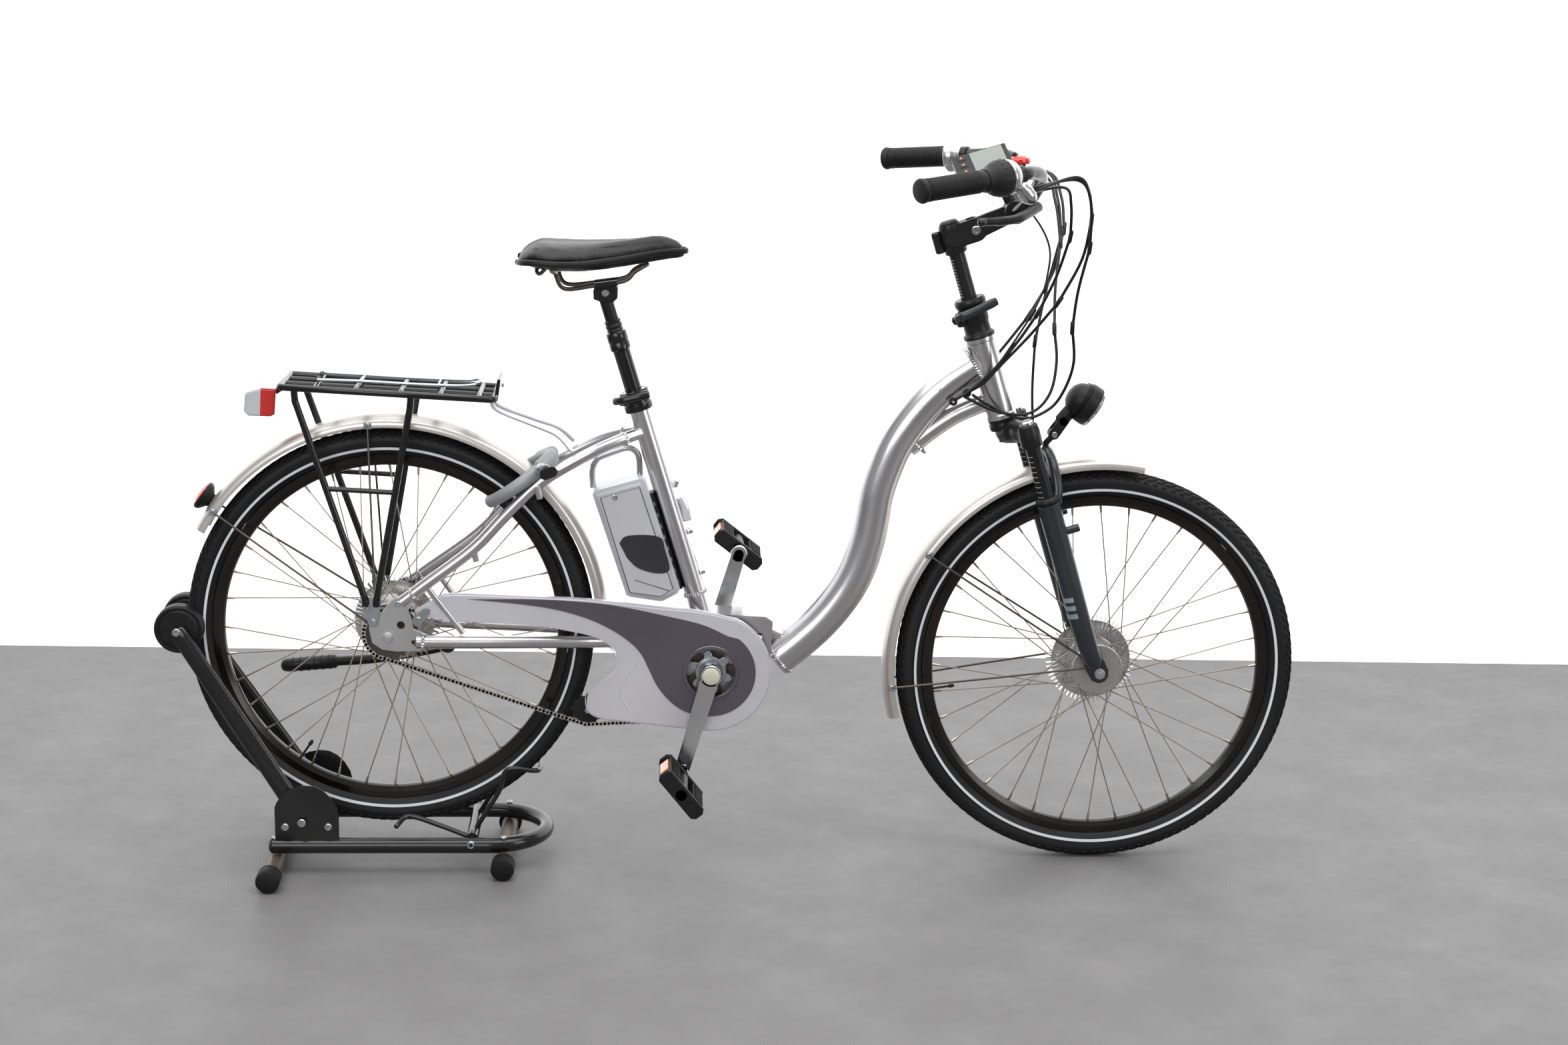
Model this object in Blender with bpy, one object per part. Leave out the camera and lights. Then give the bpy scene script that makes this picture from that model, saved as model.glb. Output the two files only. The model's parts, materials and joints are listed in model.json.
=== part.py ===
"""Low-step electric city bicycle held by its rear wheel in a floor stand.

Metres, +Z up, the bicycle faces +X and its drive side is -Y.  The stand is modelled in the
world frame.  The bicycle is modelled in its own frame, with the rear axle at the origin and
the front axle straight ahead on +X, and an empty lifts and pitches it into the stand.
"""
from math import asin, atan2, ceil, cos, degrees, hypot, pi, radians, sin

import bmesh
import bpy
from mathutils import Matrix, Vector

# ------------------------------------------------------------------ driving dimensions
GAP = 0.0004                # air left between solids that touch on the real object
RUN = 0.0005                # radial running clearance of turning and sliding pieces

WHEEL_R = 0.326             # outer radius of the 26 inch tyres
TYRE_W = 0.047              # tyre width
RIM_OUT_R = 0.2846          # outer edge of the rim flanges
RIM_IN_R = 0.2660           # spoke bed of the rim
RIM_W = 0.025
DRAWN_WHEELBASE = 1.145     # the wheelbase that the places along the bicycle are drawn for
WHEELBASE = 1.145
REAR_LIFT = 0.0607          # how far the stand lifts the rear axle
SPOKES = 36

REAR_OLD = 0.132            # width between the rear dropouts
FRONT_OLD = 0.103           # width between the fork ends
DROPOUT_T = 0.006
AXLE_R = 0.005

BB = Vector((0.516, 0.0, -0.031))       # centre of the crank spindle
CRANK_LEN = 0.170
CRANK_ANGLE = radians(13.1)             # right crank, back from straight down
CRANK_T = 0.015
CRANK_Y = 0.073                         # inner face of the crank arms
SPINDLE_R = 0.010
CHAIN_Y = -0.047                        # middle of the chain
CHAIN_W = 0.0065
CHAIN_H = 0.0080
PITCH = 0.0127
RING_TEETH = 40
SPROCKET_TEETH = 20
PULLEY_TEETH = 12
CHAIN_FACET = radians(14)               # longest arc of chain drawn as one straight piece
PULLEY = Vector((0.322, 0.0, -0.108))

TUBE_R = 0.030              # main tube
HEAD_R = 0.0235
HEAD_BORE_R = 0.0170
STEERER_R = 0.0143
SEAT_TUBE_R = 0.0170
POST_R = 0.0136
POST_INNER_R = 0.0108
STAY_R = 0.0095
CHAINSTAY_R = 0.0105

HEAD_TOP = Vector((WHEELBASE - 0.234, 0.0, 0.529))
HEAD_LEN = 0.135
STEER_TILT = radians(20.0)
SEAT_TUBE_TOP = Vector((0.367, 0.0, 0.4087))
SEAT_TILT = radians(20.0)
SEAT_TUBE_LEN = 0.382

LEG_Y = 0.066               # fork legs, either side of the wheel
LEG_T = 0.030               # fork legs ahead of the steering axis
LEG_R = 0.0190
STANCHION_R = 0.0125
FORK_LEN = 0.577            # head tube top to front axle, along the steering axis
FORK_TRAVEL = 0.045

GUARD_R = 0.350             # crown of the mudguards
GUARD_EDGE_R = 0.331
GUARD_W = 0.060
GUARD_WALL = 0.0016

RACK_Z = 0.391              # middle of the carrier deck
RACK_T = 0.012
RACK_W = 0.140
RACK_REAR = -0.187
RACK_FRONT = 0.155

GRIP_R = 0.0165
BAR_R = 0.0111
GRIP_LEN = 0.122
BAR_HALF = 0.303            # from the middle to the end of either grip
BAR_END = Vector((WHEELBASE - 0.380, -BAR_HALF, 0.778))

STAND_TUBE_R = 0.0125
STAND_Z = 0.0460            # height of the stand's side tubes
STAND_Y = 0.0900            # and how far out they run
STAND_REAR_X = -0.7590
STAND_BEND_X = -0.4150      # where the front bend begins
REAR_FOOT = (-0.7550, STAND_Y + 0.100)    # place and half length of the cross tubes
FRONT_FOOT = (-0.3900, STAND_Y + 0.045)
FOOT_TUBE_R = 0.0135
CAP_R = 0.0190
PLATE_Y = STAND_Y + 0.0040            # inner face of the side plates
PLATE_T = 0.0030
ARM_PIVOT = Vector((-0.7104, 0.0, 0.0884))
ARM_Y = STAND_Y - 0.0070
ARM_TOP_Y = 0.0590
ROLLER = Vector((-0.9050, 0.0, 0.3930))
ROLLER_R = 0.0390
ROLLER_IN = 0.0265
ROLLER_OUT = 0.0500
STOP_PIVOT = Vector((-0.4414, 0.0, 0.0520))

RING_R = PITCH / (2 * sin(pi / RING_TEETH))
SPROCKET_R = PITCH / (2 * sin(pi / SPROCKET_TEETH))
PULLEY_R = PITCH / (2 * sin(pi / PULLEY_TEETH))
PITCH_DOWN = asin(REAR_LIFT / WHEELBASE)
BASE_X = WHEELBASE * cos(PITCH_DOWN)
STAND_AHEAD = 0.571695      # zero of the stand's drawing, ahead of the rear axle
ORIGIN_X = -0.02315         # middle of the whole object, measured from midway between the axles

STEER_UP = Vector((-sin(STEER_TILT), 0.0, cos(STEER_TILT)))
STEER_FWD = Vector((cos(STEER_TILT), 0.0, sin(STEER_TILT)))
SEAT_UP = Vector((-sin(SEAT_TILT), 0.0, cos(SEAT_TILT)))
FRONT_AXLE = Vector((WHEELBASE, 0.0, 0.0))

for old in list(bpy.data.objects):
    bpy.data.objects.remove(old, do_unlink=True)


# ------------------------------------------------------------------ materials
def material(name, colour, roughness, metallic=0.0):
    mat = bpy.data.materials.new(name)
    mat.use_nodes = True
    shader = mat.node_tree.nodes["Principled BSDF"]
    shader.inputs["Base Color"].default_value = (*colour, 1.0)
    shader.inputs["Roughness"].default_value = roughness
    shader.inputs["Metallic"].default_value = metallic
    mat.diffuse_color = (*colour, 1.0)
    return mat


SILVER = material("brushed_frame", (0.62, 0.62, 0.62), 0.34, 1.0)
COVER = material("silver_cover", (0.66, 0.65, 0.67), 0.40, 0.4)
ALLOY = material("cast_alloy", (0.60, 0.61, 0.62), 0.38, 1.0)
STEEL = material("zinc_steel", (0.58, 0.62, 0.66), 0.30, 1.0)
CHAIN_STEEL = material("chain_steel", (0.50, 0.49, 0.47), 0.40, 1.0)
CHAMPAGNE = material("mudguard_silver", (0.60, 0.58, 0.55), 0.35, 0.5)
BLACK = material("black_enamel", (0.02, 0.02, 0.02), 0.30)
RIM_BLACK = material("rim_black", (0.025, 0.02, 0.02), 0.25, 0.3)
RUBBER = material("tyre_rubber", (0.02, 0.02, 0.02), 0.80)
GRIP_RUBBER = material("grip_rubber", (0.03, 0.03, 0.03), 0.70)
PLASTIC = material("black_plastic", (0.03, 0.03, 0.03), 0.45)
LEATHER = material("saddle_leather", (0.02, 0.02, 0.02), 0.50)
FORK_GREY = material("fork_grey", (0.08, 0.085, 0.09), 0.40)
BROWNED = material("worn_stand_tube", (0.13, 0.11, 0.09), 0.50)
LENS = material("lamp_lens", (0.75, 0.20, 0.18), 0.15)
GREY_SHELL = material("lock_grey", (0.55, 0.56, 0.55), 0.45)


# ------------------------------------------------------------------ frames of reference
def empty(name, location=(0, 0, 0), tilt=0.0):
    frame = bpy.data.objects.new(name, None)
    bpy.context.scene.collection.objects.link(frame)
    frame.location = location
    frame.rotation_euler = (0.0, tilt, 0.0)
    return frame


FLOOR = empty("stand_origin", (STAND_AHEAD - BASE_X / 2 - ORIGIN_X, 0, 0))
BIKE = empty("bicycle", (-BASE_X / 2 - ORIGIN_X, 0, WHEEL_R + REAR_LIFT), PITCH_DOWN)


def steer(s, t, y=0.0):
    """A point s up the steering axis from the head tube's top, t ahead of it and y aside."""
    return HEAD_TOP + STEER_UP * s + STEER_FWD * t + Vector((0, y, 0))


def seat(s, t=0.0, y=0.0):
    """A point s up the seat tube from its top, and t ahead of its axis."""
    ahead = Vector((cos(SEAT_TILT), 0, sin(SEAT_TILT)))
    return SEAT_TUBE_TOP + SEAT_UP * s + ahead * t + Vector((0, y, 0))


def reach(x):
    """Where a place drawn at x lies: behind 0.64 it stays, and ahead of 0.74 it goes with the front axle."""
    share = min(max((x - 0.64) / 0.10, 0.0), 1.0)
    return x + (WHEELBASE - DRAWN_WHEELBASE) * share * share * (3 - 2 * share)


def at(x, z, y=0.0):
    """A point of the bicycle, x ahead of the rear axle on a bicycle of the drawn wheelbase."""
    return Vector((reach(x), y, z))


# ------------------------------------------------------------------ mesh tools
def finished(bm):
    bmesh.ops.recalc_face_normals(bm, faces=bm.faces)
    mesh = bpy.data.meshes.new("piece")
    bm.to_mesh(mesh)
    bm.free()
    return mesh


def bridge(bm, rings, closed):
    count = len(rings)
    for i in range(count if closed else count - 1):
        a, b = rings[i], rings[(i + 1) % count]
        for j in range(len(a)):
            k = (j + 1) % len(a)
            bm.faces.new((a[j], a[k], b[k], b[j]))


def sweep(points, radius, sides=10, closed=False, flat=1.0):
    """A round bar along points; radius is one value or one for each point."""
    points = [Vector(p) for p in points]
    count = len(points)
    radii = radius if isinstance(radius, (list, tuple)) else [radius] * count
    bm = bmesh.new()
    rings = []
    normal = None
    for i, point in enumerate(points):
        before = points[i - 1] if (i or closed) else point
        after = points[(i + 1) % count] if (i < count - 1 or closed) else point
        tangent = (after - before).normalized()
        if normal is None:
            start = Vector((0, 1, 0)) if abs(tangent.y) < 0.9 else Vector((1, 0, 0))
            normal = (start - tangent * start.dot(tangent)).normalized()
        else:
            normal = (normal - tangent * normal.dot(tangent)).normalized()
        side = tangent.cross(normal)
        ring = []
        for j in range(sides):
            angle = 2 * pi * (j + 0.5) / sides
            offset = normal * (cos(angle) * radii[i]) + side * (sin(angle) * radii[i] * flat)
            ring.append(bm.verts.new(point + offset))
        rings.append(ring)
    bridge(bm, rings, closed)
    if not closed:
        bm.faces.new(rings[0])
        bm.faces.new(rings[-1])
    return finished(bm)


def smooth(points, steps=4):
    """More points along a Catmull-Rom curve through the given ones."""
    points = [Vector(p) for p in points]
    ends = [points[0] * 2 - points[1], *points, points[-1] * 2 - points[-2]]
    out = []
    for i in range(1, len(ends) - 2):
        p0, p1, p2, p3 = ends[i - 1:i + 3]
        for k in range(steps):
            t = k / steps
            out.append(0.5 * (2 * p1 + (p2 - p0) * t + (2 * p0 - 5 * p1 + 4 * p2 - p3) * t ** 2
                              + (3 * p1 - p0 - 3 * p2 + p3) * t ** 3))
    out.append(points[-1])
    return out


def turned(profile, centre, segments=32, start=0.0, turn=2 * pi, axis=(0, 1, 0), phase=0.0):
    """Turn a closed outline of (radius, along) pairs about an axis through centre."""
    axis = Vector(axis).normalized()
    spin = axis.to_track_quat("Y", "Z").to_matrix() if abs(axis.y) < 0.999 else Matrix.Identity(3)
    whole = turn > 2 * pi - 1e-6
    steps = segments if whole else segments + 1
    bm = bmesh.new()
    rings = []
    for i in range(steps):
        angle = phase + start + turn * i / segments
        ring = []
        for radius, along in profile:
            local = Vector((radius * cos(angle), along, radius * sin(angle)))
            ring.append(bm.verts.new(spin @ local + Vector(centre)))
        rings.append(ring)
    bridge(bm, rings, whole)
    if not whole:
        bm.faces.new(rings[0])
        bm.faces.new(rings[-1])
    bmesh.ops.remove_doubles(bm, verts=bm.verts, dist=1e-7)
    bmesh.ops.dissolve_degenerate(bm, edges=bm.edges, dist=1e-7)
    return finished(bm)


def rod(start, end, radius, sides=12):
    return sweep([start, end], radius, sides)


def drill(start, end, radius, sides=12):
    """A rod whose flats, not its corners, stand at the radius, so that a shaft turns inside its hole."""
    return rod(start, end, radius / cos(pi / sides), sides)


def plate(outline, y0, y1):
    """An (x, z) outline given a thickness from y0 to y1."""
    bm = bmesh.new()
    near = [bm.verts.new((x, y0, z)) for x, z in outline]
    far = [bm.verts.new((x, y1, z)) for x, z in outline]
    bridge(bm, [near, far], False)
    bm.faces.new(near)
    bm.faces.new(far)
    return finished(bm)


def block(low, high):
    return plate([(low[0], low[2]), (high[0], low[2]), (high[0], high[2]), (low[0], high[2])],
                 low[1], high[1])


def rounded(centres, radii, steps=6):
    """Outline of two discs and their common tangents, as for a crank arm."""
    (ax, az), (bx, bz) = centres
    along = atan2(bz - az, bx - ax)
    lean = asin((radii[0] - radii[1]) / hypot(bx - ax, bz - az))
    out = []
    for (cx, cz), radius, first, last in (
            ((ax, az), radii[0], along + pi / 2 - lean, along + 3 * pi / 2 + lean),
            ((bx, bz), radii[1], along - pi / 2 + lean, along + pi / 2 - lean)):
        for i in range(steps + 1):
            angle = first + (last - first) * i / steps
            out.append((cx + radius * cos(angle), cz + radius * sin(angle)))
    return out


def inset(outline, distance):
    """Move every corner of a counter-clockwise outline inwards by distance."""
    out = []
    count = len(outline)
    for i in range(count):
        a, b, c = (Vector(outline[(i + k) % count]) for k in (-1, 0, 1))
        d1, d2 = (b - a).normalized(), (c - b).normalized()
        n1, n2 = Vector((-d1.y, d1.x)), Vector((-d2.y, d2.x))
        middle = (n1 + n2).normalized()
        out.append(tuple(b + middle * (distance / max(middle.dot(n1), 0.5))))
    return out


def temporary(mesh, collection=None):
    helper = bpy.data.objects.new("helper", mesh)
    (collection or bpy.context.scene.collection).objects.link(helper)
    return helper


def combine(base, others, operation):
    """Join others to base, or cut them from it, and return the new mesh."""
    group = bpy.data.collections.new("tools")
    bpy.context.scene.collection.children.link(group)
    target = temporary(base)
    helpers = [temporary(mesh, group) for mesh in others]
    modifier = target.modifiers.new("join", "BOOLEAN")
    modifier.operation = operation
    modifier.solver = "EXACT"
    modifier.operand_type = "COLLECTION"
    modifier.collection = group
    graph = bpy.context.evaluated_depsgraph_get()
    result = bpy.data.meshes.new_from_object(target.evaluated_get(graph))
    for helper in [target, *helpers]:
        bpy.data.objects.remove(helper, do_unlink=True)
    bpy.data.collections.remove(group)
    bm = bmesh.new()
    bm.from_mesh(result)
    bmesh.ops.remove_doubles(bm, verts=bm.verts, dist=2e-6)
    bmesh.ops.dissolve_degenerate(bm, edges=bm.edges, dist=2e-6)
    bm.to_mesh(result)
    bm.free()
    result.materials.clear()
    return result


def fuse(first, *others):
    return combine(first, others, "UNION")


def cut(base, *tools):
    return combine(base, tools, "DIFFERENCE")


def solid(name, mesh, mat, pivot=(0, 0, 0), parent=None, level=False):
    """Name a finished mesh, given in its parent's frame, with its origin at pivot.

    level turns a wheel back so that its pattern stands square to the floor.
    """
    pivot = Vector(pivot)
    mesh.transform(Matrix.Translation(-pivot))
    mesh.name = name
    mesh.materials.clear()
    mesh.materials.append(mat)
    mesh.shade_smooth()
    mesh.set_sharp_from_angle(angle=radians(35))
    piece = bpy.data.objects.new(name, mesh)
    bpy.context.scene.collection.objects.link(piece)
    piece.parent = parent or BIKE
    piece.location = pivot
    if level:
        piece.rotation_euler = (0.0, -PITCH_DOWN, 0.0)
    return piece


# ------------------------------------------------------------------ wheels
def tyre_profile():
    """Closed section of a tyre; the bead sits just outside the rim flanges."""
    half = TYRE_W / 2
    middle = (WHEEL_R + RIM_OUT_R) / 2 + 0.002
    out = [(RIM_OUT_R + GAP, -0.010)]
    steps = 8
    for i in range(steps + 1):
        angle = -pi * 0.5 + pi * i / steps
        radius = middle + (WHEEL_R - middle) * cos(angle)
        out.append((radius, half * sin(angle)))
    out.append((RIM_OUT_R + GAP, 0.010))
    return out


def wheel_rim():
    half = RIM_W / 2
    return [(RIM_OUT_R, -half), (RIM_OUT_R, half), (RIM_OUT_R - 0.012, half),
            (RIM_IN_R, half * 0.45), (RIM_IN_R, -half * 0.45), (RIM_OUT_R - 0.012, -half)]


def laced(centre, shell, flanges, flange_r):
    """A hub shell with its tangent spokes, both sides, fused into one piece."""
    bars = []
    per_side = SPOKES // 2
    for side, y in enumerate(flanges):
        for i in range(per_side):
            phase = 2 * pi * (i + side / 2) / per_side
            lean = radians(62 if i % 2 else -62)
            lift = 0.0016 if i % 2 else -0.0016
            hub = Vector((cos(phase), 0, sin(phase))) * (flange_r - 0.004)
            rim_angle = phase + lean * 0.62
            rim = Vector((cos(rim_angle), 0, sin(rim_angle))) * (RIM_IN_R * cos(pi / 48) - 2 * GAP)
            hub.y = y + lift
            rim.y = 0.035 * y
            bars.append(rod(hub + centre, rim + centre, 0.0011, 4))
    return fuse(shell, *bars)


def wheel(side, centre, hub_profile, flanges, flange_r, disc_y):
    solid(f"{side}_tyre", turned(tyre_profile(), centre, 48, phase=-pi / 2), RUBBER, centre, level=True)
    solid(f"{side}_rim", turned(wheel_rim(), centre, 48, phase=-pi / 2), RIM_BLACK, centre, level=True)
    shell = turned(hub_profile, centre, 20)
    solid(f"{side}_hub", laced(centre, shell, flanges, flange_r), ALLOY, centre, level=True)
    inner = 0.0200
    disc = [(inner, disc_y[0]), (0.050, disc_y[0]), (0.0745, disc_y[0] + 0.005),
            (0.0745, disc_y[1] - 0.001), (0.050, disc_y[1]), (inner, disc_y[1])]
    solid(f"{side}_brake_disc", turned(disc, centre, 28), ALLOY, centre, level=True)


def hub_profile(old, body_r, flanges, flange_r, drum_y, nut_y):
    """Half section of a hub from its left nut to its right nut, about the Y axis."""
    neck = 0.0175
    half = old / 2 - 0.002
    right, left = flanges
    return [(0, -nut_y - 0.007), (0.0085, -nut_y - 0.007), (0.0085, -nut_y), (AXLE_R, -nut_y),
            (AXLE_R, -half), (neck, -half), (neck, right - 0.004), (flange_r, right - 0.0025),
            (flange_r, right + 0.0025), (body_r, right + 0.008), (body_r, left - 0.008),
            (flange_r, left - 0.0025), (flange_r, left + 0.0025), (neck + 0.002, drum_y - GAP),
            (neck + 0.002, half - 0.006), (0.012, half - 0.006), (0.012, half), (AXLE_R, half),
            (AXLE_R, nut_y), (0.0085, nut_y), (0.0085, nut_y + 0.007), (0, nut_y + 0.007)]


def wheels():
    rear_flanges = (-0.032, 0.032)
    rear_nut = REAR_OLD / 2 + DROPOUT_T + GAP
    profile = hub_profile(REAR_OLD, 0.040, rear_flanges, 0.046, 0.042, rear_nut)
    wheel("rear", Vector((0, 0, 0)), profile, rear_flanges, 0.046, (0.042, 0.056))
    front_flanges = (-0.031, 0.026)
    front_nut = FRONT_OLD / 2 + DROPOUT_T + GAP
    profile = hub_profile(FRONT_OLD, 0.022, front_flanges, 0.041, 0.0330, front_nut)
    wheel("front", FRONT_AXLE, profile, front_flanges, 0.041, (0.0330, 0.0450))


# ------------------------------------------------------------------ frame
MAIN_TUBE = [(0.905, 0.482), (0.870, 0.455), (0.838, 0.422), (0.812, 0.386), (0.790, 0.347),
             (0.776, 0.308), (0.766, 0.268), (0.762, 0.228), (0.757, 0.190), (0.747, 0.148),
             (0.733, 0.112), (0.712, 0.076), (0.686, 0.042), (0.655, 0.010), (0.622, -0.020)]
BRACE_TUBE = [(0.935, 0.425), (0.918, 0.419), (0.880, 0.399), (0.845, 0.372), (0.812, 0.342)]
SEAT_STAY = [(0.018, 0.058, 0.069), (0.060, 0.093, 0.066), (0.128, 0.150, 0.060),
             (0.175, 0.205, 0.056), (0.223, 0.257, 0.053), (0.268, 0.290, 0.050),
             (0.314, 0.317, 0.044), (0.350, 0.333, 0.030), (0.381, 0.343, 0.012)]
CHAIN_STAY = [(0.045, -0.005, 0.069), (0.120, -0.003, 0.062), (0.200, 0.000, 0.055),
              (0.300, 0.003, 0.0430), (0.345, 0.006, 0.0420),
              (BB.x - RING_R - 0.013066, 0.010, 0.0420)]
DROPOUT = [(-0.030, 0.012), (-0.024, -0.010), (-0.008, -0.020), (0.015, -0.022), (0.060, -0.018),
           (0.062, 0.008), (0.030, 0.050), (0.022, 0.068), (0.004, 0.062), (-0.012, 0.040),
           (-0.030, 0.030)]
WALL_X = BB.x - RING_R - 0.009066          # front of the bracket's rear wall, just behind the chainring
BRACKET_TOP = [(WALL_X - 0.011, 0.030), (0.612, 0.030), (0.612, 0.050), (0.590, 0.058), (0.470, 0.058),
               (WALL_X - 0.011, 0.048)]


def mirrored(points):
    return [[Vector((x, side * y, z)) for x, z, y in points] for side in (-1, 1)]


def main_frame():
    parts = [sweep([at(x, z) for x, z in MAIN_TUBE], TUBE_R, 12),
             sweep([at(x, z) for x, z in BRACE_TUBE], 0.0150, 10),
             rod(seat(0), seat(-SEAT_TUBE_LEN), SEAT_TUBE_R, 12),
             rod(at(0.576, 0.0385), at(0.640, 0.0140), 0.0125, 8),
             plate(BRACKET_TOP, -0.032, 0.032),
             block((0.596, -0.032, -0.062), (0.612, 0.032, 0.040)),
             block((WALL_X - 0.011, -0.050, -0.030), (WALL_X, 0.050, 0.040))]
    for path in mirrored(SEAT_STAY):
        parts.append(sweep(path, STAY_R, 8))
    for path in mirrored(CHAIN_STAY):
        parts.append(sweep(path, CHAINSTAY_R, 8))
    inner = REAR_OLD / 2
    for side in (-1, 1):
        faces = sorted((side * inner, side * (inner + DROPOUT_T)))
        parts.append(plate(DROPOUT, *faces))
    head = rod(steer(-HEAD_LEN, 0), steer(0, 0), HEAD_R, 16)
    body = fuse(head, *parts)
    past = 0.01
    body = cut(body, rod(steer(-HEAD_LEN - past, 0), steer(past, 0), HEAD_BORE_R, 16),
               rod(seat(past), seat(-0.250), POST_R + RUN, 16),
               drill(at(0, 0, -0.09), at(0, 0, 0.09), AXLE_R + RUN, 12))
    solid("frame", body, SILVER)


def seat_clamp():
    inner, outer = SEAT_TUBE_R + GAP, SEAT_TUBE_R + 0.006
    centre = seat(-0.032)
    ring = rod(centre, centre + SEAT_UP * 0.033, outer, 20)
    lug = block((0.345, -0.011, 0.384), (0.362, 0.011, 0.401))
    bore = rod(centre - SEAT_UP * 0.01, centre + SEAT_UP * 0.05, inner, 20)
    solid("seat_clamp", cut(fuse(ring, lug), bore), BLACK)
    lever = sweep([at(0.3395, 0.3925, -0.010), at(0.3395, 0.3925, -0.018), at(0.350, 0.3965, -0.029),
                   at(0.372, 0.404, -0.031), at(0.392, 0.4100, -0.029)],
                  [0.0045, 0.0045, 0.0045, 0.0055, 0.0050], 8)
    solid("seat_clamp_lever", lever, BLACK, at(0.3395, 0.3925, -0.014))


# ------------------------------------------------------------------ drive
def motor_unit():
    outline = [(0.434, 0.0290), (0.566, 0.0290), (0.590, 0.0120), (0.590, -0.075), (0.574, -0.104), (0.540, -0.118),
               (0.470, -0.118), (0.444, -0.100), (0.434, -0.070)]
    case = plate(outline, -0.040, 0.050)
    boss = rod(at(BB.x, BB.z, 0.040), at(BB.x, BB.z, 0.062), 0.030, 16)
    bore = drill(at(BB.x, BB.z, -0.09), at(BB.x, BB.z, 0.09), SPINDLE_R + RUN, 14)
    solid("motor_unit", cut(fuse(case, boss), bore), ALLOY)


def guard_outline():
    nose = []
    radius = 0.0975
    for i in range(11):
        angle = radians(68 - 16 * i)
        nose.append((BB.x + radius * cos(angle), BB.z + radius * sin(angle)))
    lower = [(0.396, -0.1215), (0.344, -0.1185), (0.325, -0.1090), (0.3175, -0.0910),
             (0.320, -0.0715), (0.337, -0.0546), (0.361, -0.0373), (0.3645, -0.0180),
             (0.353, 0.0004), (0.3275, 0.0150), (0.281, 0.0235), (0.2276, 0.0286),
             (0.0947, 0.0298), (0.0569, 0.0341), (0.0398, 0.0440)]
    upper = [(0.0560, 0.0558), (0.0764, 0.0678), (0.1010, 0.0770), (0.2250, 0.0785),
             (0.3180, 0.0790), (0.4250, 0.0726), (0.4930, 0.0700)]
    return nose + lower + upper


def chain_guard():
    outline = guard_outline()[::-1]
    face, skirt, wall = -0.0670, -0.0535, 0.0030
    shell = plate(outline, face, skirt)
    hollow = plate(inset(outline, wall), face + wall, skirt + 0.01)
    hole = rod(at(BB.x, BB.z, face - 0.01), at(BB.x, BB.z, skirt), 0.039, 28)
    solid("chain_guard", cut(shell, hollow, hole), COVER)


def chain_loop(offset):
    """Outline round the three toothed wheels, offset outwards from the pitch line."""
    wheels_ = [(Vector((0, 0)), SPROCKET_R + offset),
               (Vector((PULLEY.x, PULLEY.z)), PULLEY_R + offset),
               (Vector((BB.x, BB.z)), RING_R + offset)]
    tangents = []
    for i in range(3):
        (a, ra), (b, rb) = wheels_[i], wheels_[(i + 1) % 3]
        line = b - a
        tangents.append(atan2(line.y, line.x) - pi / 2 - asin((rb - ra) / line.length))
    out = []
    for i in range(3):
        centre, radius = wheels_[i]
        first, last = tangents[i - 1], tangents[i]
        while last < first:
            last += 2 * pi
        steps = max(2, ceil((last - first) / CHAIN_FACET))
        for k in range(steps + 1):
            angle = first + (last - first) * k / steps
            out.append((centre.x + radius * cos(angle), centre.y + radius * sin(angle)))
    return out


def chain():
    y0, y1 = CHAIN_Y - CHAIN_W / 2, CHAIN_Y + CHAIN_W / 2
    bm = bmesh.new()
    outer = chain_loop(CHAIN_H / 2)
    inner = chain_loop(-CHAIN_H / 2)
    rings = []
    for (ox, oz), (ix, iz) in zip(outer, inner):
        corners = [(ox, y0, oz), (ox, y1, oz), (ix, y1, iz), (ix, y0, iz)]
        rings.append([bm.verts.new(corner) for corner in corners])
    bridge(bm, rings, True)
    solid("chain", finished(bm), CHAIN_STEEL)


def toothed_disc(pitch_r, bore_r, centre, segments):
    """A toothed wheel's body, which turns just inside the chain."""
    radius = (pitch_r - CHAIN_H / 2) * cos(CHAIN_FACET / 2) - RUN
    half = 0.0016
    profile = [(bore_r, CHAIN_Y - half), (radius, CHAIN_Y - half), (radius, CHAIN_Y + half),
               (bore_r, CHAIN_Y + half)]
    return turned(profile, centre, segments)


def drive_train():
    solid("rear_sprocket", toothed_disc(SPROCKET_R, (0.0175 + RUN) / cos(pi / 24), (0, 0, 0), 24), CHAIN_STEEL)
    pulley = turned([(0, CHAIN_Y - 0.003), (0.0165, CHAIN_Y - 0.003), (0.0195, CHAIN_Y),
                     (0.0165, CHAIN_Y + 0.003), (0, CHAIN_Y + 0.003)], PULLEY, 20)
    solid("tensioner_pulley", pulley, PLASTIC, PULLEY)
    radius = (RING_R - CHAIN_H / 2) * cos(CHAIN_FACET / 2) - RUN
    end = CRANK_Y - GAP
    half = 0.0016
    profile = [(0, -end), (SPINDLE_R, -end), (SPINDLE_R, -0.0585), (0.0300, -0.0585),
               (0.0300, CHAIN_Y - half), (radius, CHAIN_Y - half), (radius, CHAIN_Y + half),
               (0.0200, CHAIN_Y + half), (0.0200, -0.0412), (SPINDLE_R, -0.0412),
               (SPINDLE_R, end), (0, end)]
    solid("chainring", turned(profile, BB, 40), STEEL, BB)


def pedal_centre(side):
    """Where a pedal's axle meets its crank; the right crank hangs down, the left stands up."""
    sign = 1 if side < 0 else -1
    return BB + Vector((-sin(CRANK_ANGLE) * sign, 0, -cos(CRANK_ANGLE) * sign)) * CRANK_LEN


def crank(name, side):
    end = pedal_centre(side)
    outline = rounded(((BB.x, BB.z), (end.x, end.z)), (0.0175, 0.0135), 6)
    faces = sorted((side * CRANK_Y, side * (CRANK_Y + CRANK_T)))
    solid(name, plate(outline, *faces), ALLOY, BB)


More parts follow.
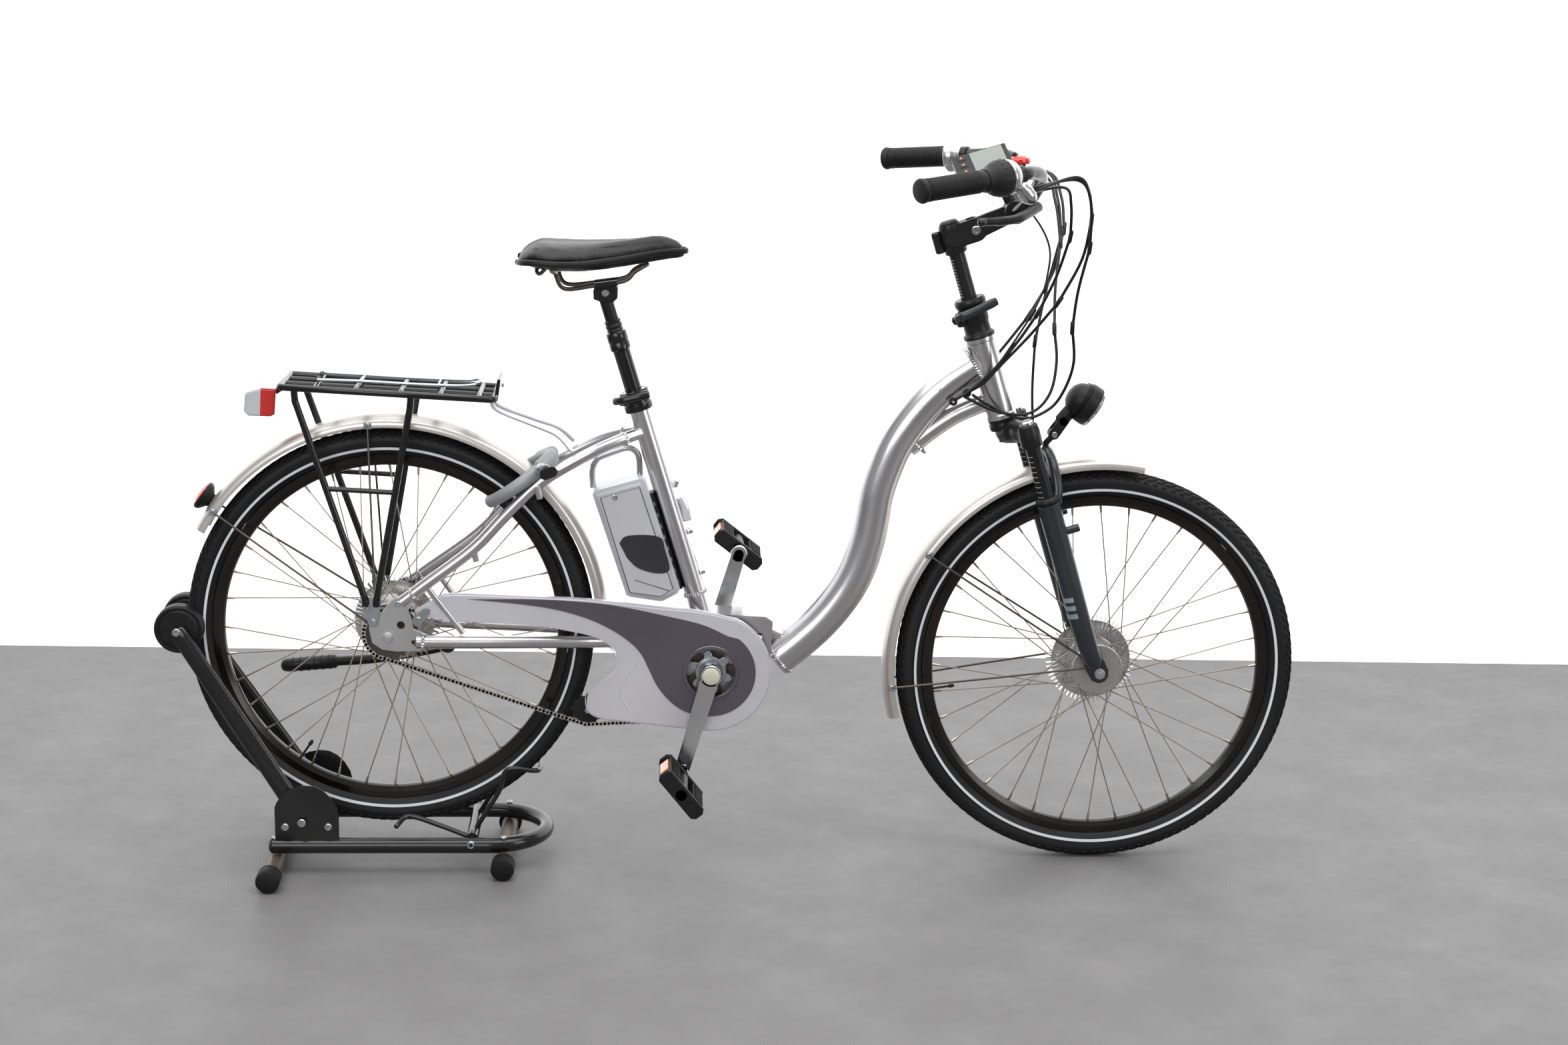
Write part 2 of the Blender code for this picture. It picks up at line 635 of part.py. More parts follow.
def pedal(name, side):
    """A pedal cage round its spindle, nose down by the angle that it rests at."""
    end = pedal_centre(side)
    inner = CRANK_Y + CRANK_T + GAP
    tilt = radians(-48 if side < 0 else -35)
    length, height, width = 0.092, 0.028, 0.092
    first, last = inner + 0.0146, inner + 0.0146 + width

    def turned_outline(points):
        return [(end.x + x * cos(tilt) - z * sin(tilt), end.z + x * sin(tilt) + z * cos(tilt))
                for x, z in points]

    half, tall, corner = length / 2, height / 2, 0.009
    outline = [(-half, -tall + corner), (-half + corner, -tall), (half - corner, -tall),
               (half, -tall + corner), (half, tall - corner), (half - corner, tall),
               (-half + corner, tall), (-half, tall - corner)]
    body = plate(turned_outline(outline), *sorted((side * first, side * last)))
    slots = []
    for x0, x1 in ((-0.034, -0.012), (0.012, 0.034)):
        window = turned_outline([(x0, -0.03), (x1, -0.03), (x1, 0.03), (x0, 0.03)])
        slots.append(plate(window, *sorted((side * (first + 0.012), side * (last - 0.012)))))
    stub = rod(at(end.x, end.z, side * inner), at(end.x, end.z, side * (first + 0.004)), 0.0065, 10)
    solid(name, fuse(cut(body, *slots), stub), PLASTIC, Vector((end.x, 0, end.z)))


# ------------------------------------------------------------------ saddle and battery
def seatposts():
    bore = POST_INNER_R + RUN
    sleeve = turned([(bore, 0), (POST_R, 0), (POST_R, 0.256), (0.0165, 0.260), (0.0165, 0.288),
                     (bore, 0.290)], seat(-0.190), 16, axis=SEAT_UP)
    solid("seatpost", sleeve, BLACK, seat(0))
    post = rod(seat(-0.060), seat(0.160), POST_INNER_R, 12)
    head = block((0.294, -0.0178, 0.549), (0.334, 0.0178, 0.579))
    solid("seatpost_top", fuse(post, head), BLACK, seat(0))


def saddle():
    stations = [(0.1715, 0.612, 0.040, 0.010), (0.182, 0.629, 0.070, 0.026), (0.205, 0.637, 0.088, 0.036),
                (0.240, 0.637, 0.092, 0.038), (0.275, 0.639, 0.082, 0.038), (0.310, 0.643, 0.062, 0.037),
                (0.345, 0.647, 0.042, 0.036), (0.385, 0.654, 0.026, 0.034), (0.415, 0.6565, 0.020, 0.030),
                (0.432, 0.651, 0.014, 0.024), (0.4395, 0.640, 0.006, 0.010)]
    bm = bmesh.new()
    rings = []
    sides = 14
    for x, top, half, depth in stations:
        ring = []
        for j in range(sides):
            angle = 2 * pi * j / sides
            y = half * sin(angle)
            rise = cos(angle)
            z = top - depth / 2 + depth / 2 * (rise if rise > 0 else max(rise, -1.0))
            ring.append(bm.verts.new((x, y, z)))
        rings.append(ring)
    bridge(bm, rings, False)
    bm.faces.new(rings[0])
    bm.faces.new(rings[-1])
    solid("saddle", finished(bm), LEATHER)
    half_path = [(0.236, 0.590, 0.042), (0.244, 0.573, 0.036), (0.258, 0.568, 0.030),
                 (0.292, 0.574, 0.0222), (0.342, 0.585, 0.0222), (0.358, 0.600, 0.0200),
                 (0.372, 0.6090, 0.0130), (0.3775, 0.6110, 0.0)]
    right = [Vector((x, -y, z)) for x, z, y in half_path]
    left = [Vector((x, y, z)) for x, z, y in half_path[:-1]]
    solid("saddle_rails", sweep(right + left[::-1], 0.0035, 6), BLACK)


def battery():
    outline = [(0.3750, 0.0790), (0.4290, 0.0735), (0.4600, 0.0920), (0.3910, 0.2740), (0.3800, 0.2710),
               (0.3100, 0.2470)]
    case = plate(outline, -0.040, 0.040)
    piece = solid("battery", case, COVER)
    bevel = piece.modifiers.new("soft_edges", "BEVEL")
    bevel.width = 0.007
    bevel.segments = 2
    handle = sweep([at(0.3107, 0.2560), at(0.3085, 0.276), at(0.3150, 0.294), at(0.3300, 0.303),
                    at(0.3600, 0.3150), at(0.3745, 0.3120), at(0.3815, 0.3000), at(0.3845, 0.2800)],
                   0.0052, 8)
    solid("battery_handle", handle, ALLOY)


# ------------------------------------------------------------------ carrier, lamps and lock
def carrier():
    half = RACK_W / 2
    low, high = RACK_Z - RACK_T / 2, RACK_Z + RACK_T / 2
    deck = block((RACK_REAR, -half, low), (RACK_FRONT, half, high))
    slots = []
    rim, bar = 0.016, 0.010
    columns, rows = 3, 3
    span_x = (RACK_FRONT - RACK_REAR - 2 * rim + bar) / columns
    span_y = (RACK_W - 2 * rim + bar) / rows
    for i in range(columns):
        for j in range(rows):
            x = RACK_REAR + rim + span_x * i
            y = -half + rim + span_y * j
            slots.append(block((x, y, low - 0.01), (x + span_x - bar, y + span_y - bar, high + 0.01)))
    deck = cut(deck, *slots)
    hook = plate([(RACK_FRONT - 0.008, low), (RACK_FRONT, low), (RACK_FRONT + 0.003, 0.420),
                  (RACK_FRONT - 0.003, 0.420)], -0.040, 0.040)
    parts = [hook]
    foot_y = REAR_OLD / 2 + DROPOUT_T + 0.0070
    leg_y = half - 0.006
    for side in (-1, 1):
        for top_x, foot_x in ((-0.160, -0.037), (0.021, -0.019)):
            parts.append(sweep([at(top_x, RACK_Z, side * leg_y),
                                at(top_x * 0.9 + foot_x * 0.1, 0.345, side * leg_y),
                                at(foot_x, 0.062, side * foot_y), at(foot_x, 0.052, side * foot_y)],
                               0.0058, 8))
        tab = [(-0.043, 0.066), (-0.041, 0.046), (-0.029, 0.018), (-0.017, 0.018), (-0.013, 0.046),
               (-0.012, 0.066)]
        faces = sorted((side * (REAR_OLD / 2 + DROPOUT_T + GAP), side * (foot_y - 0.002)))
        parts.append(plate(tab, *faces))
        parts.append(sweep(smooth([at(0.145, 0.388, side * 0.018), at(0.152, 0.369, side * 0.020),
                                   at(0.2110, 0.3490, side * 0.026), at(0.2500, 0.3360, side * 0.034),
                                   at(0.2750, 0.3140, side * 0.046)], 2), 0.0032, 6))
    solid("carrier", fuse(deck, *parts), BLACK)
    side = [at(-0.128, 0.4020, 0.036), at(-0.060, 0.4030, 0.031), at(0.020, 0.4030, 0.030),
            at(0.100, 0.4050, 0.029), at(0.122, 0.4090, 0.018)]
    bail = sweep([Vector((p.x, -p.y, p.z)) for p in side] + side[::-1], 0.0025, 6)
    solid("carrier_clip", bail, STEEL, at(-0.128, 0.4020))
    lamp = plate([(-0.240, 0.345), (-0.232, 0.339), (-0.192, 0.341), (-0.190, 0.3845), (-0.214, 0.3845),
                  (-0.236, 0.376)], -0.045, 0.045)
    solid("rear_lamp", lamp, LENS)


def guard_profile():
    half = GUARD_W / 2
    outer = [(GUARD_EDGE_R, half), (GUARD_EDGE_R + 0.009, half - 0.001), (GUARD_R - 0.003, half * 0.62),
             (GUARD_R, half * 0.25)]
    inner = [(r - GUARD_WALL, y - (GUARD_WALL if i < 2 else 0)) for i, (r, y) in enumerate(outer)]
    inner[0] = (GUARD_EDGE_R, half - GUARD_WALL)
    right = [(r, -y) for r, y in outer]
    right_inner = [(r, -y) for r, y in inner]
    return outer + right[::-1] + right_inner + inner[::-1]


def mudguards():
    first, last = radians(3), radians(154.5)
    solid("rear_mudguard", turned(guard_profile(), (0, 0, 0), 20, first, last - first), CHAMPAGNE)
    first, last = radians(82), radians(197.5)
    solid("front_mudguard", turned(guard_profile(), FRONT_AXLE, 16, first, last - first), CHAMPAGNE)


LOCK_TILT = radians(38.5)
LOCK_CENTRE = at(0.1928, 0.2563)
LOCK_R = 0.0640


def lock_arc(radius, first, last, steps):
    """Points on an arc in the ring lock's plane; 180 degrees points at the wheel's centre."""
    along = Vector((cos(LOCK_TILT), 0, sin(LOCK_TILT)))
    out = []
    for i in range(steps + 1):
        angle = radians(first + (last - first) * i / steps)
        out.append(LOCK_CENTRE + along * (radius * cos(angle)) + Vector((0, radius * sin(angle), 0)))
    return out


def ring_lock():
    body = sweep(lock_arc(LOCK_R, -148, 148, 18), 0.0095, 8)
    tunnel = sweep(lock_arc(LOCK_R, 52, 160, 14), 0.0048, 8)
    catch = sweep(lock_arc(LOCK_R, -160, -139, 4), 0.0048, 8)
    solid("ring_lock", cut(body, tunnel, catch), GREY_SHELL)
    shackle = sweep(lock_arc(LOCK_R, 62, 146, 12), 0.0038, 6)
    solid("lock_shackle", shackle, STEEL, LOCK_CENTRE)


def kickstand():
    pivot = at(0.085, -0.0480, 0.086)
    leg = sweep([pivot, at(0.060, -0.0580, 0.087), at(-0.032, -0.0810, 0.095), at(-0.098, -0.0930, 0.107),
                 at(-0.100, -0.0934, 0.1074), at(-0.190, -0.1090, 0.120)],
                [0.0085, 0.0080, 0.0080, 0.0080, 0.0115, 0.0115], 8)
    boss = rod(pivot + Vector((0, -0.010, 0)), pivot + Vector((0, 0.009, 0)), 0.0130, 12)
    solid("kickstand", fuse(leg, boss), BLACK, pivot)


# ------------------------------------------------------------------ fork and steering
LAMP_PIVOT = at(1.0431, 0.3797)


def fork():
    bore = rod(steer(-0.120, 0), steer(0.02, 0), 0.0112 + RUN, 12)
    steerer = rod(steer(-0.172, 0), steer(0.0, 0), STEERER_R, 12)
    race = rod(steer(-0.1535, 0), steer(-HEAD_LEN - GAP, 0), 0.0225, 16)
    parts = [race]
    crown = sweep([steer(-0.162, LEG_T, -LEG_Y), steer(-0.159, LEG_T * 0.6, -0.034), steer(-0.159, 0.004, 0),
                   steer(-0.159, LEG_T * 0.6, 0.034), steer(-0.162, LEG_T, LEG_Y)],
                  [0.0150, 0.0165, 0.0215, 0.0165, 0.0150], 10)
    parts.append(crown)
    for side in (-1, 1):
        parts.append(rod(steer(-0.400, LEG_T, side * LEG_Y), steer(-0.150, LEG_T, side * LEG_Y),
                         STANCHION_R, 12))
        parts.append(rod(steer(-0.182, LEG_T, side * LEG_Y), steer(-0.147, LEG_T, side * LEG_Y), 0.0175, 12))
    body = cut(fuse(steerer, *parts), bore)
    solid("fork_crown", body, BLACK, steer(0, 0))


def fork_lowers():
    parts = []
    bores = []
    axle_s, axle_t = -FORK_LEN, 0.0390
    tab = [steer(axle_s + ds, axle_t + dt) for ds, dt in (
        (0.052, -0.018), (0.052, -0.002), (0.016, 0.013), (0.002, 0.015), (-0.014, 0.008),
        (-0.016, -0.004), (-0.008, -0.016), (0.016, -0.022))]
    outline = [(p.x, p.z) for p in tab]
    for side in (-1, 1):
        y = side * LEG_Y
        parts.append(sweep([steer(-0.275, LEG_T, y), steer(-0.300, LEG_T, y), steer(-0.470, LEG_T, y),
                            steer(-0.552, LEG_T + 0.004, y)], [LEG_R, 0.0183, 0.0172, 0.0140], 12))
        inner = FRONT_OLD / 2
        parts.append(plate(outline, *sorted((side * inner, side * (inner + DROPOUT_T)))))
        bores.append(rod(steer(-0.455, LEG_T, y), steer(-0.260, LEG_T, y), STANCHION_R + RUN, 12))
        parts.append(rod(steer(-0.330, LEG_T + 0.010, y), steer(-0.330, LEG_T + 0.038, y), 0.0065, 8))
    arch = sweep(smooth([steer(-0.283, LEG_T + 0.010, -LEG_Y + 0.004), steer(-0.262, LEG_T + 0.021, -0.060),
                         steer(-0.222, LEG_T + 0.026, -0.040), steer(-0.2083, LEG_T + 0.0262, 0.0),
                         steer(-0.222, LEG_T + 0.026, 0.040), steer(-0.262, LEG_T + 0.021, 0.060),
                         steer(-0.283, LEG_T + 0.010, LEG_Y - 0.004)], 2), 0.0072, 8)
    parts.append(arch)
    parts.append(sweep([steer(-0.2083, LEG_T + 0.0262), at(1.0325, 0.3625), at(1.0395, 0.3725), at(1.0431, 0.3797)],
                       0.0050, 8))
    parts.append(rod(LAMP_PIVOT + Vector((0, -0.008, 0)), LAMP_PIVOT + Vector((0, 0.008, 0)), 0.0080, 10))
    axle = drill(FRONT_AXLE + Vector((0, -0.09, 0)), FRONT_AXLE + Vector((0, 0.09, 0)), AXLE_R + RUN, 12)
    solid("fork_lowers", cut(fuse(*parts), axle, *bores), FORK_GREY, steer(0, 0))


def headlight():
    """A round lamp on two cheeks that grip the bracket's eye."""
    centre = at(1.0896, 0.4363)
    aim = Vector((cos(radians(-12)), 0, sin(radians(-12))))
    bowl = turned([(0, -0.034), (0.014, -0.031), (0.025, -0.022), (0.0305, -0.008), (0.0335, 0.004),
                   (0.0335, 0.016), (0.0300, 0.021), (0, 0.024)], centre, 18, axis=aim)
    stalk = sweep([at(1.0500, 0.3960), at(1.0585, 0.4040), at(1.0760, 0.4230)], 0.0075, 8)
    cheeks = []
    for side in (-1, 1):
        outline = rounded(((LAMP_PIVOT.x, LAMP_PIVOT.z), (reach(1.0560), 0.4010)), (0.0085, 0.0085), 4)
        cheeks.append(plate(outline, *sorted((side * 0.0084, side * 0.0120))))
    yoke = rod(at(1.0575, 0.4030, -0.0120), at(1.0575, 0.4030, 0.0120), 0.0080, 8)
    solid("headlight", fuse(bowl, stalk, yoke, *cheeks), PLASTIC, LAMP_PIVOT)


def steering_column():
    bore = 0.0110 + RUN
    collar = turned([(bore, 0), (0.0225, 0), (0.0225, 0.005), (0.0185, 0.008), (0.0185, 0.024),
                     (0.0200, 0.028), (0.0200, 0.050), (0.0215, 0.053), (0.0215, 0.064), (bore, 0.064)],
                    steer(GAP, 0), 18, axis=STEER_UP)
    lug = sweep([steer(0.026, -0.0240, -0.0120), steer(0.048, -0.0240, -0.0120)], 0.0085, 8)
    solid("height_clamp", fuse(collar, lug), BLACK, steer(0, 0))
    root = steer(0.0420, -0.0260, -0.0260)
    lever = sweep([root, steer(0.0440, -0.0120, -0.0305), steer(0.0480, 0.0150, -0.0305),
                   steer(0.0521, 0.0400, -0.0290)], [0.0048, 0.0055, 0.0055, 0.0060], 8)
    solid("height_lever", lever, BLACK, root)


STEM_PIVOT = at(0.8890, 0.6990)
BAR_CLAMP = at(0.9503, 0.7309)


def stem():
    sleeve = rod(steer(0.1390, 0), steer(0.1870, 0), 0.0180, 14)
    cheeks = plate(rounded(((STEM_PIVOT.x, STEM_PIVOT.z), (0.8560, 0.6850)), (0.0190, 0.0180), 6),
                   -0.0190, 0.0190)
    lug = rod(steer(0.1450, -0.0240), steer(0.1800, -0.0240), 0.0080, 8)
    post = rod(steer(-0.100, 0), steer(0.1850, 0), 0.0110, 16)
    slot = plate(rounded(((STEM_PIVOT.x, STEM_PIVOT.z), (0.9300, 0.7200)), (0.0205, 0.0200), 6),
                 -0.0105, 0.0105)
    solid("bar_post", fuse(cut(fuse(sleeve, cheeks, lug), slot), post), BLACK, steer(0, 0))
    arm = plate(rounded(((STEM_PIVOT.x, STEM_PIVOT.z), (BAR_CLAMP.x, BAR_CLAMP.z)), (0.0170, 0.0140), 6),
                -0.0098, 0.0098)
    clamp = rod(BAR_CLAMP + Vector((0, -0.0210, 0)), BAR_CLAMP + Vector((0, 0.0210, 0)), 0.0185, 16)
    bore = rod(BAR_CLAMP + Vector((0, -0.03, 0)), BAR_CLAMP + Vector((0, 0.03, 0)), BAR_R + GAP, 14)
    solid("stem_arm", cut(fuse(arm, clamp), bore), BLACK, STEM_PIVOT)


GRIP_AIM = Vector((0.830, 0.540, 0.130)).normalized()       # right grip, from its end inwards


def along_grip(distance, side):
    point = BAR_END + GRIP_AIM * distance
    return Vector((point.x, -side * point.y, point.z))


def handlebar():
    half = [along_grip(0.004, -1), along_grip(0.10, -1), along_grip(0.19, -1),
            at(0.9440, 0.8060, -0.1760), at(0.9640, 0.8010, -0.1400), at(0.9690, 0.7830, -0.1050),
            at(0.9620, 0.7560, -0.0700), at(0.9530, 0.7360, -0.0400)]
    half = [Vector((p.x, -abs(p.y), p.z)) for p in half]
    left = [Vector((p.x, -p.y, p.z)) for p in half]
    middle = [BAR_CLAMP + Vector((0, -0.024, 0)), BAR_CLAMP, BAR_CLAMP + Vector((0, 0.024, 0))]
    path = half[:2] + smooth(half[2:], 2) + middle + smooth(left[2:][::-1], 2) + left[:2][::-1]
    solid("handlebar", sweep(path, BAR_R, 10), BLACK, STEM_PIVOT)


def sleeve_on_bar(name, side, profile, mat, capped=False):
    """A turned sleeve on one grip; profile gives (radius, distance from the grip's end)."""
    aim = Vector((GRIP_AIM.x, -side * GRIP_AIM.y, GRIP_AIM.z))
    bore = BAR_R + RUN
    first = 0.0 if capped else bore
    outline = [(first, profile[0][1]), *profile, (bore, profile[-1][1])]
    if capped:
        outline += [(bore, 0.0030), (0.0, 0.0030)]
    mesh = turned(outline, along_grip(0, side), 16, axis=aim)
    return solid(name, mesh, mat, STEM_PIVOT)


def grips_and_levers():
    grip = [(0.0175, 0), (0.0190, 0.004), (0.0170, 0.012), (GRIP_R, 0.030), (0.0180, 0.075),
            (GRIP_R, GRIP_LEN - 0.004), (GRIP_R, GRIP_LEN)]
    sleeve_on_bar("grip_right", -1, grip, GRIP_RUBBER, capped=True)
    sleeve_on_bar("grip_left", 1, grip, GRIP_RUBBER, capped=True)
    near = GRIP_LEN + GAP
    barrel = [(0.0180, near), (0.0245, near + 0.012), (0.0280, near + 0.030), (0.0280, near + 0.040)]
    piece = sleeve_on_bar("twist_shifter", -1, barrel, GRIP_RUBBER)
    piece.location = along_grip(near, -1)
    piece.data.transform(Matrix.Translation(STEM_PIVOT - along_grip(near, -1)))
    for name, side, start in (("right_lever_mount", -1, near + 0.040 + GAP), ("left_lever_mount", 1, near)):
        centre = along_grip(start, side)
        aim = Vector((GRIP_AIM.x, -side * GRIP_AIM.y, GRIP_AIM.z))
        bore = BAR_R + RUN
        drum = turned([(0, 0), (0.0270, 0), (0.0250, 0.014), (0.0150, 0.024), (0, 0.024)],
                      centre, 14, axis=aim)
        nose = sweep([along_grip(start + 0.011, side) + Vector((0.015, 0, -0.012)),
                      along_grip(start + 0.011, side) + Vector((0.028, -side * 0.006, -0.024)),
                      along_grip(start + 0.011, side) + Vector((0.040, -side * 0.010, -0.034))],
                     [0.0120, 0.0130, 0.0080], 8)
        hole = rod(along_grip(start - 0.02, side), along_grip(start + 0.05, side), bore, 14)
        solid(name, cut(fuse(drum, nose), hole), COVER, STEM_PIVOT)
    for name, side, start in (("right_brake_lever", -1, near + 0.040 + GAP), ("left_brake_lever", 1, near)):
        root = along_grip(start + 0.011, side) + Vector((0.050, -side * 0.012, -0.042))
        tip = at(0.862, 0.738, side * (BAR_HALF - (0.041 if side > 0 else 0.013)))
        middle = root.lerp(tip, 0.5) + Vector((0.008, side * 0.006, -0.006))
        path = smooth([root, middle, tip], 4)
        mesh = sweep(path, [0.0065, 0.0062, 0.0058, 0.0055, 0.0052, 0.0050, 0.0048, 0.0050, 0.0062], 8)
        solid(name, mesh, BLACK, root)


def display():
    tilt = Matrix.Rotation(radians(-34), 4, "Y")
    half_x, half_y, half_z = 0.036, 0.050, 0.009
    shape = block((-half_x, -half_y, -half_z), (half_x, half_y, half_z))
    shape.transform(Matrix.Translation(at(0.9050, 0.8130)) @ tilt)
    arm = sweep([at(0.9090, 0.8080), at(0.9220, 0.7840), at(0.9420, 0.7420)], 0.0075, 8)
    clear = rod(BAR_CLAMP + Vector((0, -0.03, 0)), BAR_CLAMP + Vector((0, 0.03, 0)), 0.0185 + GAP, 20)
    solid("display", cut(fuse(shape, arm), clear), PLASTIC, STEM_PIVOT)


# ------------------------------------------------------------------ cables
CABLES = {
    "gear_cable": [at(0.9860, 0.8100, -0.1900), at(1.0150, 0.8030, -0.1650), at(1.0430, 0.7800, -0.1300),
                        at(1.0560, 0.7350, -0.1000), at(1.0500, 0.6700, -0.0800), at(1.0220, 0.6000, -0.0650),
                        at(0.9850, 0.5450, -0.0520), at(0.9420, 0.4900, -0.0420),
                        at(0.9180, 0.4600, -0.0370)],
    "brake_cable": [at(0.9860, 0.8000, 0.1900), at(1.0180, 0.7850, 0.1600), at(1.0400, 0.7500, 0.1200),
                        at(1.0450, 0.7000, 0.0900), at(1.0300, 0.6300, 0.0700), at(0.9950, 0.5600, 0.0560),
                        at(0.9550, 0.5050, 0.0450), at(0.9200, 0.4600, 0.0380)],
}


def cables():
    for name, route in CABLES.items():
        curve = bpy.data.curves.new(name, "CURVE")
        curve.dimensions = "3D"
        curve.bevel_depth = 0.0025
        curve.bevel_resolution = 2
        curve.use_fill_caps = True
        points = smooth(route, 5)
        spline = curve.splines.new("POLY")
        spline.points.add(len(points) - 1)
        for i, point in enumerate(points):
            spline.points[i].co = (*point, 1.0)
        curve.materials.append(GRIP_RUBBER)
        piece = bpy.data.objects.new(name, curve)
        bpy.context.scene.collection.objects.link(piece)
        piece.parent = BIKE


# ------------------------------------------------------------------ floor stand
def foot_tube(name, x, half):
    """A cross tube that the side tubes stand on, with a rubber cap over each end."""
    cap = 0.033
    profile = [(0, -half), (CAP_R * 0.8, -half), (CAP_R, -half + 0.005), (CAP_R, -half + cap),
               (FOOT_TUBE_R, -half + cap), (FOOT_TUBE_R, half - cap), (CAP_R, half - cap),
               (CAP_R, half - 0.005), (CAP_R * 0.8, half), (0, half)]
    solid(name, turned(profile, (x, 0, CAP_R), 16, phase=pi / 2), BROWNED, parent=FLOOR)


def stand():
    rail = [Vector((STAND_REAR_X, -STAND_Y, STAND_Z))]
    steps = 10
    for i in range(steps + 1):
        angle = -pi / 2 + pi * i / steps
        rail.append(Vector((STAND_BEND_X + STAND_Y * cos(angle), STAND_Y * sin(angle), STAND_Z)))
    rail.append(Vector((STAND_REAR_X, STAND_Y, STAND_Z)))
    outline = [(-0.754, 0.048), (-0.652, 0.048), (-0.652, 0.098), (-0.664, 0.128), (-0.690, 0.148),
               (-0.722, 0.146), (-0.744, 0.130), (-0.754, 0.112)]
    plates = [plate(outline, *sorted((side * PLATE_Y, side * (PLATE_Y + PLATE_T)))) for side in (-1, 1)]
    body = fuse(sweep(rail, STAND_TUBE_R, 10), *plates)
    saddles = [rod((x, -0.2, CAP_R), (x, 0.2, CAP_R), FOOT_TUBE_R + GAP, 16)
               for x in (REAR_FOOT[0], FRONT_FOOT[0])]
    pins = [rod((p.x, -STAND_Y - 0.03, p.z), (p.x, STAND_Y + 0.03, p.z), r + RUN, 10) for p, r in ((ARM_PIVOT, 0.0050),
                                                                            (STOP_PIVOT, 0.0050))]
    solid("stand_base", cut(body, *saddles, *pins), BLACK, parent=FLOOR)
    foot_tube("stand_rear_foot", *REAR_FOOT)
    foot_tube("stand_front_foot", *FRONT_FOOT)


def stand_arms():
    """Two flattened tubes that carry the rollers, pinned to the side plates and tied low down."""
    parts = []
    tie = Vector((-0.7200, 0, 0.0690))
    for side in (-1, 1):
        foot = Vector((ARM_PIVOT.x, side * ARM_Y, ARM_PIVOT.z))
        top = Vector((ROLLER.x, side * ARM_TOP_Y, ROLLER.z))
        parts.append(sweep([foot, foot.lerp(top, 0.12), foot.lerp(top, 0.90), top],
                           [0.0075, 0.0080, 0.0075, 0.0070], 8, flat=1.9))
        parts.append(rod((ARM_PIVOT.x, side * ARM_Y, ARM_PIVOT.z),
                         (ARM_PIVOT.x, side * (PLATE_Y + PLATE_T + 0.004), ARM_PIVOT.z), 0.0050, 10))
        parts.append(rod((ARM_PIVOT.x - 0.001, side * (ARM_Y - 0.0040), ARM_PIVOT.z), (tie.x, side * (ARM_Y - 0.0100), tie.z), 0.0060, 8))
        parts.append(rod((ROLLER.x, side * (ROLLER_IN - 0.003), ROLLER.z),
                         (ROLLER.x, side * (ARM_TOP_Y + 0.010), ROLLER.z), 0.0040, 10))
    link = rod((tie.x, 0.0090 - ARM_Y, tie.z), (tie.x, ARM_Y - 0.0090, tie.z), 0.0050, 8)
    solid("stand_arms", fuse(link, *parts), BLACK, ARM_PIVOT, FLOOR)
    bore = 0.0040 + RUN
    width = ROLLER_OUT - ROLLER_IN
    profile = [(bore, -width / 2), (ROLLER_R - 0.004, -width / 2), (ROLLER_R, -width / 2 + 0.004),
               (ROLLER_R, width / 2 - 0.004), (ROLLER_R - 0.004, width / 2), (bore, width / 2)]
    for name, side in (("stand_roller_right", -1), ("stand_roller_left", 1)):
        centre = ROLLER + Vector((0, side * (ROLLER_IN + width / 2), 0))
        solid(name, turned(profile, centre, 24), PLASTIC, centre, FLOOR)


def wheel_cradle():
    """A rocking cross tube with a wire hoop before the wheel's foot and two wires behind it."""
    x, z = STOP_PIVOT.x, STOP_PIVOT.z
    half_tube = STAND_Y - 0.0145
    tube = rod((x, -half_tube, z), (x, half_tube, z), 0.0100, 10)
    pin = rod((x, -STAND_Y - 0.016, z), (x, STAND_Y + 0.016, z), 0.0050, 10)
    half = [Vector((x, 0.040, z)), Vector((-0.4300, 0.038, 0.070)), Vector((-0.4000, 0.037, 0.120)),
            Vector((-0.3860, 0.038, 0.157)), Vector((-0.3450, 0.036, 0.1550)),
            Vector((-0.3350, 0.022, 0.1525))]
    hoop = sweep([Vector((p.x, -p.y, p.z)) for p in half] + half[::-1], 0.0040, 8)
    parts = [pin, hoop]
    for side in (-1, 1):
        parts.append(sweep([(x, side * (STAND_Y - 0.020), z), (-0.5450, side * 0.045, 0.0800),
                            (-0.5650, side * 0.070, 0.0700)], 0.0040, 8))
    solid("wheel_cradle", fuse(tube, *parts), BLACK, STOP_PIVOT, FLOOR)


def build():
    main_frame()
    seat_clamp()
    motor_unit()
    chain_guard()
    chain()
    drive_train()
    crank("crank_right", -1)
    crank("crank_left", 1)
    pedal("pedal_right", -1)
    pedal("pedal_left", 1)
    wheels()
    seatposts()
    saddle()
    battery()
    carrier()
    mudguards()
    ring_lock()
    kickstand()
    fork()
    fork_lowers()
    headlight()
    steering_column()
    stem()
    handlebar()
    grips_and_levers()
    display()
    cables()
    stand()
    stand_arms()
    wheel_cradle()


build()
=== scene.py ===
# %% [markdown]
# # A low-step electric city bicycle in a floor stand
#
# The moving frame of this bicycle is already made: every tube, wheel and lever has a plain solid
# that carries its size, its weight and its joint.  This lesson gives each of them the surface that
# the real one has.  The plain solids could be kept and only painted, but their curves have few
# faces, so almost every piece is built again here, finer, in the same place.

# %% Load the frame
from math import asin, atan2, cos, hypot, pi, radians, sin

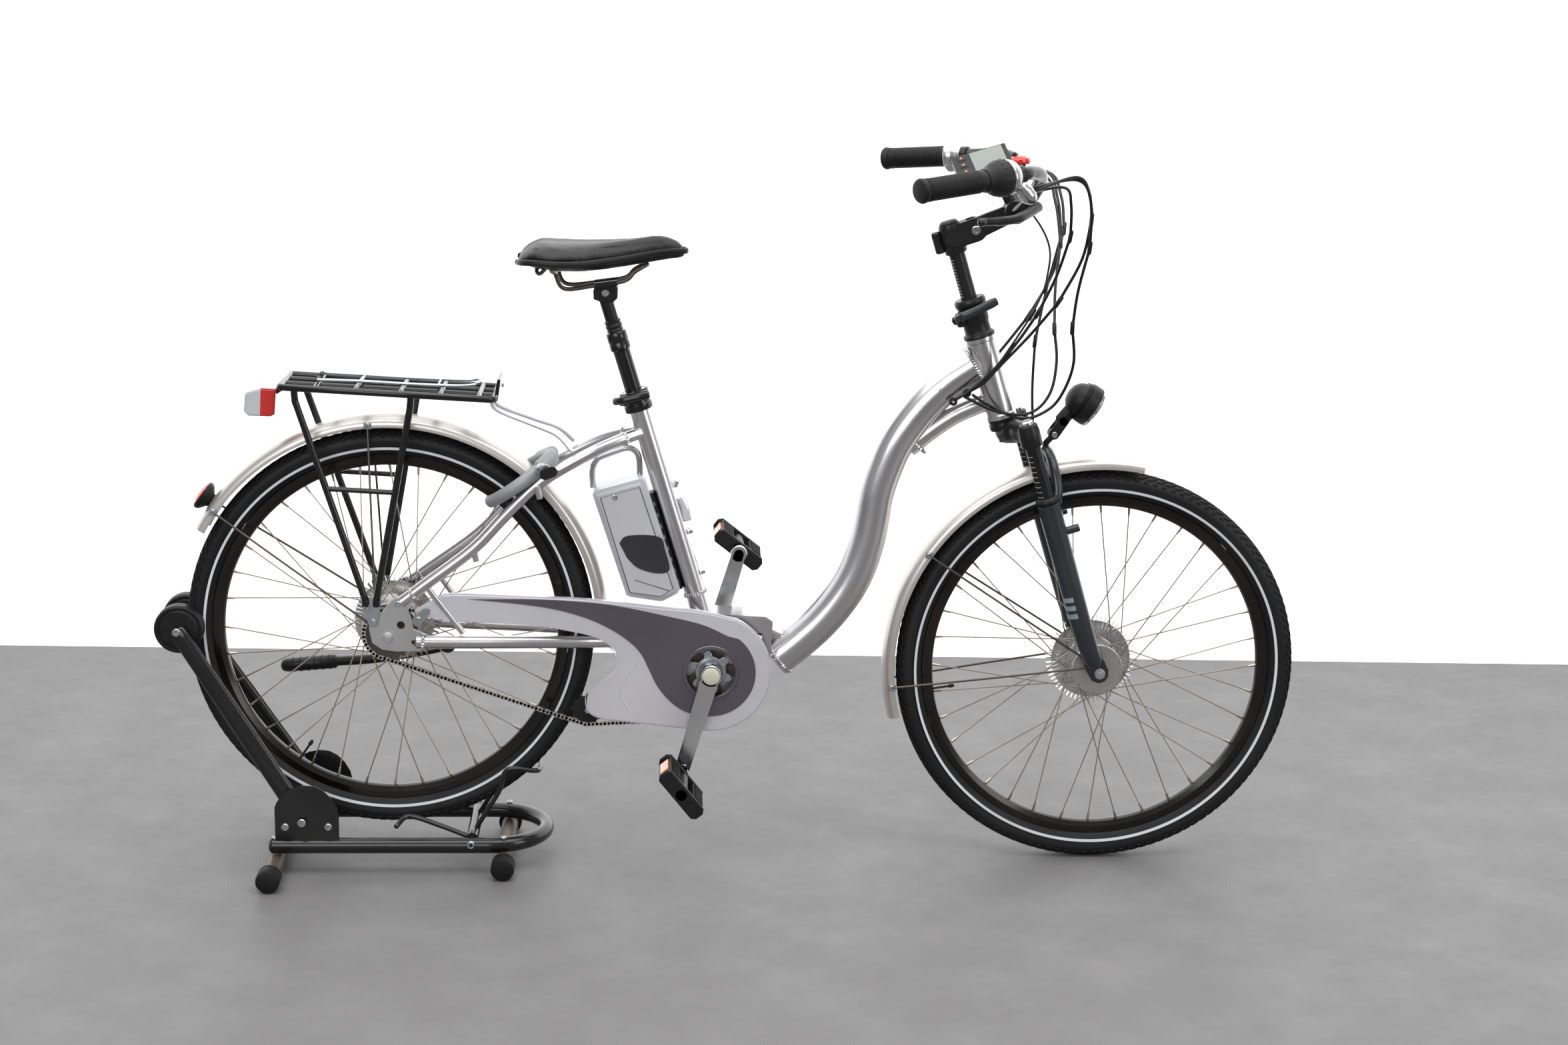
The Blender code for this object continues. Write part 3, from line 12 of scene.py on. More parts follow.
import bmesh
import bpy
from mathutils import Matrix, Vector
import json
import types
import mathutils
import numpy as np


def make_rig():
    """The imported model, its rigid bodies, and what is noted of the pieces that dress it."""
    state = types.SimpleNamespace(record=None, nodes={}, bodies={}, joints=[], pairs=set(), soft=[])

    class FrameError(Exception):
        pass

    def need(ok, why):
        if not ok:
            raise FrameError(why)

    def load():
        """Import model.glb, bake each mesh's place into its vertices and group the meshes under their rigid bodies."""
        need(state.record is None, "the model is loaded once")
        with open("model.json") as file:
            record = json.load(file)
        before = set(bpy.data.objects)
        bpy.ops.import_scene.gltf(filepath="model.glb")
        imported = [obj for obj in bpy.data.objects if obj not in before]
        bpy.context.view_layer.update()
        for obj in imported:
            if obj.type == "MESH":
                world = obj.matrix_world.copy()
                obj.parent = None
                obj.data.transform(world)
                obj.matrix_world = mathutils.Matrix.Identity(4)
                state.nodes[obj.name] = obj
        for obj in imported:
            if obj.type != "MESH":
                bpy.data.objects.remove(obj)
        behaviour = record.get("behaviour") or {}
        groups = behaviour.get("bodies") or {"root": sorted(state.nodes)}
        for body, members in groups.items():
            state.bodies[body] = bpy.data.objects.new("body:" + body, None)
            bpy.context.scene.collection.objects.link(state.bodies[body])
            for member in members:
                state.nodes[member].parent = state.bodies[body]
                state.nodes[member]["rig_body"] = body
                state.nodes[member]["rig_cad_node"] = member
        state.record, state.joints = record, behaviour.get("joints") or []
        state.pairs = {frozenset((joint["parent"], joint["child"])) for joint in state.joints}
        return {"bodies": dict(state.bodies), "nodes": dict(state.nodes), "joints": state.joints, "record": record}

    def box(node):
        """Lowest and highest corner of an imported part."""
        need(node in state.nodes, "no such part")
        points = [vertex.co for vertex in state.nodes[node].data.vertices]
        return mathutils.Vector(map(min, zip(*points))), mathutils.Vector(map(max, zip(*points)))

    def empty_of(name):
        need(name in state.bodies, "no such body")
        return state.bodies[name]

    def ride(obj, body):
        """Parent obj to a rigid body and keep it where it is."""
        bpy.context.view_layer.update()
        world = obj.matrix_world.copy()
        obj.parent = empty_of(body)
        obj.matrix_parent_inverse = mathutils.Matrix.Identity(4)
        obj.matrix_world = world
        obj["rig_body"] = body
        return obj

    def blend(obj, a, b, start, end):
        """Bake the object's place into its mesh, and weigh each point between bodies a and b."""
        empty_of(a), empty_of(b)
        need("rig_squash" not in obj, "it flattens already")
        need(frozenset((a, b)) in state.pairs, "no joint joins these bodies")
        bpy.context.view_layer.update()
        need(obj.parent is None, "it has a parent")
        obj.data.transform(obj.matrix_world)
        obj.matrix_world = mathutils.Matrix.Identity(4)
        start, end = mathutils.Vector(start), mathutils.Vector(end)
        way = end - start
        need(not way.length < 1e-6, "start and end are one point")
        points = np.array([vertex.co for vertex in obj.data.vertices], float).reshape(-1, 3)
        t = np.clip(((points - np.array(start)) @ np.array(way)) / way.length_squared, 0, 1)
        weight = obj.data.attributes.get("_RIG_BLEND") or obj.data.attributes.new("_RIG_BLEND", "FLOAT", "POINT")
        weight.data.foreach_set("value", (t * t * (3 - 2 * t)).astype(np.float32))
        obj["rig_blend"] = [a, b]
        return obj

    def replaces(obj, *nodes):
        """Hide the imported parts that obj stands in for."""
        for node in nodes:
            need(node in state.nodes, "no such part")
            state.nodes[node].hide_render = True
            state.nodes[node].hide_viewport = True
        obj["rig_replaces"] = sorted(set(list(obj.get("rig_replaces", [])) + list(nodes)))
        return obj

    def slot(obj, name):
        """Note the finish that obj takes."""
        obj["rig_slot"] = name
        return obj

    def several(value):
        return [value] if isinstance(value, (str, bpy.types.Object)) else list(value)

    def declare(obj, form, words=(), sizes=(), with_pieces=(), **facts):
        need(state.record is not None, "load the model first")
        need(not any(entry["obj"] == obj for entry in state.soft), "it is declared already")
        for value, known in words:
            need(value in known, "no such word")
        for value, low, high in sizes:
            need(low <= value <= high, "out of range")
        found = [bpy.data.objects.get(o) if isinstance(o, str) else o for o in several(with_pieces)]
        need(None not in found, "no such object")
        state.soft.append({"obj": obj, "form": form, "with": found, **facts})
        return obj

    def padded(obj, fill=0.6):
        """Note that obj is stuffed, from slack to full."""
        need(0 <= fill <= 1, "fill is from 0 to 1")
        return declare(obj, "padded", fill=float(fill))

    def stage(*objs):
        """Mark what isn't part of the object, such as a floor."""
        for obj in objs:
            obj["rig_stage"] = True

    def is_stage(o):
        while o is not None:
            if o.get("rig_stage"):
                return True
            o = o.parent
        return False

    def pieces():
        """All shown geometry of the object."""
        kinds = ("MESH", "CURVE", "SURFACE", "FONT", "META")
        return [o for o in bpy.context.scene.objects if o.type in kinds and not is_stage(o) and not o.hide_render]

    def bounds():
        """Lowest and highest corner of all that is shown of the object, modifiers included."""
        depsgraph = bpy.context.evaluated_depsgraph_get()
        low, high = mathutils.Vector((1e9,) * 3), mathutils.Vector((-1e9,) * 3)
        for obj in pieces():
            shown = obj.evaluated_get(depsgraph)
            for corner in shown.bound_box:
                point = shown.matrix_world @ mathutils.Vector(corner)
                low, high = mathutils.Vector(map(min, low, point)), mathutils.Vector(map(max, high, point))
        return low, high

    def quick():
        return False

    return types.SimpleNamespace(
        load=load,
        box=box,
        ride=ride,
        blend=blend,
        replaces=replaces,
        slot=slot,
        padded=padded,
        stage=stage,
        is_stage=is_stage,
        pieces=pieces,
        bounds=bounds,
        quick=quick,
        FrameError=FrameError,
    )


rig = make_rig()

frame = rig.load()
frame_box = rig.bounds()
print(f"{len(frame['nodes'])} nodes on {len(frame['bodies'])} bodies")

# %% [markdown]
# The bicycle leans nose down, because the stand lifts its back wheel.  Measuring on a leaning thing
# is awkward, so all its pieces are drawn in a frame of their own: the rear axle is the origin and the
# front axle lies straight ahead on X.  One matrix then carries a finished mesh to its place.


# %% The bicycle's own axes, found from its two rims
def middle(node):
    low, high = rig.box(node)
    return (low + high) / 2


REAR, FRONT = middle("rear_rim"), middle("front_rim")
WHEELBASE = (FRONT - REAR).length
NOSE_DOWN = asin((REAR.z - FRONT.z) / WHEELBASE)
BIKE = Matrix.Translation(REAR) @ Matrix.Rotation(NOSE_DOWN, 4, "Y")
FLOOR = Matrix.Translation(((REAR.x + FRONT.x) / 2, 0, 0))
print(f"wheelbase {WHEELBASE:.3f} m, nose down {NOSE_DOWN:.4f} rad")


def at(x, z, y=0.0):
    return Vector((x, y, z))


TILT = radians(20)
HEAD_TOP = at(0.911, 0.529)
SEAT_TOP = at(0.367, 0.4087)
STEER_UP = Vector((-sin(TILT), 0, cos(TILT)))
STEER_FWD = Vector((cos(TILT), 0, sin(TILT)))


def steer(up, ahead, y=0.0):
    """A point measured from the top of the head tube, along the steering axis and ahead of it."""
    return HEAD_TOP + STEER_UP * up + STEER_FWD * ahead + Vector((0, y, 0))


def seat(up, ahead=0.0, y=0.0):
    return SEAT_TOP + STEER_UP * up + STEER_FWD * ahead + Vector((0, y, 0))


# %% [markdown]
# ## The camera and the light
#
# The camera stands a little behind the middle, at head height, and looks down on the drive side.
# A long lens keeps the wheels round.  Soft light from a wide panel above and one beside the camera
# draws a long clean highlight along each tube, which is how polished metal is usually shown.

# %% Camera, lights and world
LENS = 60.265
CAMERA_AT = Vector((-0.1437, -4.1274, 1.4689)) + FLOOR.to_translation()
CAMERA_YAW, CAMERA_PITCH, CAMERA_ROLL = radians(2.811), radians(12.381), radians(-0.888)


def add_camera():
    ahead = Vector((sin(CAMERA_YAW) * cos(CAMERA_PITCH), cos(CAMERA_YAW) * cos(CAMERA_PITCH), -sin(CAMERA_PITCH)))
    level = Vector((cos(CAMERA_YAW), -sin(CAMERA_YAW), 0))
    up = level.cross(ahead)
    right = level * cos(CAMERA_ROLL) - up * sin(CAMERA_ROLL)
    top = up * cos(CAMERA_ROLL) + level * sin(CAMERA_ROLL)
    data = bpy.data.cameras.new("camera")
    data.lens = LENS
    camera = bpy.data.objects.new("camera", data)
    bpy.context.scene.collection.objects.link(camera)
    turn = Matrix((right, top, -ahead)).transposed().to_4x4()
    camera.matrix_world = Matrix.Translation(CAMERA_AT) @ turn
    bpy.context.scene.camera = camera


def add_light(name, place, aim, size, power, colour=(1, 1, 1)):
    data = bpy.data.lights.new(name, "AREA")
    data.shape = "RECTANGLE"
    data.size, data.size_y = size
    data.energy = power
    data.color = colour
    lamp = bpy.data.objects.new(name, data)
    bpy.context.scene.collection.objects.link(lamp)
    lamp.location = place
    lamp.rotation_euler = (Vector(aim) - Vector(place)).to_track_quat("-Z", "Y").to_euler()


add_camera()
add_light("ceiling_panel", (0.0, -0.6, 3.2), (0, 0, 0.3), (4.5, 2.6), 120)
add_light("front_panel", (-1.6, -4.6, 2.3), (0, 0, 0.5), (3.0, 2.0), 75)
add_light("side_panel", (3.6, -2.6, 1.8), (0.2, 0, 0.5), (1.6, 2.2), 40)

world = bpy.data.worlds.new("studio")
world.use_nodes = True
world.node_tree.nodes["Background"].inputs["Color"].default_value = (0.93, 0.95, 1.0, 1.0)
world.node_tree.nodes["Background"].inputs["Strength"].default_value = 0.36
bpy.context.scene.world = world
bpy.context.scene.view_settings.view_transform = "Standard"

# %% [markdown]
# ## Finishes
#
# No real surface is one flat colour.  Each finish here mixes a clean and a worn tone with a noise
# pattern, lets the same noise vary the gloss a little, and adds a fine bump.  The noise reads the
# piece's own coordinates, so it stays put when the piece moves.  One maker builds them all, and the
# numbers that differ are the size of the grain, its stretch and its depth.


# %% One maker for the mottled finishes
def finish(name, clean, worn, rough, metal=0.0, coat=0.0, grain=60.0, depth=0.05, stretch=(1, 1, 1),
           spread=0.08, sheen=0.0, cells=0.0, mirror=0.5):
    """clean and worn are linear colours; depth is the bump's strength; cells adds a pebbled bump."""
    mat = bpy.data.materials.new(name)
    mat.use_nodes = True
    nodes, links = mat.node_tree.nodes, mat.node_tree.links
    shader = nodes["Principled BSDF"]
    shader.inputs["Metallic"].default_value = metal
    shader.inputs["Specular IOR Level"].default_value = mirror
    shader.inputs["Coat Weight"].default_value = coat
    shader.inputs["Coat Roughness"].default_value = 0.12
    shader.inputs["Sheen Weight"].default_value = sheen
    place = nodes.new("ShaderNodeTexCoord")
    mapping = nodes.new("ShaderNodeMapping")
    mapping.inputs["Scale"].default_value = stretch
    links.new(place.outputs["Object"], mapping.inputs["Vector"])
    noise = nodes.new("ShaderNodeTexNoise")
    noise.inputs["Scale"].default_value = grain
    noise.inputs["Detail"].default_value = 5.0
    noise.inputs["Roughness"].default_value = 0.6
    links.new(mapping.outputs["Vector"], noise.inputs["Vector"])
    blotch = nodes.new("ShaderNodeTexNoise")
    blotch.inputs["Scale"].default_value = 7.0
    blotch.inputs["Detail"].default_value = 3.0
    links.new(place.outputs["Object"], blotch.inputs["Vector"])
    mix = nodes.new("ShaderNodeMix")
    mix.data_type = "RGBA"
    mix.inputs[6].default_value = (*clean, 1)
    mix.inputs[7].default_value = (*worn, 1)
    ramp = nodes.new("ShaderNodeMapRange")
    ramp.inputs["From Min"].default_value = 0.4
    ramp.inputs["From Max"].default_value = 0.72
    links.new(blotch.outputs["Fac"], ramp.inputs["Value"])
    links.new(ramp.outputs["Result"], mix.inputs[0])
    links.new(mix.outputs[2], shader.inputs["Base Color"])
    gloss = nodes.new("ShaderNodeMapRange")
    gloss.inputs["To Min"].default_value = max(0.02, rough - spread)
    gloss.inputs["To Max"].default_value = min(1.0, rough + spread)
    links.new(noise.outputs["Fac"], gloss.inputs["Value"])
    links.new(gloss.outputs["Result"], shader.inputs["Roughness"])
    bump = nodes.new("ShaderNodeBump")
    bump.inputs["Strength"].default_value = depth
    bump.inputs["Distance"].default_value = 0.001
    if cells:
        pebble = nodes.new("ShaderNodeTexVoronoi")
        pebble.inputs["Scale"].default_value = cells
        links.new(place.outputs["Object"], pebble.inputs["Vector"])
        links.new(pebble.outputs["Distance"], bump.inputs["Height"])
    else:
        links.new(noise.outputs["Fac"], bump.inputs["Height"])
    links.new(bump.outputs["Normal"], shader.inputs["Normal"])
    return mat


tube_silver = finish("clear_coated_silver", (0.66, 0.65, 0.65), (0.58, 0.57, 0.57), 0.26, 1.0, 0.35, grain=900,
    depth=0.002, spread=0.03)
guard_silver = finish("guard_silver", (0.7, 0.69, 0.73), (0.63, 0.62, 0.66), 0.34, 0.45, 0.3, grain=900, depth=0.02)
guard_dark = finish("guard_aubergine", (0.155, 0.135, 0.165), (0.13, 0.115, 0.14), 0.3, 0.7, 0.4, grain=900, depth=0.02)
battery_silver = finish("battery_silver", (0.6, 0.6, 0.63), (0.54, 0.54, 0.57), 0.4, 0.35, 0.1, grain=1100, depth=0.05)
label_dark = finish("label_dark", (0.022, 0.022, 0.03), (0.032, 0.032, 0.04), 0.25, 0.2, 0.5, grain=300, depth=0.01)
cast = finish("cast_alloy", (0.62, 0.62, 0.62), (0.5, 0.49, 0.47), 0.36, 1.0, grain=500, depth=0.02)
polished = finish("polished_alloy", (0.66, 0.67, 0.68), (0.5, 0.49, 0.48), 0.18, 1.0, grain=160, depth=0.03)
zinc = finish("zinc_plate", (0.5, 0.54, 0.58), (0.42, 0.42, 0.4), 0.28, 1.0, grain=260, depth=0.06)
spoke_steel = finish("dull_spoke_steel", (0.42, 0.39, 0.34), (0.27, 0.22, 0.17), 0.34, 1.0, grain=120, depth=0.05)
chain_metal = finish("oiled_chain", (0.66, 0.65, 0.62), (0.46, 0.42, 0.38), 0.36, 1.0, grain=200, depth=0.1)
dark_steel = finish("dark_steel", (0.09, 0.085, 0.08), (0.16, 0.13, 0.1), 0.42, 0.9, grain=200, depth=0.1)
champagne = finish("mudguard_champagne", (0.58, 0.555, 0.52), (0.51, 0.485, 0.45), 0.32, 0.65, 0.35, grain=600,
    depth=0.02)
gloss_black = finish("gloss_black", (0.006, 0.006, 0.006), (0.012, 0.011, 0.01), 0.2, 0.0, 0.2, grain=180, depth=0.03,
    mirror=0.4)
satin_black = finish("satin_black", (0.007, 0.007, 0.007), (0.014, 0.014, 0.014), 0.34, grain=300, depth=0.06,
    mirror=0.3)
rim_black = finish("rim_black", (0.006, 0.005, 0.004), (0.016, 0.011, 0.009), 0.2, 0.3, 0.2, grain=140, depth=0.02,
    mirror=0.4)
rubber = finish("tyre_rubber", (0.0075, 0.0075, 0.008), (0.015, 0.015, 0.015), 0.62, grain=500, depth=0.25, mirror=0.2)
side_rubber = finish("tyre_wall_rubber", (0.009, 0.009, 0.0095), (0.016, 0.016, 0.016), 0.52, grain=700, depth=0.15,
    mirror=0.25)
stripe_white = finish("reflective_stripe", (0.8, 0.82, 0.84), (0.7, 0.71, 0.72), 0.35, 0.2, grain=900, depth=0.1)
grip_black = finish("ribbed_grip_rubber", (0.007, 0.007, 0.007), (0.014, 0.014, 0.014), 0.5, grain=900, depth=0.2,
    mirror=0.25)
cable_black = finish("cable_sleeve", (0.005, 0.005, 0.005), (0.01, 0.01, 0.01), 0.34, coat=0.1, grain=400, depth=0.03,
    mirror=0.3)
moulded = finish("moulded_black", (0.008, 0.008, 0.0085), (0.014, 0.014, 0.0145), 0.42, grain=900, depth=0.1,
    mirror=0.25)
leather = finish("saddle_leather", (0.006, 0.006, 0.0065), (0.011, 0.011, 0.011), 0.4, depth=0.22, cells=650,
    mirror=0.3)
fork_grey = finish("fork_grey", (0.026, 0.028, 0.034), (0.036, 0.038, 0.044), 0.32, 0.3, 0.3, grain=500, depth=0.03,
    mirror=0.35)
fork_motif = finish("fork_motif", (0.22, 0.3, 0.34), (0.3, 0.36, 0.4), 0.4, 0.2, 0.2, grain=300, depth=0.02)
worn_brown = finish("worn_cross_tube", (0.05, 0.04, 0.032), (0.15, 0.115, 0.085), 0.46, 0.2, grain=90, depth=0.15)
lens_red = finish("lens_red", (0.55, 0.03, 0.025), (0.45, 0.02, 0.02), 0.1, 0.0, 0.6, grain=200, depth=0.02)
lens_clear = finish("lens_clear", (0.72, 0.74, 0.76), (0.62, 0.64, 0.66), 0.06, 0.35, 0.6, grain=90, depth=0.05)
amber = finish("amber_reflector", (0.85, 0.25, 0.02), (0.65, 0.16, 0.02), 0.15, 0.0, 0.5, grain=900, depth=0.2)
lock_grey = finish("lock_grey", (0.3, 0.31, 0.31), (0.24, 0.25, 0.25), 0.42, 0.1, grain=900, depth=0.1)
cream = finish("cream_cap", (0.62, 0.61, 0.5), (0.52, 0.5, 0.4), 0.38, 0.0, grain=300, depth=0.03)
brass = finish("plated_nipple", (0.5, 0.46, 0.38), (0.38, 0.34, 0.27), 0.3, 1.0, grain=300, depth=0.05)
screen = finish("display_glass", (0.2, 0.22, 0.2), (0.17, 0.19, 0.18), 0.12, 0.0, 0.6, grain=200, depth=0.01)
bell_red = finish("bell_red", (0.6, 0.015, 0.012), (0.45, 0.012, 0.01), 0.16, 0.0, 0.5, grain=200, depth=0.02)
floor_grey = finish("studio_floor", (0.155, 0.15, 0.15), (0.18, 0.175, 0.172), 0.5, grain=25, depth=0.02, spread=0.1,
    mirror=0.3)
wall_white = finish("studio_wall", (0.93, 0.94, 0.95), (0.95, 0.95, 0.95), 0.8, grain=20, depth=0.01)
wall_white.node_tree.nodes["Principled BSDF"].inputs["Emission Color"].default_value = (1, 1, 1, 1)
wall_white.node_tree.nodes["Principled BSDF"].inputs["Emission Strength"].default_value = 0.85


def clear_from_behind(mat):
    """Lets a view from the far side look through the backdrop at the bicycle."""
    nodes, links = mat.node_tree.nodes, mat.node_tree.links
    side = nodes.new("ShaderNodeNewGeometry")
    clear = nodes.new("ShaderNodeBsdfTransparent")
    mix = nodes.new("ShaderNodeMixShader")
    links.new(side.outputs["Backfacing"], mix.inputs[0])
    links.new(nodes["Principled BSDF"].outputs[0], mix.inputs[1])
    links.new(clear.outputs[0], mix.inputs[2])
    links.new(mix.outputs[0], nodes["Material Output"].inputs["Surface"])


clear_from_behind(wall_white)
print(f"{len(bpy.data.materials)} materials")

# %% [markdown]
# ## Tools for meshes
#
# Nearly everything on a bicycle is a tube along a path, a shape turned on a lathe, or a flat plate.
# Three makers cover these, and each returns a closed mesh.  A piece is then several such meshes in
# one object, set at the origin, with its place already in its vertices.


# %% Tube, lathe and plate
def closed_mesh(bm):
    bmesh.ops.remove_doubles(bm, verts=bm.verts, dist=1e-6)
    bmesh.ops.recalc_face_normals(bm, faces=bm.faces)
    mesh = bpy.data.meshes.new("part")
    bm.to_mesh(mesh)
    bm.free()
    return mesh


def skin(bm, rings, loop):
    for i in range(len(rings) if loop else len(rings) - 1):
        a, b = rings[i], rings[(i + 1) % len(rings)]
        for j in range(len(a)):
            k = (j + 1) % len(a)
            bm.faces.new((a[j], a[k], b[k], b[j]))


def curve(points, steps=6):
    """More points on a smooth curve through the given ones."""
    points = [Vector(p) for p in points]
    ends = [points[0] * 2 - points[1], *points, points[-1] * 2 - points[-2]]
    out = []
    for i in range(1, len(ends) - 2):
        a, b, c, d = ends[i - 1:i + 3]
        for k in range(steps):
            t = k / steps
            out.append(0.5 * (2 * b + (c - a) * t + (2 * a - 5 * b + 4 * c - d) * t ** 2
                              + (3 * b - a - 3 * c + d) * t ** 3))
    return [*out, points[-1]]


def tube(points, radius, sides=20, loop=False, flat=1.0, soft_end=False):
    """A round bar along points.  flat widens it in its own plane; soft_end rounds both ends."""
    points = [Vector(p) for p in points]
    radii = list(radius) if isinstance(radius, (list, tuple)) else [radius] * len(points)
    if soft_end:
        first, last = points[0], points[-1]
        back = (points[1] - first).normalized()
        front = (points[-2] - last).normalized()
        points = [first, first + back * radii[0] * 0.3, *points[1:-1], last + front * radii[-1] * 0.3, last]
        radii = [radii[0] * 0.72, radii[0], *radii[1:-1], radii[-1], radii[-1] * 0.72]
    bm = bmesh.new()
    rings, normal = [], None
    count = len(points)
    for i, point in enumerate(points):
        before = points[i - 1] if i or loop else point
        after = points[(i + 1) % count] if i < count - 1 or loop else point
        along = (after - before).normalized()
        if normal is None:
            normal = Vector((0, 1, 0)) if abs(along.y) < 0.9 else Vector((1, 0, 0))
        normal = (normal - along * normal.dot(along)).normalized()
        side = along.cross(normal)
        rings.append([bm.verts.new(point + normal * (cos(a) * radii[i]) + side * (sin(a) * radii[i] * flat))
                      for a in (2 * pi * (j + 0.5) / sides for j in range(sides))])
    skin(bm, rings, loop)
    if not loop:
        bm.faces.new(rings[0])
        bm.faces.new(rings[-1])
    return closed_mesh(bm)


def lathe(profile, centre=(0, 0, 0), axis=(0, 1, 0), steps=64, start=0.0, turn=2 * pi):
    """Turns a closed outline of (radius, along) pairs about an axis through centre."""
    axis = Vector(axis).normalized()
    spin = Matrix.Identity(3) if axis.y > 0.999 else axis.to_track_quat("Y", "Z").to_matrix()
    whole = turn > 2 * pi - 1e-6
    bm = bmesh.new()
    rings = []
    for i in range(steps if whole else steps + 1):
        a = start + turn * i / steps
        rings.append([bm.verts.new(spin @ Vector((r * cos(a), y, r * sin(a))) + Vector(centre)) for r, y in profile])
    skin(bm, rings, whole)
    if not whole:
        bm.faces.new(rings[0])
        bm.faces.new(rings[-1])
    bmesh.ops.remove_doubles(bm, verts=bm.verts, dist=1e-6)
    bmesh.ops.dissolve_degenerate(bm, edges=bm.edges, dist=1e-6)
    return closed_mesh(bm)


def plate(outline, y0, y1, edge=0.0, holes=()):
    """An (x, z) outline with a thickness, its rims bevelled by edge and its round holes cut out."""
    bm = bmesh.new()
    near = [bm.verts.new((x, y0, z)) for x, z in outline]
    far = [bm.verts.new((x, y1, z)) for x, z in outline]
    skin(bm, [near, far], False)
    bm.faces.new(near)
    bm.faces.new(far)
    bmesh.ops.recalc_face_normals(bm, faces=bm.faces)
    if edge:
        rims = [e for e in bm.edges if abs(e.verts[0].co.y - e.verts[1].co.y) < 1e-9]
        bmesh.ops.bevel(bm, geom=rims, offset=edge, segments=2, affect="EDGES", clamp_overlap=True)
    mesh = closed_mesh(bm)
    if not holes:
        return mesh
    return cut(mesh, [tube([at(x, z, min(y0, y1) - 0.01), at(x, z, max(y0, y1) + 0.01)], r, 32) for x, z, r in holes])


def box(low, high, edge=0.0):
    return plate([(low[0], low[2]), (high[0], low[2]), (high[0], high[2]), (low[0], high[2])],
                 low[1], high[1], edge)


def cut(mesh, tools):
    """The mesh less each of the tools."""
    group = bpy.data.collections.new("cutters")
    bpy.context.scene.collection.children.link(group)
    target = bpy.data.objects.new("target", mesh)
    bpy.context.scene.collection.objects.link(target)
    helpers = [bpy.data.objects.new("cutter", tool) for tool in tools]
    for helper in helpers:
        group.objects.link(helper)
    modifier = target.modifiers.new("cut", "BOOLEAN")
    modifier.operation, modifier.solver = "DIFFERENCE", "EXACT"
    modifier.operand_type, modifier.collection = "COLLECTION", group
    result = bpy.data.meshes.new_from_object(target.evaluated_get(bpy.context.evaluated_depsgraph_get()))
    for helper in [target, *helpers]:
        bpy.data.objects.remove(helper, do_unlink=True)
    bpy.data.collections.remove(group)
    return result


def capsule(a, b, ra, rb, steps=10):
    """Outline of two discs joined by their tangents, as for a crank arm."""
    along = atan2(b[1] - a[1], b[0] - a[0])
    lean = asin((ra - rb) / hypot(b[0] - a[0], b[1] - a[1]))
    out = []
    for (cx, cz), r, first, last in ((a, ra, along + pi / 2 - lean, along + 3 * pi / 2 + lean),
                                     (b, rb, along - pi / 2 + lean, along + pi / 2 - lean)):
        out += [(cx + r * cos(t), cz + r * sin(t)) for t in
                (first + (last - first) * i / steps for i in range(steps + 1))]
    return out


# %% Put a piece together
made = []


def piece(name, parts, mat, body, slot, stands_for=(), place=BIKE, bevel=0.0, angle=35, smooth=0):
    """Several meshes in one object: in its place, shaded smooth, and riding on its body."""
    bm = bmesh.new()
    for part in parts if isinstance(parts, (list, tuple)) else [parts]:
        bm.from_mesh(part)
    mesh = bpy.data.meshes.new(name)
    bm.to_mesh(mesh)
    bm.free()
    mesh.transform(place)
    mesh.materials.clear()
    mesh.materials.append(mat)
    mesh.polygons.foreach_set("material_index", [0] * len(mesh.polygons))
    mesh.shade_smooth()
    mesh.set_sharp_from_angle(angle=radians(angle))
    thing = bpy.data.objects.new(name, mesh)
    bpy.context.scene.collection.objects.link(thing)
    if bevel:
        rounding = thing.modifiers.new("rounding", "BEVEL")
        rounding.width, rounding.segments, rounding.angle_limit = bevel, 2, radians(angle)
    if smooth:
        finer = thing.modifiers.new("finer", "SUBSURF")
        finer.levels = finer.render_levels = smooth
    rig.ride(thing, body)
    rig.slot(thing, slot)
    if stands_for:
        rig.replaces(thing, *([stands_for] if isinstance(stands_for, str) else stands_for))
    made.append(thing)
    return thing


# %% [markdown]
# ## Copies on marks
#
# Spokes, tread blocks, chain links and screws are one small shape many times.  A Geometry Nodes tree
# sets a copy of an element on every marked point, turned as the mark says.  Marks are worked out by
# a formula in Python, and the tree does the copying, so the element is drawn only once.


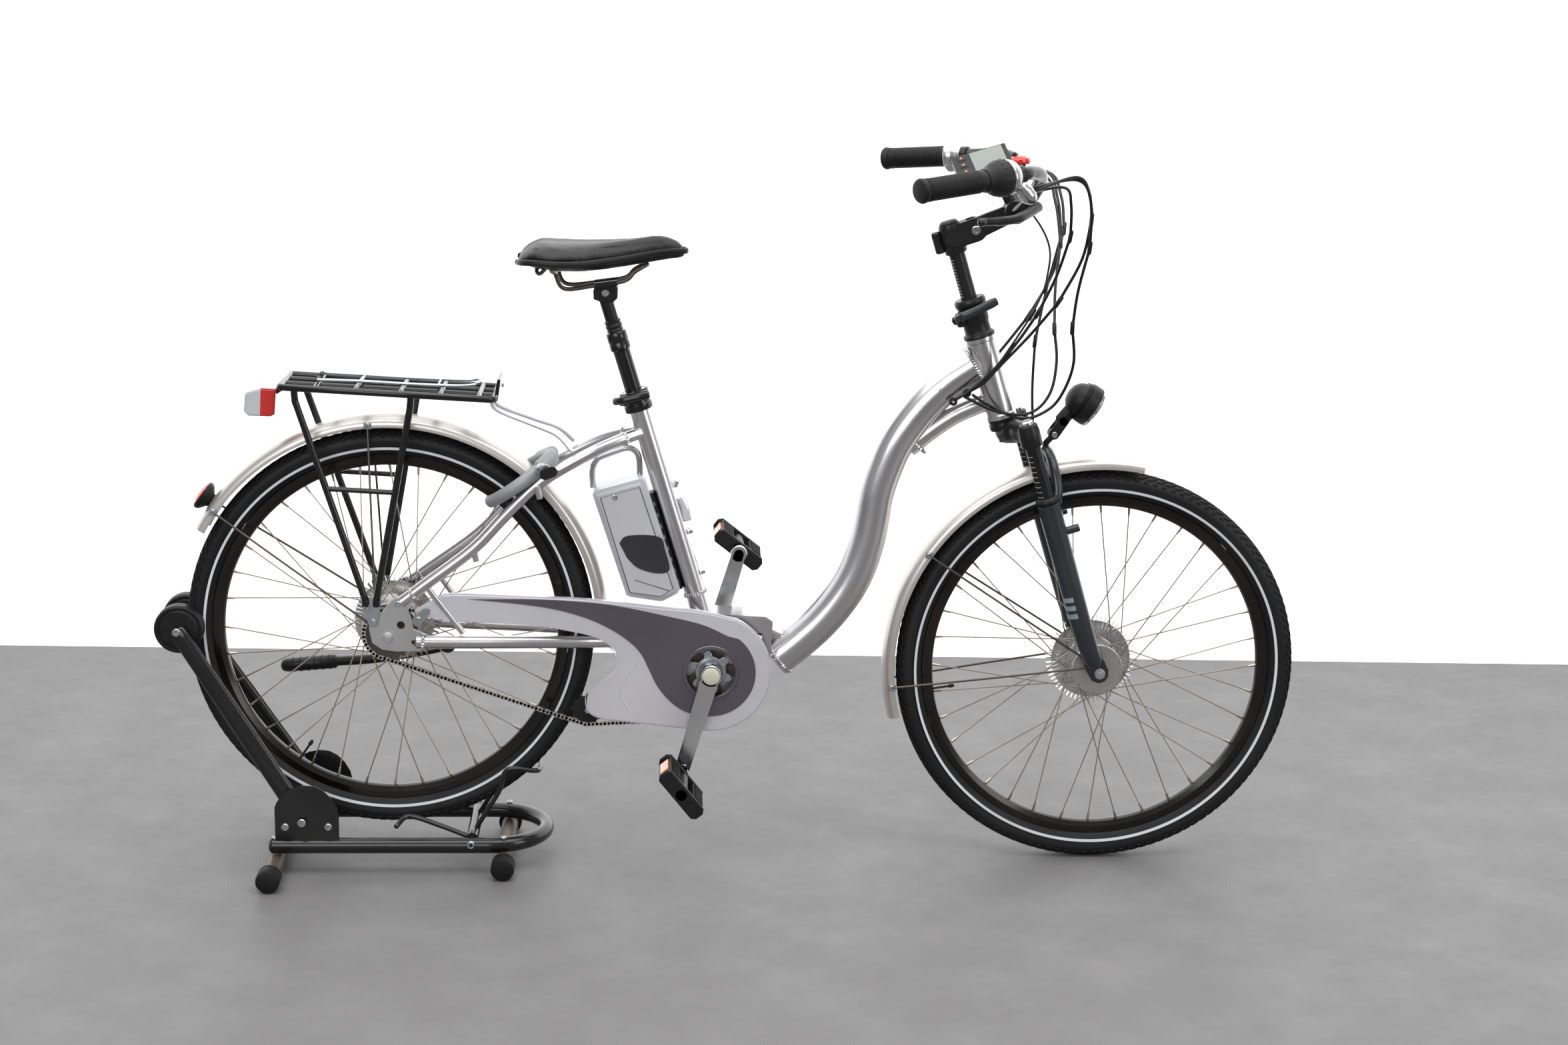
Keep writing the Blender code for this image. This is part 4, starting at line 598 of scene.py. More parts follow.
# %% The tree that copies an element
def copying_tree():
    tree = bpy.data.node_groups.new("copies_on_marks", "GeometryNodeTree")
    sockets = tree.interface
    sockets.new_socket("Marks", in_out="INPUT", socket_type="NodeSocketGeometry")
    element = sockets.new_socket("Element", in_out="INPUT", socket_type="NodeSocketObject")
    size = sockets.new_socket("Size", in_out="INPUT", socket_type="NodeSocketFloat")
    coat = sockets.new_socket("Finish", in_out="INPUT", socket_type="NodeSocketMaterial")
    sockets.new_socket("Copies", in_out="OUTPUT", socket_type="NodeSocketGeometry")
    node, link = tree.nodes.new, tree.links.new
    given, result = node("NodeGroupInput"), node("NodeGroupOutput")
    shape = node("GeometryNodeObjectInfo")
    turn = node("GeometryNodeInputNamedAttribute")
    turn.data_type = "FLOAT_VECTOR"
    turn.inputs["Name"].default_value = "turn"
    euler = node("FunctionNodeEulerToRotation")
    copy = node("GeometryNodeInstanceOnPoints")
    real, dress = node("GeometryNodeRealizeInstances"), node("GeometryNodeSetMaterial")
    link(given.outputs["Element"], shape.inputs["Object"])
    link(turn.outputs["Attribute"], euler.inputs["Euler"])
    link(given.outputs["Marks"], copy.inputs["Points"])
    link(shape.outputs["Geometry"], copy.inputs["Instance"])
    link(euler.outputs["Rotation"], copy.inputs["Rotation"])
    link(given.outputs["Size"], copy.inputs["Scale"])
    link(copy.outputs["Instances"], real.inputs["Geometry"])
    link(real.outputs["Geometry"], dress.inputs["Geometry"])
    link(given.outputs["Finish"], dress.inputs["Material"])
    link(dress.outputs["Geometry"], result.inputs["Copies"])
    return tree, element.identifier, size.identifier, coat.identifier


COPIES, ELEMENT, SIZE, COAT = copying_tree()


def copies(shape, marks, mat, size=1.0):
    """shape on each mark, where a mark is a place and three angles; returns one plain mesh."""
    points = bpy.data.meshes.new("marks")
    points.from_pydata([tuple(p) for p, _ in marks], [], [])
    turn = points.attributes.new("turn", "FLOAT_VECTOR", "POINT")
    turn.data.foreach_set("vector", [c for _, angles in marks for c in angles])
    base = bpy.data.objects.new("element", shape)
    host = bpy.data.objects.new("host", points)
    for thing in (base, host):
        bpy.context.scene.collection.objects.link(thing)
    modifier = host.modifiers.new("copies", "NODES")
    modifier.node_group = COPIES
    modifier[ELEMENT], modifier[SIZE], modifier[COAT] = base, size, mat
    bpy.context.view_layer.update()
    result = bpy.data.meshes.new_from_object(host.evaluated_get(bpy.context.evaluated_depsgraph_get()))
    for thing in (base, host):
        bpy.data.objects.remove(thing, do_unlink=True)
    return result


def round_marks(count, centre=(0, 0, 0), phase=0.0):
    """Marks that turn an element, drawn about the origin, round an axle along Y."""
    return [(Vector(centre), (0, phase - 2 * pi * i / count, 0)) for i in range(count)]


def turned_to(mesh, axis, centre):
    """Carries a mesh drawn about the Y axis onto another axis."""
    mesh.transform(Matrix.Translation(centre) @ Vector(axis).normalized().to_track_quat("Y", "Z").to_matrix().to_4x4())
    return mesh


def bolt(place, axis, radius=0.0045, height=0.004, sides=6):
    """A screw head with a hollow for its key."""
    r, h = radius, height
    profile = [(0, 0), (r, 0), (r, h * 0.75), (r * 0.85, h), (r * 0.5, h), (r * 0.42, h * 0.45), (0, h * 0.45)]
    return lathe(profile, place, axis, 24 if sides != 6 else 18)

# %% [markdown]
# ## Floor and backdrop
#
# A plain grey floor meets a white wall.  Both are stage pieces: they catch light and shadow but are
# no part of the bicycle.  Each is one large sheet, and that is all a plain studio needs.


# %% Floor and backdrop
def sheet(name, corners, mat):
    mesh = bpy.data.meshes.new(name)
    mesh.from_pydata(corners, [], [(0, 1, 2, 3)])
    mesh.materials.append(mat)
    thing = bpy.data.objects.new(name, mesh)
    bpy.context.scene.collection.objects.link(thing)
    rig.stage(thing)


sheet("floor", [(-14, -12, 0), (14, -12, 0), (14, 12, 0), (-14, 12, 0)], floor_grey)
sheet("wall", [(-14, 1.77, 0.0005), (14, 0.73, 0.0005), (14, 0.73, 6), (-14, 1.77, 6)], wall_white)

# %% [markdown]
# ## Tyres
#
# The tyre is one turned section: a bead at the rim, a bulging wall and a round crown.  The crown
# carries rows of small blocks, each drawn once and copied round the wheel, and a reflective stripe
# lies on each wall.  A bump pattern could fake the blocks, but they show on the outline.

# %% Tyres with their tread
TYRE_R = 0.326
TYRE_HALF = 0.0235
RIM_R = 0.2846
BLOCK_H = 0.0022
CROWN_R = TYRE_R - BLOCK_H


def tyre_section():
    """(radius, aside) from bead to bead, round the crown."""
    bead = RIM_R + 0.0004
    mid = (CROWN_R + bead) / 2 + 0.002
    out = [(bead, -0.0095), (bead + 0.0015, -0.0145)]
    for i in range(21):
        a = -pi / 2 + pi * i / 20
        bulge = (CROWN_R - mid) * max(cos(a), 0.0) ** 0.8
        out.append((mid + bulge, (TYRE_HALF - 0.0008) * sin(a)))
    return [*out, (bead + 0.0015, 0.0145), (bead, 0.0095)]


def tread_block(angle, long, wide, skew):
    """One block on the crown at this angle aside, leaning by skew, drawn at twelve o'clock on +X."""
    mid = (CROWN_R + RIM_R) / 2 + 0.002
    bulge = (CROWN_R - mid) * cos(angle) ** 0.8
    centre = Vector((mid + bulge, (TYRE_HALF - 0.0008) * sin(angle), 0))
    out = Vector((cos(angle), sin(angle) * 0.9, 0)).normalized()
    aside = Vector((-out.y, out.x, 0))
    bm = bmesh.new()
    rings = []
    for height, shrink in ((-0.0015, 1.0), (BLOCK_H * 0.75, 0.92), (BLOCK_H * 0.96, 0.78)):
        ring = []
        for u, v in ((-1, -1), (1, -1), (1, 1), (-1, 1)):
            along = v * long / 2 * shrink + u * skew
            ring.append(bm.verts.new(centre + out * height + aside * (u * wide / 2 * shrink) + Vector((0, 0, along))))
        rings.append(ring)
    skin(bm, rings, False)
    bm.faces.new(rings[0])
    bm.faces.new(rings[-1])
    return closed_mesh(bm)


TREAD_ROWS = [  # angle aside, length, width, skew, phase in half steps
    (0.0, 0.0105, 0.005, 0.0022, 0), (0.3, 0.009, 0.0058, 0.0018, 1), (-0.3, 0.009, 0.0058, -0.0018, 1),
    (0.66, 0.011, 0.0062, 0.0028, 0), (-0.66, 0.011, 0.0062, -0.0028, 0),
    (1.02, 0.0072, 0.0058, 0.0006, 1), (-1.02, 0.0072, 0.0058, -0.0006, 1),
]
TREAD_COUNT = 128


def stripe(side):
    """A band 4 mm wide, lying on the tyre's wall."""
    y = TYRE_HALF - 0.001
    return lathe([(0.2945, side * (y - 0.0016)), (0.2985, side * (y - 0.001)), (0.2985, side * (y + 0.0008)),
                  (0.2945, side * (y + 0.0002))], steps=160)


def tyre(end, centre):
    place = Matrix.Translation(centre)
    body = f"{end}_wheel"
    piece(f"{end}_tyre_skin", lathe(tyre_section(), steps=160), side_rubber, body, "tyre_rubber",
          f"{end}_tyre", place, angle=60)
    rows = [copies(tread_block(a, long, wide, skew), round_marks(TREAD_COUNT, phase=pi * half / TREAD_COUNT), rubber)
            for a, long, wide, skew, half in TREAD_ROWS]
    piece(f"{end}_tread", rows, rubber, body, "tyre_rubber", (), place)
    piece(f"{end}_wall_stripes", [stripe(-1), stripe(1)], stripe_white, body, "tyre_rubber", (), place, angle=80)


tyre("rear", REAR)
tyre("front", FRONT)
print("tread blocks on each tyre:", TREAD_COUNT * len(TREAD_ROWS))

# %% [markdown]
# ## Rims, spokes and hubs
#
# A spoke leaves its hub at a tangent and crosses others on its way to the rim, so that pedalling
# and braking pull on it lengthwise.  Four families of spokes, two leaning forwards and two back,
# make the whole pattern, and each family is one spoke copied round the axle.

# %% Rims, spokes and nipples
SPOKE_R = 0.001
SPOKE_SETS = 9


def rim_section():
    half = 0.0125
    return [(RIM_R, -half), (RIM_R + 0.0002, -half + 0.0016), (RIM_R - 0.006, -half + 0.003), (RIM_R - 0.0075, 0),
            (RIM_R - 0.006, half - 0.003), (RIM_R + 0.0002, half - 0.0016), (RIM_R, half), (RIM_R - 0.0095, half),
            (RIM_R - 0.0112, half - 0.0012), (RIM_R - 0.0165, half * 0.62), (0.2668, half * 0.36),
            (0.266, 0), (0.2668, -half * 0.36), (RIM_R - 0.0165, -half * 0.62), (RIM_R - 0.0112, -half + 0.0012),
            (RIM_R - 0.0095, -half)]


def spoke_set(flange_r, flange_y, lean, phase, lift):
    """Nine spokes of one family; lean is how far round the rim hole lies from the flange hole."""
    start = Vector((flange_r * cos(phase), flange_y + lift, flange_r * sin(phase)))
    end = Vector((0.2664 * cos(phase + lean), flange_y * 0.06, 0.2664 * sin(phase + lean)))
    neck = start.lerp(end, 0.03)
    spoke = tube([start, neck, end], SPOKE_R, 6)
    reach = (start - end).normalized()
    nipple = tube([end - reach * 0.0005, end + reach * 0.004, end + reach * 0.0125], [0.0022, 0.0022, 0.0016], 8)
    marks = round_marks(SPOKE_SETS)
    return copies(spoke, marks, spoke_steel), copies(nipple, marks, brass)


def lace(end, centre, flange_r, right_y, left_y):
    spokes, nipples = [], []
    step = 2 * pi / (SPOKE_SETS * 4)
    for side, y in enumerate((right_y, left_y)):
        for family, lean in enumerate((step * 6.2, -step * 6.2)):
            phase = step * (side + 2 * family) - (lean if family else lean)
            wires, tips = spoke_set(flange_r - 0.0035, y, lean, phase, 0.0016 * (1 if family else -1))
            spokes.append(wires)
            nipples.append(tips)
    place = Matrix.Translation(centre)
    piece(f"{end}_spokes", spokes, spoke_steel, f"{end}_wheel", "cast_alloy", (), place)
    piece(f"{end}_nipples", nipples, brass, f"{end}_wheel", "cast_alloy", (), place)
    piece(f"{end}_rim_band", lathe(rim_section(), steps=160), rim_black, f"{end}_wheel", "rim_black",
          f"{end}_rim", place, angle=28)


lace("rear", REAR, 0.046, -0.032, 0.032)
lace("front", FRONT, 0.041, -0.031, 0.026)


def valve(end, centre, towards):
    out = Vector(towards).normalized()
    stem = tube([out * 0.236, out * 0.2395, out * 0.24, out * 0.268], [0.0022, 0.0026, 0.0019, 0.0019], 12)
    cap = tube([out * 0.2325, out * 0.236, out * 0.2415], [0.0022, 0.0032, 0.0032], 12)
    piece(f"{end}_valve", [stem, cap], moulded, f"{end}_wheel", "black_plastic", (), Matrix.Translation(centre))


valve("front", FRONT, (-0.973, 0, -0.152))
valve("rear", REAR, (-0.55, 0, -0.8))


# %% Hubs and brake discs
def hub(end, centre, old, shell, flange_r, right_y, left_y, nut_y):
    """Shell, two spoke flanges with holes' rims, cones and axle, all turned."""
    half = old / 2 - 0.002
    parts = [lathe([(0.006, right_y), (flange_r, right_y - 0.002), (flange_r + 0.0008, right_y - 0.001),
        (flange_r + 0.0008, right_y + 0.001), (flange_r, right_y + 0.002), (shell + 0.003, right_y + 0.004),
        (shell, right_y + 0.01), (shell * 0.97, 0), (shell, left_y - 0.01), (shell + 0.003, left_y - 0.004),
        (flange_r, left_y - 0.002), (flange_r + 0.0008, left_y - 0.001), (flange_r + 0.0008, left_y + 0.001),
        (flange_r, left_y + 0.002), (0.006, left_y)], steps=64),
        lathe([(0.0055, -half), (0.014, -half), (0.0165, -half + 0.004), (0.0172, right_y), (0.0055, right_y)],
        steps=40), lathe([(0.0055, left_y), (0.0172, left_y), (0.015, half - 0.004), (0.012, half), (0.0055, half)],
        steps=40), tube([(0, -nut_y - 0.0075, 0), (0, nut_y + 0.0075, 0)], 0.0048, 20),]
    for side in (-1, 1):
        parts.append(tube([(0, side * nut_y, 0), (0, side * (nut_y + 0.0015), 0)], 0.0088, 32))
        parts.append(tube([(0, side * (nut_y + 0.0015), 0), (0, side * (nut_y + 0.0066), 0)], 0.0082, 6))
    piece(f"{end}_hub_shell", parts, cast, f"{end}_wheel", "cast_alloy", f"{end}_hub", Matrix.Translation(centre),
        0.0004)


hub("rear", REAR, 0.132, 0.038, 0.046, -0.032, 0.032, 0.0724)
hub("front", FRONT, 0.103, 0.021, 0.041, -0.031, 0.026, 0.0579)


def cooling_disc(end, centre, y0, y1, count):
    """A roller brake's cooling disc: a dished ring with many radial fins."""
    rim = 0.074
    dish = lathe([(0.02, y0), (0.046, y0), (0.056, y0 + 0.003), (0.0655, y0 + 0.004), (0.0655, y0 + 0.0058),
                  (0.055, y0 + 0.0052), (0.045, y1 - 0.002), (0.02, y1)], steps=72)
    fin = plate([(0.05, -0.0006), (rim, -0.0004), (rim, 0.0004), (0.05, 0.0006)], y0 + 0.0015, y1 - 0.0005)
    fins = copies(fin, round_marks(count), polished)
    hole_ring = copies(lathe([(0.0022, y0 - 0.0003), (0.0034, y0 - 0.0003), (0.0034, y0 + 0.001), (0.0022, y0 + 0.001)],
                             centre=(0.034, 0, 0), steps=14), round_marks(10), polished)
    piece(f"{end}_cooling_disc", [dish, fins, hole_ring], polished, f"{end}_wheel", "cast_alloy",
          f"{end}_brake_disc", Matrix.Translation(centre))


cooling_disc("rear", REAR, 0.042, 0.0555, 60)
cooling_disc("front", FRONT, 0.033, 0.0445, 60)

# %% [markdown]
# ## The welded frame
#
# The frame is bent and straight tubes that meet in visible weld beads.  A boolean could merge the
# tubes, but it would leave ragged seams, so they simply run into each other, as they did before they
# were welded, and a ring of small overlapping scales covers each joint.

# %% Tubes of the frame
MAIN_PATH = [(0.905, 0.482), (0.87, 0.455), (0.838, 0.422), (0.812, 0.386), (0.79, 0.347), (0.776, 0.308),
             (0.766, 0.268), (0.762, 0.228), (0.757, 0.19), (0.747, 0.148), (0.733, 0.112), (0.712, 0.076),
             (0.686, 0.042), (0.655, 0.01), (0.622, -0.02)]
BRACE_PATH = [(0.935, 0.425), (0.918, 0.419), (0.88, 0.399), (0.845, 0.372), (0.812, 0.342)]
SEAT_STAY = [(0.018, 0.058, 0.069), (0.06, 0.093, 0.066), (0.128, 0.15, 0.06), (0.175, 0.205, 0.056),
             (0.223, 0.257, 0.053), (0.268, 0.29, 0.05), (0.314, 0.317, 0.044), (0.35, 0.333, 0.03),
             (0.381, 0.343, 0.012)]
CHAIN_STAY = [(0.045, -0.005, 0.069), (0.12, -0.003, 0.062), (0.2, 0.0, 0.055), (0.3, 0.003, 0.043),
              (0.345, 0.006, 0.042), (0.422, 0.01, 0.042)]
HEAD_LEN = 0.135


def scales(centre, axis, radius, count, oval=1.0, across=(0, 1, 0)):
    """A weld bead: flattened drops in a ring about an axis, stretched by oval along the other way."""
    axis = Vector(axis).normalized()
    across = (Vector(across) - axis * Vector(across).dot(axis)).normalized()
    other = axis.cross(across)
    drop = bmesh.new()
    bmesh.ops.create_icosphere(drop, subdivisions=1, radius=0.0034)
    bmesh.ops.scale(drop, vec=(0.62, 1.0, 0.75), verts=drop.verts)
    marks = []
    for i in range(count):
        a = 2 * pi * i / count
        out = across * cos(a) + other * (sin(a) * oval)
        along = (other * cos(a) - across * sin(a)).normalized()
        turn = Matrix((along, axis, along.cross(axis))).transposed().to_euler()
        marks.append((Vector(centre) + out * radius, tuple(turn)))
    return copies(closed_mesh(drop), marks, tube_silver)


def frame_tubes():
    parts = [tube(curve([at(x, z) for x, z in MAIN_PATH], 6), 0.03, 48),
             tube(curve([at(x, z) for x, z in BRACE_PATH], 6), 0.015, 32),
             tube([seat(0.0005), seat(-0.382)], 0.017, 40),
             tube([at(0.576, 0.0385), at(0.64, 0.014)], 0.0125, 24),
             tube([seat(-0.168, 0.0175, 0), seat(-0.16, 0.024, 0)], 0.0045, 16)]
    bore, wall = 0.017, 0.0235
    parts.append(lathe([(bore, -HEAD_LEN), (wall + 0.0015, -HEAD_LEN), (wall + 0.0015, -HEAD_LEN + 0.006),
                        (wall, -HEAD_LEN + 0.008), (wall, -0.008), (wall + 0.0015, -0.006), (wall + 0.0015, 0),
                        (bore, 0)], HEAD_TOP, STEER_UP, 56))
    for side in (-1, 1):
        parts.append(tube(curve([(x, side * y, z) for x, z, y in SEAT_STAY], 4), 0.0095, 28))
        parts.append(tube(curve([(x, side * y, z) for x, z, y in CHAIN_STAY], 4), 0.0105, 28))
        parts.append(tube(curve([(0.055, side * 0.067, 0.09), (0.085, side * 0.064, 0.052),
            (0.118, side * 0.062, 0.012)], 4), 0.005, 16))
        for x, z in ((0.128, 0.15), (0.223, 0.257)):
            stub = at(x, z, side * 0.06)
            parts.append(tube([stub, stub + Vector((0.006, 0, -0.02))], [0.0055, 0.0048], 16))
    bracket = [(0.415, 0.03), (0.612, 0.03), (0.612, 0.05), (0.6, 0.0575), (0.47, 0.0575), (0.415, 0.048)]
    parts.append(plate(bracket, -0.033, 0.033, 0.003))
    parts.append(box((0.596, -0.032, -0.062), (0.612, 0.032, 0.042), 0.003))
    parts.append(box((0.415, -0.05, -0.03), (0.426, 0.05, 0.042), 0.002))
    piece("frame_tubes", parts, tube_silver, "frame", "brushed_frame", "frame")


def frame_welds():
    beads = [scales(steer(-0.043, -0.02), (0.82, 0, 0.57), 0.0305, 44, 1.05),
             scales(steer(-0.106, -0.02), (0.93, 0, 0.36), 0.016, 26, 1.1),
             scales((0.6265, 0, -0.0155), (0.74, 0, 0.67), 0.0305, 40, 1.0),
             scales(seat(-0.345), STEER_UP, 0.0178, 28, 1.0),
             scales((0.629, 0, 0.018), (0.93, 0, -0.35), 0.013, 20, 1.0),
             scales(BRACE_END, (0.62, 0, 0.78), 0.016, 26, 1.35)]
    for side in (-1, 1):
        beads.append(scales((0.357, side * 0.0265, 0.3345), (0.86, -side * 0.5, 0.2), 0.01, 18))
        beads.append(scales((0.418, side * 0.042, 0.0095), (1, 0, 0.05), 0.011, 20))
        beads.append(scales((0.037, side * 0.0675, 0.072), (0.8, 0, 0.6), 0.01, 18))
        beads.append(scales((0.056, side * 0.0685, -0.005), (1, 0, 0), 0.011, 18))
    piece("weld_beads", beads, tube_silver, "frame", "brushed_frame")


BRACE_END = at(0.822, 0.3505)
frame_tubes()
frame_welds()

# %% [markdown]
# The rear dropouts are machined plates with windows in them.  The carrier bolts to the one hole and
# the chain guard to the other, so their screws sit on top.

# %% Dropouts, cable grommets and bosses
DROPOUT = [(-0.03, 0.012), (-0.024, -0.01), (-0.008, -0.02), (0.015, -0.022), (0.06, -0.018), (0.064, -0.004),
           (0.062, 0.008), (0.04, 0.016), (0.034, 0.036), (0.03, 0.05), (0.028, 0.064), (0.018, 0.07),
           (0.004, 0.062), (-0.012, 0.04), (-0.03, 0.03)]


def dropouts():
    plates, screws = [], []
    for side in (-1, 1):
        y0, y1 = sorted((side * 0.066, side * 0.072))
        plates.append(plate(DROPOUT, y0, y1, 0.0012, holes=[(0, 0, 0.0062), (0.02, 0.022, 0.0065),
            (0.042, -0.006, 0.005)]))
        plates.append(lathe([(0.0062, side * 0.0722), (0.0135, side * 0.0722), (0.014, side * 0.0712),
            (0.0062, side * 0.0712)], steps=32))
        for x, z in ((-0.0335, 0.049), (-0.0226, 0.0245), (0.014, 0.058)):
            screws.append(bolt((x, side * 0.0765, z), (0, side, 0), 0.0048, 0.004))
        screws.append(bolt((0.056, side * 0.0715, 0.006), (0, side, 0), 0.0042, 0.0035))
    piece("dropout_plates", plates, cast, "frame", "brushed_frame")
    piece("dropout_screws", screws, zinc, "frame", "zinc_steel")
    grommets = []
    for x, z, lean in ((0.895, 0.4417, 0.6), (0.874, 0.4268, 0.8)):
        grommets.append(turned_to(lathe([(0.0022, 0), (0.0062, 0), (0.007, 0.0012), (0.0062, 0.0028), (0.003, 0.0034),
                                         (0.0022, 0.002)], steps=28), (0, -1, 0), at(x, z, -0.0292)))
    piece("cable_grommets", grommets, moulded, "frame", "black_plastic")
    dots = [bolt(at(x, z, -0.0287), (0.05, -1, 0.05), 0.0028, 0.0012) for x, z in
            ((0.853, 0.444), (0.826, 0.409), (0.801, 0.372), (0.786, 0.33))]
    bosses = [bolt(seat(s, 0.0175), STEER_FWD, 0.0046, 0.0075) for s in (-0.245, -0.315)]
    piece("rivets_and_bosses", [*dots, *bosses], zinc, "frame", "zinc_steel")
    socket = tube(curve([seat(-0.185, 0.02, 0.004), seat(-0.205, 0.024, 0.004), seat(-0.228, 0.022, 0.004)], 4),
                  0.008, 16, soft_end=True)
    piece("cable_socket", socket, lens_clear, "frame", "silver_cover")


dropouts()

# %% [markdown]
# ## Motor, chain guard and cranks
#
# The guard is a thin moulding that wraps a dark comma round the crank.  Its shell has a broad
# rounded edge; the comma is a second skin laid just proud of it, and a bright ring lines the hole.

# %% Guard with its dark comma
BB = Vector((0.516, 0.0, -0.031))
NOSE_R = 0.0975
GUARD_FACE = -0.067


def about(centre, radius, first, last, steps):
    """Points on an arc, in degrees, seen from the drive side."""
    return [(centre.x + radius * cos(radians(first + (last - first) * i / steps)),
             centre.z + radius * sin(radians(first + (last - first) * i / steps))) for i in range(steps + 1)]


def flat_curve(points, steps=5):
    return [(p.x, p.z) for p in curve([at(x, z) for x, z in points], steps)]


def guard_outline():
    nose = about(BB, NOSE_R, 68, -92, 28)
    low = flat_curve([(0.505, -0.1285), (0.396, -0.1215), (0.348, -0.1185), (0.325, -0.109), (0.3175, -0.091),
                      (0.3205, -0.0715), (0.337, -0.0546), (0.358, -0.0373), (0.3645, -0.018), (0.353, 0.0004),
                      (0.3275, 0.015), (0.281, 0.0235), (0.2276, 0.0286), (0.0947, 0.0298), (0.0569, 0.0341),
                      (0.0398, 0.044)], 4)[1:]
    high = flat_curve([(0.0398, 0.044), (0.056, 0.0558), (0.0764, 0.0678), (0.101, 0.0765), (0.225, 0.0785),
                       (0.318, 0.079), (0.425, 0.0726), (0.493, 0.07), (0.5525, 0.0594)], 4)[1:-1]
    return nose + low + high


def comma_outline():
    top = flat_curve([(0.1225, 0.0692), (0.23, 0.0752), (0.3, 0.0752), (0.363, 0.0712), (0.4445, 0.0585),
                      (0.4987, 0.048), (0.54, 0.0315)], 5)
    nose = about(BB, 0.072, 55, -95, 26)
    low = flat_curve([(0.503, -0.1025), (0.478, -0.097), (0.454, -0.082), (0.432, -0.058), (0.417, -0.031),
                      (0.403, -0.006), (0.383, 0.0136), (0.35, 0.0335), (0.311, 0.049), (0.26, 0.0605),
                      (0.2, 0.066), (0.1225, 0.0692)], 5)[1:-1]
    return top + nose + low


def chain_guard():
    rim = 0.04
    outline = guard_outline()[::-1]
    shell = plate(outline, GUARD_FACE, -0.0535, 0.003)
    back = [tube([at(BB.x, BB.z, GUARD_FACE - 0.01), at(BB.x, BB.z, -0.04)], rim, 64)]
    inner = [tuple(Vector(p)) for p in outline]
    shell = cut(shell, back)
    hollow = plate([(x + (0.37 - x) * 0.02, z + (0.0 - z) * 0.045) for x, z in inner], GUARD_FACE + 0.0022, -0.04)
    shell = cut(shell, [hollow])
    piece("guard_shell", shell, guard_silver, "frame", "silver_cover", "chain_guard")
    comma = plate(comma_outline()[::-1], GUARD_FACE - 0.0012, GUARD_FACE + 0.001, 0.0008)
    comma = cut(comma, [tube([at(BB.x, BB.z, -0.09), at(BB.x, BB.z, -0.04)], 0.0455, 64)])
    piece("guard_comma", comma, guard_dark, "frame", "silver_cover")
    ring = lathe([(0.0392, GUARD_FACE + 0.004), (0.0392, GUARD_FACE - 0.0016), (0.0405, GUARD_FACE - 0.0024),
        (0.0445, GUARD_FACE - 0.002), (0.0458, GUARD_FACE - 0.0006), (0.0458, GUARD_FACE + 0.001)], BB, steps=80)
    piece("guard_hole_ring", ring, guard_dark, "frame", "silver_cover")
    ledge = tube([at(x, z, GUARD_FACE + 0.0004) for x,
        z in flat_curve([(0.392, -0.105), (0.372, -0.07), (0.384, -0.04), (0.3985, -0.015)], 6)], 0.0012, 8,
        soft_end=True)
    tab = [plate(capsule((0.046, 0.03), (0.0585, 0.046), 0.0085, 0.006), -0.0716, -0.0682, 0.0006),
           bolt((0.0475, -0.0716, 0.032), (0, -1, 0), 0.005, 0.0032)]
    piece("guard_ledge", ledge, guard_silver, "frame", "silver_cover")
    piece("guard_tab", tab, zinc, "frame", "zinc_steel")


chain_guard()


# %% Motor cover with its ribs
def motor():
    outline = [(0.434, 0.0285), (0.566, 0.0285), (0.59, 0.012), (0.59, -0.075), (0.574, -0.104), (0.54, -0.118),
               (0.47, -0.118), (0.444, -0.1), (0.434, -0.07)]
    body = plate(outline, -0.04, 0.05, 0.006)
    ribs = [box((0.446 + 0.018 * i, 0.0495, -0.098 + 0.004 * (i == 0)), (0.45 + 0.018 * i, 0.053, 0.018), 0.0006)
            for i in range(8) if not 2 < i < 6]
    boss = lathe([(0.0108, 0.049), (0.036, 0.049), (0.034, 0.056), (0.03, 0.06), (0.018, 0.0615), (0.0108, 0.0615)],
                 BB, steps=56)
    screws = [bolt((x, 0.05, z), (0, 1, 0), 0.004, 0.0035) for x, z in
              ((0.444, 0.02), (0.58, 0.006), (0.58, -0.086), (0.45, -0.092), (0.54, -0.11))]
    piece("motor_case", [body, *ribs, boss], cast, "frame", "cast_alloy", "motor_unit", bevel=0.0006)
    piece("motor_screws", screws, zinc, "frame", "zinc_steel")


motor()

# %% [markdown]
# ## Chain and toothed wheels
#
# The chain's path is the outline round three circles.  Walking along it in steps of one pitch gives
# a mark for each link, and a wheel's teeth are cut by a formula from their number.

# %% Chain links and teeth
PITCH = 0.0127
CHAIN_Y = -0.047


def toothed(teeth, bore, half=0.0011, tip=0.0026):
    radius = PITCH / (2 * sin(pi / teeth))
    bm = bmesh.new()
    rings = [[], [], [], []]
    for i in range(teeth * 6):
        a = 2 * pi * i / (teeth * 6)
        wave = cos(a * teeth)
        reach = radius + tip * max(wave, -0.75) + (tip * 0.35 if wave > 0.9 else 0)
        for ring, r, y in zip(rings, (bore, reach, reach, bore), (-half, -half * 0.6, half * 0.6, half)):
            ring.append(bm.verts.new((r * cos(a), CHAIN_Y + y, r * sin(a))))
    skin(bm, rings, True)
    return closed_mesh(bm)


def pitch_radius(teeth):
    return PITCH / (2 * sin(pi / teeth))


